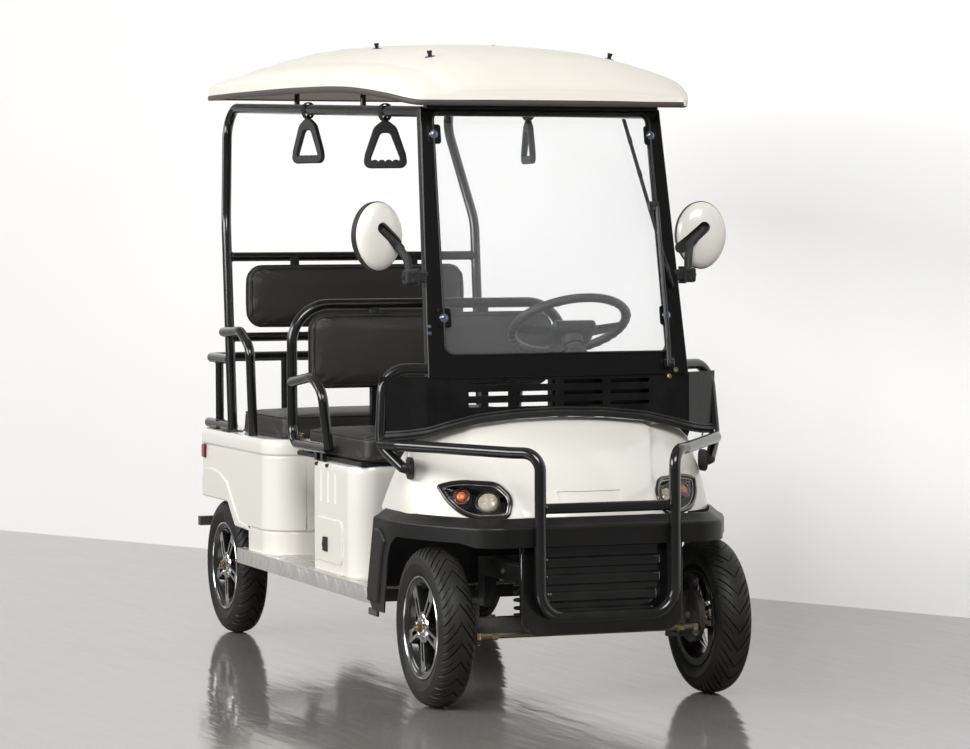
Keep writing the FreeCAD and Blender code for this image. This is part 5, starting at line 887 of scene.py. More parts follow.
BOX_PLAN = [(0.030, -0.450, 0.012), (0.430, -0.450, 0.080), (0.430, 0.450, 0.080), (0.030, 0.450, 0.012)]
BOX_LEVELS = [(0.3005, 0.0030), (0.304, 0.0012), (0.310, 0.0006), (0.450, 0.0010), (0.600, 0.0022),
              (0.612, 0.0035), (0.621, 0.0075), (0.6248, 0.016)]
shape = bmesh.new()
tower(shape, BOX_PLAN, BOX_LEVELS)
cuts = bmesh.new()
for side in (1, -1):
    low, high = sorted((side * 0.4480, side * 0.470))
    for start, end, bottom, top in ((0.052, 0.054, 0.322, 0.466), (0.322, 0.324, 0.322, 0.466),
                                    (0.052, 0.324, 0.320, 0.322), (0.052, 0.324, 0.466, 0.468)):
        block(cuts, (start, low, bottom), (end, high, top))
    for along in (0.105, 0.175, 0.245):
        over = side * 0.4528
        for vert in rod(cuts, (along, over, 0.505), (along, over, 0.600), 0.0120, 24):
            vert.co.y = over + (vert.co.y - over) * 0.68
box_shell = carved("seat_box_shell", shape, cuts, wall=BODY_WALL)
ease(box_shell, 0.0008, 60)
settle("seat_box_shell", box_shell, gloss_white, smooth=32, stands_for=("front_seat_box",))
shape = bmesh.new()
for side in (1, -1):
    low, high = sorted((side * 0.4470, side * 0.4530))
    panel = block(shape, (0.060, low, 0.328), (0.316, high, 0.458))
    ease(shape, 0.022, segments=6, edges=[edge for edge in edges_of(panel) if edge.calc_length() < 0.0061])
ease(shape, 0.0026,
     edges=[edge for edge in shape.edges if all(abs(vert.co.y) > 0.4529 for vert in edge.verts)], segments=4)
settle("battery_doors", shape, gloss_white, smooth=50)

SOCKET = Matrix.Translation((0.070, -0.0035, -0.046))
shape = bmesh.new()
block(shape, (0.078, -0.4555, 0.405), (0.112, -0.4485, 0.449), 0.004, 3)
block(shape, (0.084, -0.4590, 0.411), (0.106, -0.4540, 0.443), 0.003, 3)
rod(shape, (0.095, -0.458, 0.427), (0.095, -0.4610, 0.427), 0.0075, 24)
rod(shape, (0.086, -0.4555, 0.447), (0.104, -0.4555, 0.447), 0.0024, 12)
for up in (0.409, 0.445):
    for along in (0.082, 0.108):
        rod(shape, (along, -0.455, up), (along, -0.4572, up), 0.0018, 10)
shape.transform(SOCKET)
settle("charging_socket", shape, grained_black)
shape = bmesh.new()
for side in (1, -1):
    bolt(shape, (0.0305, side * 0.415, 0.345), (-1, 0, 0), 0.0045, 0.003)
    for along in (0.060, 0.165):
        rod(shape, (along, side * 0.4440, 0.6140), (along, side * 0.4530, 0.6140), 0.0062, 20, 0.0050)
settle("seat_box_stops", shape, grained_black)

# ---- Front cowl ----
# One glossy white moulding over the front wheels, with a raised centre panel between two curved creases, a
# blank shallow recess low on its face, and an opening on each corner for the headlamp.

# height, back, half width, front corner, its end and half width there, nose, tip, crease from the middle
COWL_LEVELS = (
    (0.520, 0.686, 0.4530, 0.960, 1.050, 0.364, 1.156, 1.180, 0.198),
    (0.534, 0.692, 0.4530, 0.957, 1.046, 0.363, 1.152, 1.176, 0.200),
    (0.585, 0.735, 0.4490, 0.932, 1.024, 0.357, 1.119, 1.146, 0.208),
    (0.640, 0.780, 0.4410, 0.898, 0.982, 0.341, 1.070, 1.094, 0.226),
    (0.697, 0.821, 0.4290, 0.868, 0.932, 0.323, 1.002, 1.021, 0.256),
    (0.748, 0.857, 0.3950, 0.873, 0.900, 0.300, 0.930, 0.941, 0.290),
    (0.781, 0.841, 0.2700, 0.866, 0.876, 0.235, 0.884, 0.888, 0.222),
)
CREASE_RISE = 0.0055
CREASE_GAP = 0.0075
NOSE_HALF = 0.16
COWL_COLUMNS = 17


def cowl_cage():
    """Control cage of the cowl: levels of points from the back round the front, right to left."""
    shape = bmesh.new()
    last_column, last_level = COWL_COLUMNS - 1, len(COWL_LEVELS) - 1
    bmesh.ops.create_grid(shape, x_segments=last_column, y_segments=last_level, size=0.5)
    for vert in shape.verts:
        column = round((vert.co.x + 0.5) * last_column)
        level = round((vert.co.y + 0.5) * last_level)
        height, back, half, corner, side, side_half, nose, tip, crease = COWL_LEVELS[level]
        hand = -1 if column < 8 else 1
        place = 8 - abs(column - 8)
        slope = (nose - side) / (side_half - NOSE_HALF)
        edge_x = side + slope * (side_half - crease)
        spots = [
            (back, half, 0), (0.5 * (back + corner), half, 0), (corner, half, 0), (side, side_half, 0),
            (0.5 * (side + edge_x) - 0.002, 0.5 * (side_half + crease + CREASE_GAP), -0.2),
            (edge_x, crease + CREASE_GAP, -0.35), (edge_x + 0.3 * CREASE_GAP, crease - CREASE_GAP, 1),
            (nose + 0.5 * (tip - nose), 0.5 * crease, 1), (tip, 0, 1),
        ]
        along, across, rise = spots[place]
        vert.co = Vector((along + 0.8 * CREASE_RISE * rise, hand * across, height + 0.5 * CREASE_RISE * rise))
    edge_crease = shape.edges.layers.float.new("crease_edge")
    for edge in shape.edges:
        for gap in (CREASE_GAP, -CREASE_GAP):
            misses = [min(abs(abs(vert.co.y) - row[-1] - gap) for row in COWL_LEVELS) for vert in edge.verts]
            if max(misses) < 1e-5:
                edge[edge_crease] = 0.55
    top = sorted((vert for vert in shape.verts if abs(vert.co.z - 0.781) < 0.006), key=lambda vert: vert.co.y)
    for step in range(8):
        pair = [top[step], top[step + 1], top[16 - step], top[15 - step]]
        bmesh.ops.contextual_create(shape, geom=list(dict.fromkeys(pair)))
    return shape


# over and up on the lamp's face, and each corner's rounding below
LAMP_OUTLINE = ((-0.1075, 0.043), (-0.058, 0.056), (0.056, 0.051), (0.104, 0.004), (0.097, -0.052),
                (-0.004, -0.057), (-0.064, -0.022))
LAMP_ROUND = (0.010, 0.060, 0.034, 0.040, 0.024, 0.060, 0.060)
LAMP_PLACE = Matrix.Translation((1.056, -0.306, 0.572)) @ swing(-29, "Z") @ swing(-28, "Y")


def lamp_prism(shape, grow, low=-0.07, high=0.08):
    """Almond prism across the right-hand lamp's face, larger or smaller by an amount."""
    verts = [shape.verts.new((low, over, up)) for over, up in LAMP_OUTLINE]
    before = set(shape.faces)
    shape.faces.new(verts)
    for vert, radius in zip(verts, LAMP_ROUND):
        round_corner(shape, vert, radius * 0.55, 7)
    face = next(face for face in shape.faces if face not in before)
    if grow:
        middle = face.calc_center_median()
        ring = [vert.co.copy() for vert in face.verts]
        count = len(ring)
        for index, vert in enumerate(face.verts):
            run = (ring[(index + 1) % count] - ring[index - 1]).normalized()
            away = Vector((0, run.z, -run.y))
            if away.dot(ring[index] - middle) < 0:
                away.negate()
            vert.co = ring[index] + away * grow
    raise_faces(shape, [face], (high - low, 0, 0))
    bmesh.ops.recalc_face_normals(shape, faces=shape.faces)


def lamp_tool(grow, low=-0.07, high=0.08):
    """Almond prisms on both corners of the cowl."""
    tools = bmesh.new()
    lamp_prism(tools, grow, low, high)
    tools.transform(LAMP_PLACE)
    mirrored(tools)
    return tools


def cowl_form(back, down):
    """The cowl's outer form as one closed solid, moved back and down."""
    form = carved("cowl_form", cowl_cage(), subdivide=3)
    bmesh.ops.translate(form, vec=(-back, 0, -down), verts=form.verts)
    bmesh.ops.holes_fill(form, edges=[edge for edge in form.edges if edge.is_boundary])
    return form


RECESS_HALF, RECESS_LOW, RECESS_HIGH = 0.0945, 0.536, 0.591
pad = bmesh.new()
prism(pad, [(-RECESS_HALF, RECESS_LOW), (RECESS_HALF, RECESS_LOW), (RECESS_HALF, RECESS_HIGH),
            (-RECESS_HALF, RECESS_HIGH)], 1.06, 1.25, "X")
ease(pad, 0.004, edges=[edge for edge in pad.edges if abs(edge.verts[0].co.x - edge.verts[1].co.x) > 0.1],
     segments=4)
pad = carved("recess_tool", pad, cowl_form(0.0022, 0.0010))
cowl = carved("cowl_shell", cowl_cage(), lamp_tool(0.002), wall=0.0045, subdivide=3)
cowl = carved("cowl_pressed", cowl, pad)
settle("cowl_shell", cowl, gloss_white, smooth=38, stands_for=("front_cowl",))

# ---- Headlamps ----
# Each is a black bucket behind a clear almond cover with a bright bezel, holding a round reflector with a
# four-leaf glass and, outboard, a small amber indicator. It is clipped in from behind.

bucket_black, *_ = finish("lamp_bucket_black", (0.008, 0.008, 0.008), 0.28, Grain=0.4, Mottle=0.03, Dust=0.03)
bezel_bright, *_ = finish("lamp_bezel_bright", (0.55, 0.53, 0.49), 0.2, metallic=0.9, Mottle=0.05, Dust=0.03,
                          Wear=0.1)
lens_clear, tree, shader = new_material("lamp_cover_clear")
shader.inputs["Base Color"].default_value = (1, 1, 1, 1)
shader.inputs["Roughness"].default_value = 0.03
shader.inputs["Transmission Weight"].default_value = 1.0
shader.inputs["IOR"].default_value = 1.2
haze = add(tree, "TexNoise", Vector=where_in(tree), Scale=60.0, Detail=3).outputs[0]
tree.links.new(ranged(tree, haze, 0.4, 0.8, 0.01, 0.05), shader.inputs["Roughness"])
leaf_glass, *_ = finish("leaf_glass", (0.36, 0.31, 0.235), 0.18, coat=0.6, Mottle=0.15, Mottle_Scale=60.0,
                        Dust=0.0, Grain=0.0, Wear=0.0)
amber_glass, *_ = finish("amber_glass", (0.42, 0.080, 0.004), 0.22, coat=0.3, Mottle=0.3, Mottle_Scale=90.0,
                         Dust=0.0, Grain=0.6, Grain_Scale=160.0, Wear=0.0)
smoked_red, *_ = finish("indicator_surround", (0.10, 0.012, 0.008), 0.25, coat=0.6, Dust=0.0, Mottle=0.1)

surround_gloss, *_ = finish("lamp_surround_gloss", (0.010, 0.0095, 0.009), 0.13, coat=0.9, Mottle=0.03,
                            Dust=0.03, Grain=0.1, Wear=0.1, Wear_Colour=(0.07, 0.065, 0.06, 1))


def skin(shape, rings):
    """Faces between rings of points that follow one another."""
    for one, two in zip(rings, rings[1:]):
        for step in range(len(one)):
            after = (step + 1) % len(one)
            shape.faces.new((one[step], one[after], two[after], two[step]))


def strand(shape, path, radius, sides=8, wave=0.0):
    """Closed round cord through a ring of points; a wave makes its thickness swell and fall."""
    count = len(path)
    rings = []
    for index, spot in enumerate(path):
        run = (path[(index + 1) % count] - path[index - 1]).normalized()
        side = run.cross(Vector((0.31, 0.52, 0.79))).normalized()
        lift = side.cross(run)
        thick = radius * (1 + wave * math.sin(index * 2.1))
        rings.append([shape.verts.new(spot + thick * (math.cos(turn) * side + math.sin(turn) * lift))
                      for turn in angles(sides)])
    skin(shape, rings + rings[:1])


def lamp_ring(grow):
    """Evenly spaced points on the cowl's skin round the right-hand lamp's opening."""
    outline = bmesh.new()
    lamp_prism(outline, grow)
    face = min(outline.faces, key=lambda face: face.calc_center_median().x)
    corners = [vert.co.copy() for vert in face.verts]
    outline.free()
    line = []
    for start, end in zip(corners, corners[1:] + corners[:1]):
        steps = max(1, round((end - start).length / 0.003))
        line += [start.lerp(end, step / steps) for step in range(steps)]
    away = (LAMP_PLACE.to_3x3() @ Vector((1, 0, 0))).normalized()
    hits = [cowl_skin.ray_cast(LAMP_PLACE @ Vector((0.12, spot.y, spot.z)), -away)[0] for spot in line]
    return [spot for spot in hits if spot is not None], away


def cover_skin(grow, depth):
    """Curved sheet that fills the lamp's opening and follows the cowl a little behind its skin."""
    edge, away = lamp_ring(grow)
    middle = sum(edge, Vector()) / len(edge)
    shape = bmesh.new()
    rings = []
    for share in (1.0, 0.82, 0.62, 0.42, 0.22):
        ring = []
        for spot in edge:
            inner = middle.lerp(spot, share)
            hit = cowl_skin.ray_cast(inner + away * 0.08, -away)[0] or inner
            ring.append(shape.verts.new(hit - away * depth))
        rings.append(ring)
    skin(shape, rings)
    shape.faces.new(rings[-1])
    return shape


outer_form = cowl_form(0, 0)
cowl_skin = BVHTree.FromBMesh(outer_form)
outer_form.free()
for name, grow, radius, lift, material in (("lamp_surrounds", -0.0010, 0.0062, 0.0004, surround_gloss),
                                           ("lamp_bezels", -0.0085, 0.0014, -0.0018, bezel_bright)):
    path, away = lamp_ring(grow)
    shape = bmesh.new()
    strand(shape, [spot + away * lift for spot in path], radius, 14)
    mirrored(shape)
    settle(name, shape, material, smooth=60)
covers = carved("lamp_covers", cover_skin(-0.0045, 0.0022), wall=0.0020)
mirrored(covers)
settle("lamp_covers", covers, lens_clear, smooth=50)

bucket_ring = carved("bucket_ring", lamp_tool(0.0010, low=-0.058, high=0.08),
                     lamp_tool(-0.0012, low=-0.052, high=0.09))
behind_cowl = cowl_form(0.003, 0.001)
for vert in behind_cowl.verts:
    if vert.co.z < 0.524:
        vert.co.z -= 0.045
buckets = carved("lamp_buckets", bucket_ring, behind_cowl, operation="INTERSECT")
settle("lamp_buckets", buckets, bucket_black, smooth=40, stands_for=("headlamps",))

LEAF_LEAN = 0.6
MAIN_LAMP = (-0.0125, 0.034, -0.003)
shape = bmesh.new()
for centre, radius, depth in ((MAIN_LAMP, 0.0300, 0.040), ((-0.0125, -0.041, 0.013), 0.0215, 0.036)):
    turned(shape, [(0.002, -depth), (radius * 0.9, -depth), (radius * 0.96, -0.010), (radius, -0.002),
                   (radius + 0.002, 0), (radius + 0.0035, -0.001), (radius + 0.004, -0.006),
                   (radius + 0.004, -depth), (0.002, -depth - 0.002), (0.002, -depth)], centre, "X", 48)
before = set(shape.faces)
turned(shape, [(0, 0.0035), (0.011, 0.0032), (0.020, 0.0018), (0.0255, -0.001), (0.0285, -0.006),
               (0.0285, -0.009), (0, -0.009)], MAIN_LAMP, "X", 48)
for turn in angles(4):
    turn += LEAF_LEAN
    place = (Matrix.Translation((-0.0090, 0.034 + math.cos(turn) * 0.0115, -0.003 + math.sin(turn) * 0.0115))
             @ Matrix.Rotation(turn, 4, "X") @ Matrix.Diagonal((0.20, 1.25, 0.72, 1)))
    bmesh.ops.create_uvsphere(shape, u_segments=20, v_segments=12, radius=0.0082, matrix=place)
before = tint(shape, before, 1)
turned(shape, [(0, 0.004), (0.008, 0.0034), (0.0135, 0.001), (0.0155, -0.004), (0.0155, -0.012), (0, -0.012)],
       (-0.0135, -0.041, 0.013), "X", 40)
before = tint(shape, before, 2)
turned(shape, [(0.0155, -0.006), (0.0185, -0.0025), (0.0213, -0.0035), (0.0213, -0.012), (0.0155, -0.012)],
       (-0.0135, -0.041, 0.013), "X", 40)
tint(shape, before, 3)
block(shape, (-0.030, 0.074, -0.046), (-0.012, 0.088, -0.034), 0.002)
shape.transform(LAMP_PLACE)
mirrored(shape)
settle("lamp_reflectors", shape, (bucket_black, leaf_glass, amber_glass, smoked_red), smooth=45)

# ---- Front bumper and wheel flares ----
# One fine-grained charcoal moulding wraps the front and both arches. Its top ledge leans back to the cowl,
# and each flare carries a raised pressed pad.

charcoal, *_ = finish("charcoal_bumper_plastic", (0.0070, 0.0064, 0.0062), 0.38, specular=0.34, Mottle=0.06,
                      Dust=0.14, Dust_Colour=(0.11, 0.10, 0.095, 1), Grain=1.0, Grain_Scale=620.0, Wear=0.2,
                      Wear_Colour=(0.06, 0.058, 0.055, 1), bump=0.0005)
BUMPER_WALL = 0.0042
BUMPER_LEVELS = ((0.2400, 0), (0.4990, 0), (0.5030, 0.0008), (0.5060, 0.0028), (0.5082, 0.0062),
                 (0.5100, 0.0110), (0.5280, 0.0320))


def bumper_solid(shape, inset, levels):
    """Closed block over the bumper's plan, smaller all round by an inset."""
    plan = [(1.2550, 0.345, 0.060), (1.0450, 0.4490, 0.068), (0.9000, 0.4853, 0.068), (0.6300, 0.4853, 0)]
    plan += [(x, -y, radius) for x, y, radius in reversed(plan)]
    tower(shape, plan, [(height, lean + inset) for height, lean in levels])
    bmesh.ops.holes_fill(shape, edges=[edge for edge in shape.edges if edge.is_boundary])
    bmesh.ops.recalc_face_normals(shape, faces=shape.faces)


shape = bmesh.new()
bumper_solid(shape, 0, BUMPER_LEVELS)
inside = bmesh.new()
bumper_solid(inside, BUMPER_WALL, ((0.2300, 0), (0.4990, 0), (0.5010, 0.0060), (0.5250, 0.0330),
                                   (0.5400, 0.0500)))
shape = carved("bumper_wall", shape, inside)
cuts = bmesh.new()
prism(cuts, [(0.790, 0.20), (0.835, 0.400), (0.862, 0.440), (0.895, 0.462), (1.165, 0.462), (1.215, 0.452),
             (1.300, 0.450), (1.300, 0.20)], -0.6, 0.6)
shape = carved("bumper_arches", shape, cuts)
cuts = bmesh.new()
prism(cuts, [(0.600, 0.20), (0.745, 0.20), (0.648, 0.285), (0.712, 0.500), (0.742, 0.56), (0.600, 0.56)],
      -0.6, 0.6)
shape = carved("bumper_backs", shape, cuts)
ease(shape, 0.0010, 60)
settle("wrapped_bumper", shape, charcoal, smooth=34, stands_for=("front_bumper",))
shape = bmesh.new()
pad = [(0.6600, 0.262), (0.6680, 0.300), (0.6900, 0.380), (0.7080, 0.446), (0.7300, 0.474), (0.7760, 0.476),
       (0.8120, 0.452), (0.8140, 0.432), (0.7960, 0.404), (0.7760, 0.340), (0.7560, 0.262)]
prism(shape, pad, 0.4800, 0.4915)
ease(shape, 0.0085, edges=[edge for edge in shape.edges if all(vert.co.y > 0.49 for vert in edge.verts)],
     segments=5)
mirrored(shape)
settle("flare_pads", shape, charcoal, smooth=50)
shape = bmesh.new()
for side in (1, -1):
    for along in (0.672, 0.705):
        bolt(shape, (along, side * 0.470, 0.2395), (0, 0, -1), 0.005, 0.004)
    block(shape, (0.655, side * 0.4795 - 0.004, 0.222), (0.732, side * 0.4795 + 0.004, 0.242), 0.002)
    bolt(shape, (0.79, side * 0.30, 0.5285), (0, 0, 1), 0.005, 0.003)
settle("bumper_brackets", shape, satin_black)

# ---- Louvre panel ----
# Glossy black pressed sheet inside the guard, with four broad rounded ribs and turned lower corners.

gloss_black, *_ = finish("gloss_black_moulding", (0.0050, 0.0048, 0.0048), 0.13, coat=0.5, specular=0.45,
                         Mottle=0.05, Dust=0.10, Dust_Colour=(0.15, 0.14, 0.13, 1), Grain=0.25,
                         Grain_Scale=160.0, Wear=0.15, Wear_Colour=(0.05, 0.05, 0.05, 1))
shape = bmesh.new()
sheet = shape.faces.new([shape.verts.new((1.2222, over, up)) for over, up in
                         ((-0.238, 0.2085), (0.238, 0.2085), (0.238, 0.4505), (-0.238, 0.4505))])
for vert in [vert for vert in sheet.verts if vert.co.z < 0.3]:
    round_corner(shape, vert, 0.052, 8)
raise_faces(shape, shape.faces[:], (0.0095, 0, 0))
ease(shape, 0.004, edges=[edge for edge in shape.edges if all(vert.co.x > 1.23 for vert in edge.verts)],
     segments=4)
for rib in range(4):
    low = 0.2520 + rib * 0.0470
    half = 0.152 + 0.010 * min(rib, 2)
    made = block(shape, (1.2215, -half, low), (1.2425, half, low + 0.032), 0.0103, 6)
    for vert in made:
        vert.co.x -= 0.006 * max(0.0, (abs(vert.co.y) - half + 0.04) / 0.04) ** 2
        vert.co.z -= 0.006 * (vert.co.x - 1.2215) / 0.021
settle("louvre_pressing", shape, gloss_black, smooth=50, stands_for=("louvre_panel",))

# ---- Dash shield ----
# Gloss black moulding under the windscreen with rows of slots, wings bent back at each end and a thick ribbed
# rubber lip along its curved lower edge.

rubber_black, *_ = finish("lip_rubber", (0.012, 0.012, 0.012), 0.45, specular=0.4, Mottle=0.05, Dust=0.12,
                          Grain=0.6, Grain_Scale=420.0)


def tube_along(shape, places, radius, bends, sides=16):
    """Round tube through places, each corner turned on its own bend radius."""
    spots = [Vector(place) for place in places]
    path = [spots[0]]
    for index in range(1, len(spots) - 1):
        corner = spots[index]
        arrive = (corner - spots[index - 1]).normalized()
        leave = (spots[index + 1] - corner).normalized()
        half = arrive.angle(leave) / 2
        if half < 0.01:
            continue
        bend = bends[min(index - 1, len(bends) - 1)]
        reach = bend * math.tan(half)
        middle = corner + (leave - arrive).normalized() * (bend / math.cos(half))
        steps = max(3, int(math.degrees(half) / 4))
        axis = arrive.cross(leave).normalized()
        near = corner - arrive * reach - middle
        for step in range(steps + 1):
            path.append(middle + Matrix.Rotation(2 * half * step / steps, 3, axis) @ near)
    path.append(spots[-1])
    direction = (path[1] - path[0]).normalized()
    start = Matrix.Translation(path[0]) @ direction.to_track_quat("Z", "Y").to_matrix().to_4x4()
    loop = bmesh.ops.create_circle(shape, cap_ends=False, segments=sides, radius=radius,
                                   matrix=start)["verts"]
    edges = edges_of(loop)
    first = list(edges)
    made = list(loop)
    for index in range(1, len(path)):
        geometry = bmesh.ops.extrude_edge_only(shape, edges=edges)["geom"]
        loop = verts_in(geometry)
        edges = [item for item in geometry if isinstance(item, bmesh.types.BMEdge)
                 and all(vert in loop for vert in item.verts)]
        bmesh.ops.translate(shape, vec=path[index] - path[index - 1], verts=loop)
        onward = (path[min(index + 1, len(path) - 1)] - path[index - 1]).normalized()
        turn = direction.rotation_difference(onward).to_matrix()
        bmesh.ops.rotate(shape, cent=path[index], matrix=turn, verts=loop)
        direction = onward
        made += loop
    bmesh.ops.holes_fill(shape, edges=first + edges)
    return made


shape = copy_of("dash_shield", 0)
ease(shape, 0.0018, 50, segments=2)
shield_black, *_ = finish("shield_black", (0.0045, 0.0042, 0.0042), 0.27, specular=0.3, Mottle=0.06,
                          Dust=0.08, Dust_Colour=(0.10, 0.09, 0.085, 1), Grain=0.5, Grain_Scale=200.0,
                          Wear=0.1, Wear_Colour=(0.04, 0.04, 0.04, 1))
block(shape, (0.842, -0.010, 0.806), (0.884, 0.330, 0.900), 0.008, 4)
settle("slotted_shield", shape, shield_black, smooth=30, stands_for=("dash_shield",))

# places along the lower edge, from the left wing's end to the middle
SHIELD_EDGE = ((0.8425, 0.506, 0.7365), (0.884, 0.446, 0.7405), (0.9165, 0.398, 0.7480),
               (0.9200, 0.330, 0.7660), (0.9200, 0.250, 0.7835), (0.9200, 0.130, 0.7955),
               (0.9200, 0.0, 0.7995))
shape = bmesh.new()
places = list(SHIELD_EDGE) + [(x, -y, z) for x, y, z in reversed(SHIELD_EDGE[:-1])]
for lift, radius in ((0.0, 0.0075), (0.0105, 0.0042), (-0.0095, 0.0036)):
    tube_along(shape, [(x + 0.001, y, z + lift) for x, y, z in places], radius, (0.05,), 14)
settle("shield_lip", shape, rubber_black, smooth=60)

# ---- Windscreen ----
# Wide black pressed frame with rounded opening corners round one flat sheet of lightly tinted safety glass.
# Four tabs on bolts hold the glass; the wiper swings from a spindle at the lower left corner.

SCREEN_PLACE = Matrix.Translation((0.924, 0, 0.899)) @ swing(-10.7, "Y")
SCREEN_HEIGHT = 0.768
SCREEN_FOOT = 0.392
SCREEN_HEAD = 0.364
SCREEN_SILL = 0.064
SCREEN_RAIL = 0.010
SCREEN_DEPTH = 0.034
TAB_HEIGHTS = (0.22 * SCREEN_HEIGHT, 0.90 * SCREEN_HEIGHT)


def opening_half(up):
    """Half width of the screen's opening at a height."""
    share = up / SCREEN_HEIGHT
    return SCREEN_FOOT - 0.053 + share * (SCREEN_HEAD - SCREEN_FOOT + 0.018)


frame_black, *_ = finish("screen_frame_black", (0.0030, 0.0027, 0.0026), 0.22, coat=0.1, specular=0.35,
                         Mottle=0.06, Dust=0.06, Dust_Colour=(0.09, 0.08, 0.075, 1), Grain=0.35,
                         Grain_Scale=300.0, Wear=0.2, Wear_Colour=(0.04, 0.038, 0.036, 1))
shape = bmesh.new()
prism(shape, [(-SCREEN_FOOT, 0), (SCREEN_FOOT, 0), (SCREEN_HEAD, SCREEN_HEIGHT),
              (-SCREEN_HEAD, SCREEN_HEIGHT)],
      -SCREEN_DEPTH, 0, "X")
ease(shape, 0.004, 60, segments=4)
tool = bmesh.new()
low, high = SCREEN_SILL, SCREEN_HEIGHT - SCREEN_RAIL
prism(tool, [(-opening_half(low), low), (opening_half(low), low), (opening_half(high), high),
             (-opening_half(high), high)], -0.1, 0.1, "X")
ease(tool, 0.026, edges=[edge for edge in tool.edges
                         if abs(edge.verts[0].co.x - edge.verts[1].co.x) > 0.1], segments=8)
opened = carved("opened_frame", shape, tool)
ease(opened, 0.0022, 60, segments=3)
opened.transform(SCREEN_PLACE)
block(opened, (0.772, -0.352, 1.648), (0.800, 0.352, 1.668), 0.004, 3)
settle("screen_frame", opened, frame_black, smooth=40, stands_for=("windscreen_frame",))

shape = bmesh.new()
for grow, out in ((0.0015, 0.0012), (0.0015, -0.0225)):
    half_low, half_high = opening_half(low) - grow, opening_half(high) - grow
    corners = [(out, -half_low, low + grow), (out, half_low, low + grow), (out, half_high, high - grow),
               (out, -half_high, high - grow), (out, -half_low, low + grow)]
    middle_low = (out, 0, low + grow)
    tube_along(shape, [middle_low] + corners[1:4] + [corners[0], middle_low], 0.0032, (0.025,), 10)
shape.transform(SCREEN_PLACE)
settle("screen_seal", shape, rubber_black, smooth=60)

tinted, tree, shader = new_material("screen_glass")
shader.inputs["Base Color"].default_value = (0.955, 0.965, 0.975, 1)
shader.inputs["Transmission Weight"].default_value = 0.965
shader.inputs["IOR"].default_value = 1.38
shader.inputs["Roughness"].default_value = 0.0
film = add(tree, "TexNoise", Vector=where_in(tree), Scale=3.5, Detail=5).outputs[0]
tree.links.new(blended(tree, ranged(tree, film, 0.35, 0.75), (0.955, 0.965, 0.975, 1),
                       (0.94, 0.945, 0.95, 1)),
               shader.inputs["Base Color"])
shape = bmesh.new()
prism(shape, [(-opening_half(low) - 0.012, low - 0.012), (opening_half(low) + 0.012, low - 0.012),
              (opening_half(high) + 0.012, high + 0.010), (-opening_half(high) - 0.012, high + 0.010)],
      -0.0162, -0.0114, "X")
ease(shape, 0.0008, 60)
shape.transform(SCREEN_PLACE)
settle("screen_glass_sheet", shape, tinted, smooth=30, stands_for=("windscreen_glass",))

bolt_blue, *_ = finish("blued_bolt", (0.24, 0.270, 0.35), 0.24, metallic=0.9, Mottle=0.2, Dust=0.05,
                       Wear=0.25, Wear_Colour=(0.8, 0.85, 0.95, 1))
shape = bmesh.new()
for height in TAB_HEIGHTS:
    for hand in (1, -1):
        edge = hand * opening_half(height)
        tab = block(shape, (0.0002, -0.019, -0.028), (0.0032, 0.019, 0.028))
        corners = [bar for bar in edges_of(tab) if bar.calc_length() < 0.0031]
        tab = ease(shape, 0.009, segments=6, edges=corners)["verts"]
        bmesh.ops.translate(shape, vec=(0, edge - hand * 0.003, height), verts=tab)
ease(shape, 0.0008, 60)
before = set(shape.faces)
for height in TAB_HEIGHTS:
    for hand in (1, -1):
        edge = hand * opening_half(height)
        spot = Vector((0.0032, edge - hand * 0.001, height))
        turned(shape, [(0, 0), (0.0125, 0.0002), (0.0125, 0.0010), (0.0118, 0.0018), (0, 0.0018)],
               spot, "X", 32)
        turned(shape, [(0, 0.0018), (0.0078, 0.0018), (0.0078, 0.0052), (0.0066, 0.0062), (0.0040, 0.0062),
                       (0.0036, 0.0046), (0, 0.0046)], spot, "X", 32)
for up in (0.165, 0.190):
    bolt(shape, (0.0004, -(SCREEN_FOOT - 0.012), up * SCREEN_HEIGHT), (1, 0, 0), 0.0036, 0.0024)
tint(shape, before, 1)
shape.transform(SCREEN_PLACE)
settle("screen_tabs", shape, (frame_black, bolt_blue), smooth=40)

# Wiper: moulded cover over the spindle, a flat folded arm, a hinged link and a long blade in a pressed
# channel.
shape = bmesh.new()
block(shape, (0.0, 0.316, 0.016), (0.029, 0.340, 0.044), 0.006, 4)
turned(shape, [(0, 0.036), (0.006, 0.036), (0.009, 0.033), (0.010, 0.028), (0.010, 0.001), (0, 0.001)],
       (0.0, 0.328, 0.030), "X", 32)
arm = tube_along(shape, [(0.018, 0.326, 0.030), (0.024, 0.326, 0.10), (0.020, 0.326, 0.30),
                         (0.0175, 0.326, 0.480)],
                       0.0046, (0.05,), 12)
for vert in arm:
    vert.co.y = 0.326 + (vert.co.y - 0.326) * 1.45
block(shape, (0.011, 0.299, 0.466), (0.0205, 0.331, 0.496), 0.003, 3)
for up in (0.474, 0.488):
    bolt(shape, (0.0205, 0.315, up), (1, 0, 0), 0.0032, 0.002)
blade = block(shape, (0.0075, 0.3015, 0.243), (0.0195, 0.3075, 0.742), 0.0022, 3)
blade += prism(shape, [(0.3033, 0.240), (0.3057, 0.240), (0.3057, 0.745), (0.3033, 0.745)],
               0.0014, 0.010, "X")
for up in (0.30, 0.40, 0.58, 0.68):
    blade += block(shape, (0.0065, 0.2995, up - 0.010), (0.0185, 0.3095, up + 0.010), 0.002, 2)
hinge = Matrix.Translation((0, 0.305, 0.480))
bmesh.ops.transform(shape, verts=blade, matrix=hinge @ swing(13, "X") @ hinge.inverted())
shape.transform(SCREEN_PLACE)
wiper_black, *_ = finish("wiper_black", (0.009, 0.009, 0.009), 0.34, Dust=0.1, Mottle=0.05, Grain=0.4)
settle("wiper_assembly", shape, wiper_black, smooth=40, stands_for=("wiper",))
shape = bmesh.new()
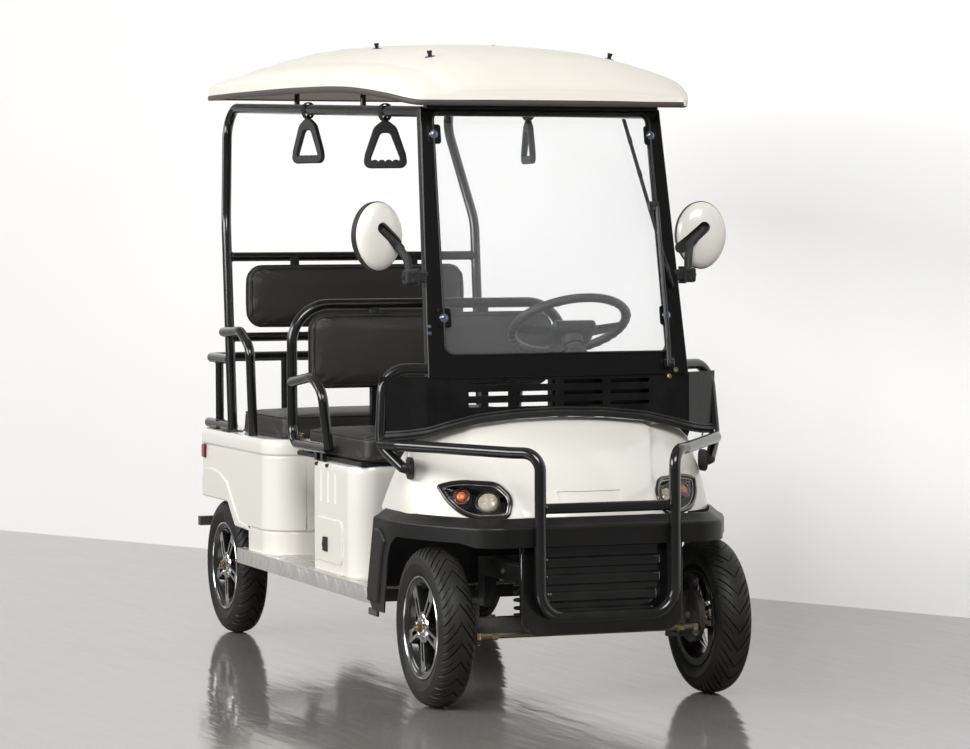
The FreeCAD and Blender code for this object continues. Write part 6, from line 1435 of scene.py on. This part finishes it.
for over, up in ((0.352, 0.012), (0.330, -0.006)):
    bolt(shape, (0.0008, over, up), (1, 0, 0), 0.0058, 0.0055, 1.3)
shape.transform(SCREEN_PLACE)
settle("spindle_nuts", shape, brass, smooth=40)

# ---- Bent tubes: roof frame, rack, seat frame, armrests, loops, guard and posts ----
# Round steel tube bent cold, welded at each joint and finished in gloss black powder. Weld beads ring the
# joints and feet end in small bolted plates.


def paint(node, material):
    """A carried-over CAD node's own slots take a material."""
    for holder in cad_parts[node].material_slots:
        holder.link = "OBJECT"
        holder.material = material


tube_gloss, *_ = finish("gloss_black_powder", (0.0055, 0.0055, 0.0055), 0.2, coat=0.35, Mottle=0.05,
                        Dust=0.10, Dust_Colour=(0.13, 0.12, 0.11, 1), Grain=0.3, Grain_Scale=240.0, Wear=0.15,
                        Wear_Colour=(0.05, 0.05, 0.05, 1))
for node in ("roof_frame", "rear_rack", "front_seat_frame", "armrests", "side_loops", "front_guard",
             "windscreen_posts", "steering_column"):
    paint(node, tube_gloss)


def bead(shape, place, along, radius, thick=0.0022):
    """Weld bead: a slightly wavy ring round a tube's end."""
    turn = Vector(along).to_track_quat("Z", "Y").to_matrix()
    path = [Vector(place) + turn @ Vector((radius * math.cos(angle), radius * math.sin(angle), 0))
            for angle in angles(40)]
    strand(shape, path, thick, 8, 0.2)


def post_x(height):
    """X of a rear post's middle at a height below its knee."""
    return -0.905 - 0.060 * (height - 0.662) / 0.683


def rail_place(along):
    """Half spacing and height of the roof rails."""
    share = (along + 1.130) / 1.886
    return 0.378 - 0.033 * share, 1.722 - 0.080 * share


POST_Y = 0.432
# x, y and the height of the foot of each rack leg
RACK_LEGS = ((-1.195, 0.165, 0.664), (-1.065, 0.430, 0.693))
RACK_TOP = 0.8805
shape = bmesh.new()
for side in (1, -1):
    for height in (1.230, 0.968):
        bead(shape, (post_x(height), side * 0.4165, height), (0, 1, 0), 0.0152)
    for along in (-0.760, -0.120, 0.616):
        half, height = rail_place(along)
        bead(shape, (along, side * (half - 0.0150), height), (0, 1, 0), 0.0128)
    for along, over, foot in RACK_LEGS:
        for height in (RACK_TOP, foot):
            bead(shape, (along, side * over, height), (0, 0, 1), 0.0136)
    bead(shape, (-0.940, side * 0.431, 0.895), (1, 0, 0), 0.0150)
    bead(shape, (1.270, side * 0.1815, 0.556), (0, 1, 0), 0.0144)
    bead(shape, (0.838, side * 0.488, 0.716), (0.45, -0.2 * side, 0), 0.0162)
    bead(shape, (post_x(0.662), side * POST_Y, 0.6635), (0, 0, 1), 0.0162)
    bead(shape, (-0.1835, side * 0.449, 0.8445), (1, 0.2 * side, 0), 0.0140)
settle("weld_beads", shape, tube_gloss, smooth=60)

shape = bmesh.new()
for side in (1, -1):
    block(shape, (-0.945, side * POST_Y - 0.026, 0.6605), (-0.868, side * POST_Y + 0.026, 0.6655), 0.0015)
    for along in (-0.935, -0.878):
        bolt(shape, (along, side * POST_Y, 0.6655), (0, 0, 1), 0.0060, 0.0045)
    for along, over, _ in RACK_LEGS:
        block(shape, (along - 0.020, side * over - 0.020, 0.6605),
              (along + 0.020, side * over + 0.020, 0.6645), 0.0012)
    for along in (0.052, 0.154):
        bolt(shape, (along, side * 0.4475, 0.6655), (0, 0, 1), 0.0052, 0.004)
    block(shape, (0.602, side * 0.412 - 0.030, 0.2995), (0.662, side * 0.412 + 0.022, 0.3045), 0.0015)
    for along in (0.611, 0.653):
        bolt(shape, (along, side * 0.392, 0.3045), (0, 0, 1), 0.0055, 0.0045)
    low, high = sorted((side * 0.4395, side * 0.4445))
    plate = block(shape, (0.876, low, 0.620), (0.938, high, 0.682))
    ease(shape, 0.020, segments=8, edges=[bar for bar in edges_of(plate) if bar.calc_length() < 0.0051])
    bolt(shape, (0.927, side * 0.4445, 0.672), (0, side, 0), 0.0050, 0.0038)
ease(shape, 0.0011, 70)
for side in (1, -1):
    tube_along(shape, [(0.8955, side * 0.4725, 0.6647), (0.9090, side * 0.4630, 0.6520),
                       (0.9090, side * 0.4440, 0.6500)],
               0.0149, (0.016,), 28)
    bead(shape, (0.9090, side * 0.4455, 0.6500), (0, 1, 0), 0.0150)
settle("foot_plates", shape, satin_black, smooth=35)

# Yellow-zinc hinge under the front corner of the seat, and the two pressed brackets beside it.
shape = bmesh.new()
for side in (1, -1):
    over = side * POST_Y
    block(shape, (-0.168, over - 0.0035, 0.640), (-0.128, over + 0.0035, 0.694), 0.0015)
    block(shape, (-0.160, over - 0.011, 0.668), (-0.134, over + 0.011, 0.677), 0.0015)
    bolt(shape, (-0.148, side * 0.4355, 0.684), (0, side, 0), 0.0055, 0.004)
    bolt(shape, (-0.148, side * 0.4355, 0.654), (0, side, 0), 0.0045, 0.003)
settle("seat_hinges", shape, brass, smooth=40)

# ---- Seat cushions and back pads ----
# Foam in black vinyl on plywood. Covers swell between a welted seam and the board that they are stapled to;
# the pressure that tightens them is worked out as cloth, and the seams are laid on afterwards.


def emboss(tree, shader, height, strength, distance):
    """Lay a finer relief over the one that the shader has."""
    relief = add(tree, "Bump", Height=height, Strength=strength, Distance=distance)
    tree.links.new(shader.inputs["Normal"].links[0].from_socket, relief.inputs["Normal"])
    tree.links.new(relief.outputs[0], shader.inputs["Normal"])


vinyl, tree, shader = finish("black_vinyl", (0.0270, 0.0250, 0.0235), 0.42, specular=0.42, Mottle=0.07,
                             Mottle_Scale=5.0, Dust=0.07, Dust_Colour=(0.16, 0.15, 0.14, 1), Grain=0.5,
                             Grain_Scale=620.0, Wear=0.1, Wear_Colour=(0.03, 0.03, 0.03, 1), bump=0.0007)
pores = add(tree, "TexVoronoi", {"feature": "DISTANCE_TO_EDGE"}, Vector=where_in(tree),
            Scale=330.0).outputs[0]
emboss(tree, shader, ranged(tree, pores, 0.0, 0.25), 0.35, 0.0004)
welt_vinyl, *_ = finish("welt_vinyl", (0.010, 0.0098, 0.0095), 0.33, specular=0.45, Mottle=0.05, Dust=0.05,
                        Grain=0.5, Grain_Scale=700.0)
VOXEL = 0.006
FRAMES = 20
SHY = 0.006


def rounded_loop(half_a, half_b, radius, spacing=0.003):
    """Evenly spaced points round a rectangle with rounded corners."""
    spots = []
    for start, (a, b) in enumerate(((1, 1), (-1, 1), (-1, -1), (1, -1))):
        steps = max(4, int(radius * math.pi / 2 / spacing))
        for step in range(steps):
            turn = math.radians(90 * (start + step / steps))
            spots.append((a * (half_a - radius) + radius * math.cos(turn),
                          b * (half_b - radius) + radius * math.sin(turn)))
        run = 2 * ((half_a if start % 2 == 0 else half_b) - radius)
        turn = math.radians(90 * (start + 1))
        corner = (a * (half_a - radius) + radius * math.cos(turn),
                  b * (half_b - radius) + radius * math.sin(turn))
        way = (-math.sin(turn), math.cos(turn))
        steps = max(1, int(run / spacing))
        spots += [(corner[0] + way[0] * run * step / steps, corner[1] + way[1] * run * step / steps)
                  for step in range(steps)]
    return spots


def evaluated(item):
    """Bmesh of an object as its modifiers leave it."""
    done = item.evaluated_get(bpy.context.evaluated_depsgraph_get())
    fresh = bmesh.new()
    fresh.from_mesh(done.to_mesh())
    done.to_mesh_clear()
    return fresh


def tighten(item, shape, held, swell):
    """Let air pressure swell a cover as cloth, and limit how far each point moves."""
    item.vertex_groups.new(name="held").add(held, 1.0, "REPLACE")
    cloth = item.modifiers.new("cloth", "CLOTH")
    cloth.settings.quality = 4
    cloth.settings.mass = 0.3
    cloth.settings.tension_stiffness = 18
    cloth.settings.compression_stiffness = 14
    cloth.settings.bending_stiffness = 1.5
    cloth.settings.use_pressure = True
    cloth.settings.uniform_pressure_force = 4.0
    cloth.settings.effector_weights.gravity = 0
    cloth.settings.vertex_group_mass = "held"
    cloth.collision_settings.use_collision = False
    cloth.point_cache.frame_end = FRAMES
    for number in range(1, FRAMES + 1):
        bpy.context.scene.frame_set(number)
    swollen = evaluated(item)
    swollen.verts.ensure_lookup_table()
    for vert in shape.verts:
        move = swollen.verts[vert.index].co - vert.co
        if move.length > 1e-9:
            vert.co += move * (swell * (1 - math.exp(-move.length / swell)) / move.length)
    swollen.free()
    item.modifiers.clear()
    item.vertex_groups.clear()
    bpy.context.scene.frame_set(1)


def upholstered(node, low, high, corner, facing, hollow, swell, seams):
    """Cushion or pad: a rounded block tightened from inside, flat at its board, its seams laid on last."""
    low, high = Vector(low), Vector(high)
    middle, half = (low + high) / 2, (high - low) / 2
    across, up, out = (0, 1, 2) if facing == "Z" else (1, 2, 0)

    def place(a, b, share):
        spot = middle.copy()
        spot[across] += a
        spot[up] += b
        spot[out] = low[out] + share * (high[out] - low[out])
        return spot

    shape = bmesh.new()
    ring = rounded_loop(half[across] - SHY, half[up] - SHY, corner, 0.006)
    face = shape.faces.new([shape.verts.new(place(a, b, 0)) for a, b in ring])
    raise_faces(shape, [face], place(0, 0, 1) - place(0, 0, SHY / (high[out] - low[out])))
    bmesh.ops.recalc_face_normals(shape, faces=shape.faces)
    mesh = mesh_of(node + "_cover", shape)
    item = link(node + "_cover", mesh)
    voxels = item.modifiers.new("voxels", "REMESH")
    voxels.mode = "VOXEL"
    voxels.voxel_size = VOXEL
    shape = evaluated(item)
    item.modifiers.clear()
    bmesh.ops.smooth_vert(shape, verts=[vert for vert in shape.verts if vert.co[out] > middle[out]],
                          factor=0.5, use_axis_x=True, use_axis_y=True, use_axis_z=True)
    for vert in shape.verts:
        a = abs(vert.co[across] - middle[across]) / half[across]
        b = abs(vert.co[up] - middle[up]) / half[up]
        height = max(0.0, (vert.co[out] - low[out]) / (high[out] - low[out]))
        vert.co[out] -= hollow * height * (1 - max(0.0, 1 - a ** 3) * max(0.0, 1 - b ** 3))
    shape.to_mesh(mesh)
    tighten(item, shape, [vert.index for vert in shape.verts if vert.co[out] < low[out] + 0.009], swell)
    shape.to_mesh(mesh)
    shape.free()
    item.modifiers.new("smooth", "SUBSURF").levels = 1
    shape = evaluated(item)
    item.modifiers.clear()
    board = [face for face in shape.faces if all(vert.co[out] < low[out] + 0.0012 for vert in face.verts)]
    bmesh.ops.dissolve_faces(shape, faces=board, use_verts=False)
    surface = BVHTree.FromBMesh(shape)
    paths = []
    for inset, share, radius, groove in seams:
        path = []
        for a, b in rounded_loop(half[across] - inset, half[up] - inset, max(0.012, corner - inset)):
            near, normal, *_ = surface.find_nearest(place(a, b, share))
            path.append(near + normal * (radius * 0.5 - groove))
        paths.append((path, radius, groove))
    for path, radius, groove in paths:
        line = KDTree(len(path))
        for index, spot in enumerate(path):
            line.insert(spot, index)
        line.balance()
        shape.normal_update()
        moves = [(vert, line.find(vert.co)[2]) for vert in shape.verts]
        for vert, distance in moves:
            if distance < 0.016:
                vert.co -= vert.normal * groove * math.exp(-(distance / 0.0065) ** 2)
    for face in shape.faces:
        face.smooth = True
    for path, radius, groove in paths:
        before = set(shape.faces)
        strand(shape, path, radius)
        tint(shape, before, 1)
    bpy.data.objects.remove(item)
    item = settle(node + "_cover", shape, (vinyl, welt_vinyl), smooth=60, stands_for=(node,),
                  merge=1e-7)
    return item


# inset from the outline, share of the height, cord's radius, groove's depth
CUSHION_SEAMS = ((0.010, 1.0, 0.0030, 0.0020), (0.000, 0.10, 0.0026, 0.0012))
PAD_SEAMS = ((0.013, 1.0, 0.0026, 0.0022), (0.000, 0.35, 0.0022, 0.0010))
upholstered("front_cushion", (-0.150, -0.425, 0.6373), (0.440, 0.425, 0.722), 0.036, "Z", 0.011, 0.006,
            CUSHION_SEAMS)
upholstered("rear_cushion", (-0.860, -0.424, 0.6623), (-0.385, 0.424, 0.745), 0.036, "Z", 0.011, 0.006,
            CUSHION_SEAMS)
upholstered("front_back_pad", (-0.183, -0.405, 0.822), (-0.138, 0.405, 1.066), 0.055, "X", 0.007, 0.005,
            PAD_SEAMS)
upholstered("rear_back_pad", (-0.940, -0.382, 0.992), (-0.895, 0.382, 1.210), 0.055, "X", 0.007, 0.005,
            PAD_SEAMS)
paint("front_seat_board", grained_black)

# ---- Roof ----
# One cream vacuum-formed shell, crowned along and across, with soft creases that cross over its middle. Its
# rim is turned down all round and edged with a dark strip; four bolts hold it on studs.

# share of the length from the back, share of the half width, rim's underside, crown's top
ROOF_ROWS = (
    (0.00, 0.80, 1.758, 1.800), (0.05, 0.94, 1.752, 1.842), (0.30, 1.00, 1.742, 1.886),
    (0.58, 1.00, 1.730, 1.870), (0.78, 0.99, 1.714, 1.842), (0.93, 0.96, 1.684, 1.800),
    (1.00, 0.935, 1.660, 1.760),
)
ROOF_BACK = -1.262
ROOF_LENGTH = 2.140
ROOF_HALF = 0.462
ROOF_RIM = 0.034
ROOF_STATIONS = 84
ROOF_TURN = 0.075
ROOF_CORNER = 0.085
# share of the half width, share of the height from the rim's top to the crown; first the rim's own foot
ROOF_SECTION = ((1.000, None), (1.000, 0.0), (0.985, 0.14), (0.955, 0.255), (0.91, 0.365), (0.86, 0.45),
                (0.80, 0.535), (0.72, 0.64), (0.62, 0.76), (0.50, 0.88), (0.38, 0.935), (0.25, 0.972),
                (0.12, 0.993), (0.0, 1.0))


def smooth_row(share):
    """Width share, rim and crown at a place along the roof, on a smooth curve through the rows."""
    index = max(number for number in range(len(ROOF_ROWS) - 1) if ROOF_ROWS[number][0] <= share)
    here, there = ROOF_ROWS[index], ROOF_ROWS[index + 1]
    before = ROOF_ROWS[max(0, index - 1)]
    after = ROOF_ROWS[min(len(ROOF_ROWS) - 1, index + 2)]
    run = there[0] - here[0]
    t = (share - here[0]) / run
    values = []
    for column in (1, 2, 3):
        slope_here = (there[column] - before[column]) / (there[0] - before[0]) * run
        slope_there = (after[column] - here[column]) / (after[0] - here[0]) * run
        values.append((2 * t ** 3 - 3 * t ** 2 + 1) * here[column] + (t ** 3 - 2 * t ** 2 + t) * slope_here
                      + (3 * t ** 2 - 2 * t ** 3) * there[column] + (t ** 3 - t ** 2) * slope_there)
    width, rim, crown = values
    lip = ROOF_RIM
    for run in (1 - share, share * 1.6):
        if run < ROOF_TURN:
            bow = math.sqrt(max(0.0, 1 - (1 - run / ROOF_TURN) ** 2))
            crown = rim + 0.010 + (crown - rim - 0.010) * bow
            lip = 0.006 + (lip - 0.006) * bow
            width *= 1 - ROOF_CORNER * (1 - bow)
    return width, rim, crown, lip


def roof_crease(along, over):
    """Height that the crossed creases and the edge channel add to the crown."""
    from_middle = abs(along + 0.14)
    diagonal = abs(over) - (0.075 + 0.30 * min(1.0, from_middle / 0.86))
    fade = max(0.0, min(1.0, (0.92 - from_middle) / 0.12)) * max(0.0, min(1.0, (0.42 - abs(over)) / 0.05))
    step = 0.0035 * math.tanh(-diagonal / 0.008)
    return fade * (step - 0.0022 * math.exp(-(diagonal / 0.010) ** 2))


roof_cream, *_ = finish("cream_roof_moulding", (0.80, 0.765, 0.685), 0.46, specular=0.25, Mottle=0.015,
                        Mottle_Scale=1.5, Dust=0.08, Dust_Colour=(0.55, 0.50, 0.42, 1), Grain=0.3,
                        Grain_Scale=110.0, Wear=0.05, Wear_Colour=(0.86, 0.84, 0.78, 1))
trim_strip, *_ = finish("roof_edge_strip", (0.062, 0.050, 0.045), 0.48, Mottle=0.15, Mottle_Scale=12.0,
                        Dust=0.1, Dust_Colour=(0.16, 0.14, 0.13, 1), Grain=0.6, Wear=0.1,
                        Wear_Colour=(0.12, 0.10, 0.09, 1))
shape = bmesh.new()
section = list(ROOF_SECTION) + [(-share, level) for share, level in reversed(ROOF_SECTION[:-1])]
shares = [0.5 - 0.5 * math.cos(math.pi * step / ROOF_STATIONS) for step in range(ROOF_STATIONS + 1)]
shares = [0.80 * curved + 0.20 * step / ROOF_STATIONS for step, curved in enumerate(shares)]
lines = []
feet = []
for share in shares:
    width, rim, crown, lip = smooth_row(min(share, 0.99999))
    along = ROOF_BACK + share * ROOF_LENGTH
    rim_top = min(rim + lip, crown - 0.003)
    line = []
    for part, level in section:
        over = part * width * ROOF_HALF
        up = rim if level is None else rim_top + level * (crown - rim_top) + level * roof_crease(along, over)
        line.append(shape.verts.new((along, over, up)))
    lines.append(line)
    feet.append((line[0].co.copy(), line[-1].co.copy()))
for one, two in zip(lines, lines[1:]):
    for step in range(len(section) - 1):
        shape.faces.new((one[step], two[step], two[step + 1], one[step + 1]))
for line in (lines[0], lines[-1]):
    low = [shape.verts.new((line[0].co.x, vert.co.y, line[0].co.z)) for vert in line[1:-1]]
    low = [line[0]] + low + [line[-1]]
    for step in range(len(section) - 1):
        corners = [line[step], line[step + 1], low[step + 1], low[step]]
        if step == 0:
            corners = [line[0], line[1], low[1]]
        elif step == len(section) - 2:
            corners = [line[step], line[step + 1], low[step]]
        shape.faces.new(corners)
bmesh.ops.remove_doubles(shape, verts=shape.verts, dist=1e-6)
ease(shape, 0.003, 48, segments=3)
roof_shell = carved("roof_shell", shape, wall=0.0042)
ease(roof_shell, 0.0012, 60)
roof_probe = roof_shell.copy()
settle("roof_shell", roof_shell, roof_cream, smooth=40, stands_for=("roof",))


shape = bmesh.new()
right, left = [pair[1] for pair in feet], [pair[0] for pair in feet]
back = [left[0].lerp(right[0], step / 40) for step in range(1, 40)]
front = [right[-1].lerp(left[-1], step / 40) for step in range(1, 40)]
path = right + front + left[::-1] + back
strand(shape, [Vector((spot.x * 1.0005, spot.y * 0.998, spot.z + 0.0034)) for spot in path], 0.0042, 12)
for vert in shape.verts:
    share = (vert.co.x - ROOF_BACK) / ROOF_LENGTH
    foot = smooth_row(min(max(share, 0.0), 0.99999))[1] + 0.0034
    vert.co.z = foot + (vert.co.z - foot) * (1.95 + 0.45 * max(0.0, math.sin(math.pi * share)))
settle("roof_edge_strip", shape, trim_strip, smooth=60)

shape = bmesh.new()
surface = BVHTree.FromBMesh(roof_probe)
for along, over in ((-0.120, 0.190), (0.616, 0.275)):
    for side in (1, -1):
        spot, normal, *_ = surface.ray_cast(Vector((along, side * over, 2.2)), Vector((0, 0, -1)))
        before = set(shape.faces)
        turned(shape, [(0, -0.001), (0.0155, -0.001), (0.0155, 0.0008), (0.0140, 0.0022), (0.0085, 0.0030),
                       (0, 0.0030)],
               (0, 0, 0), "Z", 28)
        blued = set(shape.faces)
        rod(shape, (0, 0, 0.0030), (0, 0, 0.0100), 0.0062, 6)
        rod(shape, (0, 0, 0.0100), (0, 0, 0.0160), 0.0066, 24, 0.0080)
        rod(shape, (0, 0, 0.0160), (0, 0, 0.0180), 0.0080, 24, 0.0066)
        for face in shape.faces:
            if face not in blued:
                face.material_index = 1
        made = {vert for face in shape.faces if face not in before for vert in face.verts}
        place = Matrix.Translation(spot) @ normal.to_track_quat("Z", "Y").to_matrix().to_4x4()
        bmesh.ops.transform(shape, matrix=place, verts=list(made))
roof_probe.free()
settle("roof_bolts", shape, (bolt_blue, frame_black), smooth=35)

# ---- Mirrors ----
# White egg-shaped shells with a black surround and a glass behind. Each hangs on a black bent arm that leaves
# the shell through a slanting recess and is clamped to the windscreen pillar.

mirror_glass, *_ = finish("mirror_silver", (0.82, 0.83, 0.84), 0.02, metallic=1.0, Mottle=0.01, Dust=0.03,
                          Wear=0.0, Grain=0.0)
HEAD_PLACE = Matrix.Translation((0.790, -0.490, 1.293)) @ swing(12, "Z")
HEAD_HALF_WIDTH = 0.074
HEAD_HALF_HEIGHT = 0.098


def egg(shape, rings, steps=56):
    """Shell through rings of (distance forward, share of the outline); a share of 0 closes it at a point."""
    loops = []
    for forward, share in rings:
        if share == 0:
            loops.append([shape.verts.new((forward, 0.004, 0))])
            continue
        loop = []
        for turn in angles(steps):
            over, up = math.cos(turn), math.sin(turn)
            narrow = 1 - 0.10 * max(0.0, -up) ** 1.5
            loop.append(shape.verts.new((forward, over * share * HEAD_HALF_WIDTH * narrow,
                                         up * share * HEAD_HALF_HEIGHT)))
        loops.append(loop)
    for one, two in zip(loops, loops[1:]):
        for step in range(steps):
            after = (step + 1) % steps
            if len(two) == 1:
                shape.faces.new((one[step], one[after], two[0]))
            elif len(one) == 1:
                shape.faces.new((one[0], two[after], two[step]))
            else:
                shape.faces.new((one[step], one[after], two[after], two[step]))


def slanting_slot(shape, grow, low, high):
    """Rounded slot that slants from the shell's middle down to its inner edge."""
    start, end = Vector((0, -0.004, 0.022)), Vector((0, 0.062, -0.036))
    run = (end - start).normalized()
    side = Vector((0, run.z, -run.y))
    half = 0.0165 + grow
    ring = []
    for step in range(13):
        turn = math.pi * step / 12
        ring.append(start + side * half * math.cos(turn) - run * half * math.sin(turn))
    for step in range(13):
        turn = math.pi * step / 12
        ring.append(end - side * half * math.cos(turn) + run * half * math.sin(turn))
    prism(shape, [(spot.y, spot.z) for spot in ring], low, high, "X")


heads = bmesh.new()
egg(heads, [(-0.006, 0.0), (-0.006, 0.55), (-0.006, 0.955), (-0.003, 0.975), (0.004, 0.972), (0.013, 0.925),
            (0.021, 0.81), (0.0265, 0.63), (0.0295, 0.42), (0.0308, 0.20), (0.0312, 0.0)])
slot_tool = bmesh.new()
slanting_slot(slot_tool, 0.0, 0.0065, 0.06)
heads = carved("mirror_shells", heads, slot_tool)
ease(heads, 0.0016, 40)
heads.transform(HEAD_PLACE)
mirrored(heads)
settle("mirror_shells", heads, gloss_white, smooth=45, stands_for=("mirrors",))

shape = bmesh.new()
egg(shape, [(-0.0045, 0.90), (-0.0045, 0.999), (-0.0070, 1.0), (-0.0290, 0.985), (-0.0320, 0.965),
            (-0.0320, 0.935), (-0.0290, 0.920), (-0.0270, 0.915), (-0.0250, 0.60), (-0.0045, 0.60),
            (-0.0045, 0.90)])
slanting_slot(shape, -0.0004, 0.0035, 0.0105)
shape.transform(HEAD_PLACE)
mirrored(shape)
settle("mirror_surrounds", shape, grained_black, smooth=45)
shape = bmesh.new()
egg(shape, [(-0.0262, 0.0), (-0.0262, 0.905), (-0.0282, 0.912), (-0.0286, 0.895), (-0.0286, 0.0)])
shape.transform(HEAD_PLACE)
mirrored(shape)
settle("mirror_glasses", shape, mirror_glass, smooth=45)

shape = bmesh.new()
ARM = [(0.8060, -0.4900, 1.3100), (0.8140, -0.4420, 1.2640), (0.8440, -0.4260, 1.2300),
       (0.8545, -0.4200, 1.1800)]
made = tube_along(shape, ARM, 0.0118, (0.024, 0.020), 24)
for vert in made:
    swell = 1 + 0.22 * max(0.0, min(1.0, (vert.co.z - 1.24) / 0.05))
    vert.co.x = 0.812 + (vert.co.x - 0.812) * (swell if vert.co.z > 1.24 else 1)
block(shape, (0.8340, -0.4390, 1.1580), (0.8745, -0.3980, 1.2010), 0.008, 4)
block(shape, (0.8385, -0.4080, 1.1640), (0.8705, -0.3700, 1.1950), 0.005, 4)
block(shape, (0.8320, -0.4060, 1.1550), (0.8765, -0.3990, 1.2040), 0.002, 3)
for up in (1.1690, 1.1900):
    bolt(shape, (0.8745, -0.4180, up), (1, 0, 0), 0.0045, 0.003)
bolt(shape, (0.8545, -0.4390, 1.1800), (0, -1, 0), 0.0065, 0.004)
mirrored(shape)
settle("mirror_arms", shape, grained_black, smooth=45)

# ---- Hand straps ----
# Rounded triangular handles in black plastic with finger waves along the grip, each on a metal link and a
# webbing loop round the roof rail.

webbing, tree, shader = finish("strap_webbing", (0.014, 0.014, 0.014), 0.7, specular=0.3, Dust=0.15,
                               Grain=0.3, bump=0.0008)
weave = add(tree, "TexWave", {"bands_direction": "DIAGONAL"}, Vector=where_in(tree),
            Scale=260.0).outputs[0]
emboss(tree, shader, weave, 0.5, 0.0006)


def rounded_outline(corners, steps=7):
    """Outline with each corner (a, b, radius) turned as an arc."""
    ring = []
    count = len(corners)
    for index, (a, b, radius) in enumerate(corners):
        here = Vector((a, b))
        back = (Vector(corners[index - 1][:2]) - here).normalized()
        onward = (Vector(corners[(index + 1) % count][:2]) - here).normalized()
        half = back.angle(onward) / 2
        centre = here + (back + onward).normalized() * (radius / math.sin(half))
        first = here + back * (radius / math.tan(half)) - centre
        last = here + onward * (radius / math.tan(half)) - centre
        sweep = first.angle_signed(last)
        for step in range(steps + 1):
            turn = -sweep * step / steps
            ring.append((centre.x + first.x * math.cos(turn) - first.y * math.sin(turn),
                         centre.y + first.x * math.sin(turn) + first.y * math.cos(turn)))
    return ring


# over, up, corner radius
HANDLE = ((-0.0660, -0.1370, 0.020), (0.0660, -0.1370, 0.020), (0.0600, -0.0960, 0.050),
          (0.0330, -0.0180, 0.030), (0.0100, 0.0, 0.010), (-0.0100, 0.0, 0.010), (-0.0330, -0.0180, 0.030),
          (-0.0600, -0.0960, 0.050))
GRIP = ((0.0465, -0.1180, 0.009), (0.0140, -0.0350, 0.013), (-0.0140, -0.0350, 0.013),
        (-0.0465, -0.1180, 0.009))
shape = bmesh.new()
links_shape = bmesh.new()
for along, side, turn in ((0.435, -1, 62), (-0.275, -1, 30), (-0.275, 1, -6)):
    half, level = rail_place(along)
    place = Matrix.Translation((along, side * half, level - 0.0285)) @ swing(turn, "Z")
    handle = bmesh.new()
    prism(handle, rounded_outline(HANDLE), -0.0088, 0.0088, "Y")
    hole = bmesh.new()
    prism(hole, rounded_outline(GRIP), -0.05, 0.05, "Y")
    handle = carved("handle", handle, hole)
    ease(handle, 0.0042, 50, segments=4)
    for number in range(4):
        over = (number - 1.5) * 0.0205
        rod(handle, (over, -0.0080, -0.1215), (over, 0.0080, -0.1215), 0.0098, 28)
    handle.transform(place)
    piece = mesh_of("handle_part", handle)
    shape.from_mesh(piece)
    bpy.data.meshes.remove(piece)
    ring = [place @ Vector((0.0075 * math.cos(angle), 0, 0.0015 + 0.0085 * math.sin(angle)))
            for angle in angles(24)]
    strand(links_shape, ring, 0.0016, 8)
    belt = []
    for angle in angles(32):
        drop = 1.25 if math.sin(angle) > 0 else 1.65
        belt.append(Vector((along, side * half + 0.0172 * math.cos(angle),
                            level + 0.0172 * drop * math.sin(angle))))
    before = set(links_shape.faces)
    strand(links_shape, belt, 0.0020, 8)
    made = {vert for face in links_shape.faces if face not in before for vert in face.verts}
    for vert in made:
        vert.co.x = along + (vert.co.x - along) * 9.0
    block(links_shape, (along - 0.0086, side * half - 0.0034, level - 0.0275),
          (along + 0.0086, side * half + 0.0034, level - 0.0160), 0.0012)
    tint(links_shape, before, 1)
settle("strap_handles", shape, grained_black, smooth=50, stands_for=("hand_straps",))
settle("strap_links", links_shape, (zinc, webbing), smooth=60)

# ---- Rear lamps, side markers, rear bumper ----
# Red lamps in black surrounds on the tail, small red markers low on the rear corners, and a tube bumper with
# a tow tongue.

red_lens, tree, shader = finish("red_lamp_lens", (0.38, 0.012, 0.010), 0.14, coat=0.8, Mottle=0.2,
                                Mottle_Scale=50.0, Dust=0.05, Grain=0.0)
facets = add(tree, "TexVoronoi", {"distance": "CHEBYCHEV"}, Vector=where_in(tree),
             Scale=170.0, Randomness=0.0).outputs[0]
prisms = add(tree, "Bump", Height=facets, Strength=0.6, Distance=0.001)
tree.links.new(prisms.outputs[0], shader.inputs["Normal"])
shape = bmesh.new()
lenses = bmesh.new()
for side in (1, -1):
    over = side * 0.314
    block(shape, (-1.2185, over - 0.0600, 0.5100), (-1.2135, over + 0.0600, 0.5740), 0.0020, 3)
    for low, high in ((-0.0560, 0.0130), (0.0150, 0.0560)):
        block(lenses, (-1.2255, over + min(side * low, side * high), 0.5140),
              (-1.2175, over + max(side * low, side * high), 0.5700), 0.0036, 5)
    block(shape, (-1.1535, side * 0.4660 - 0.0018, 0.5645),
          (-1.1185, side * 0.4660 + 0.0018, 0.6095), 0.0014, 3)
    block(lenses, (-1.1505, side * 0.4690 - 0.0022, 0.5675), (-1.1215, side * 0.4690 + 0.0022, 0.6065),
          0.0018, 4)
settle("rear_lamp_lenses", lenses, red_lens, smooth=45, stands_for=("rear_lamps",))
settle("rear_lamp_surrounds", shape, grained_black, smooth=45)
paint("rear_bumper", satin_black)
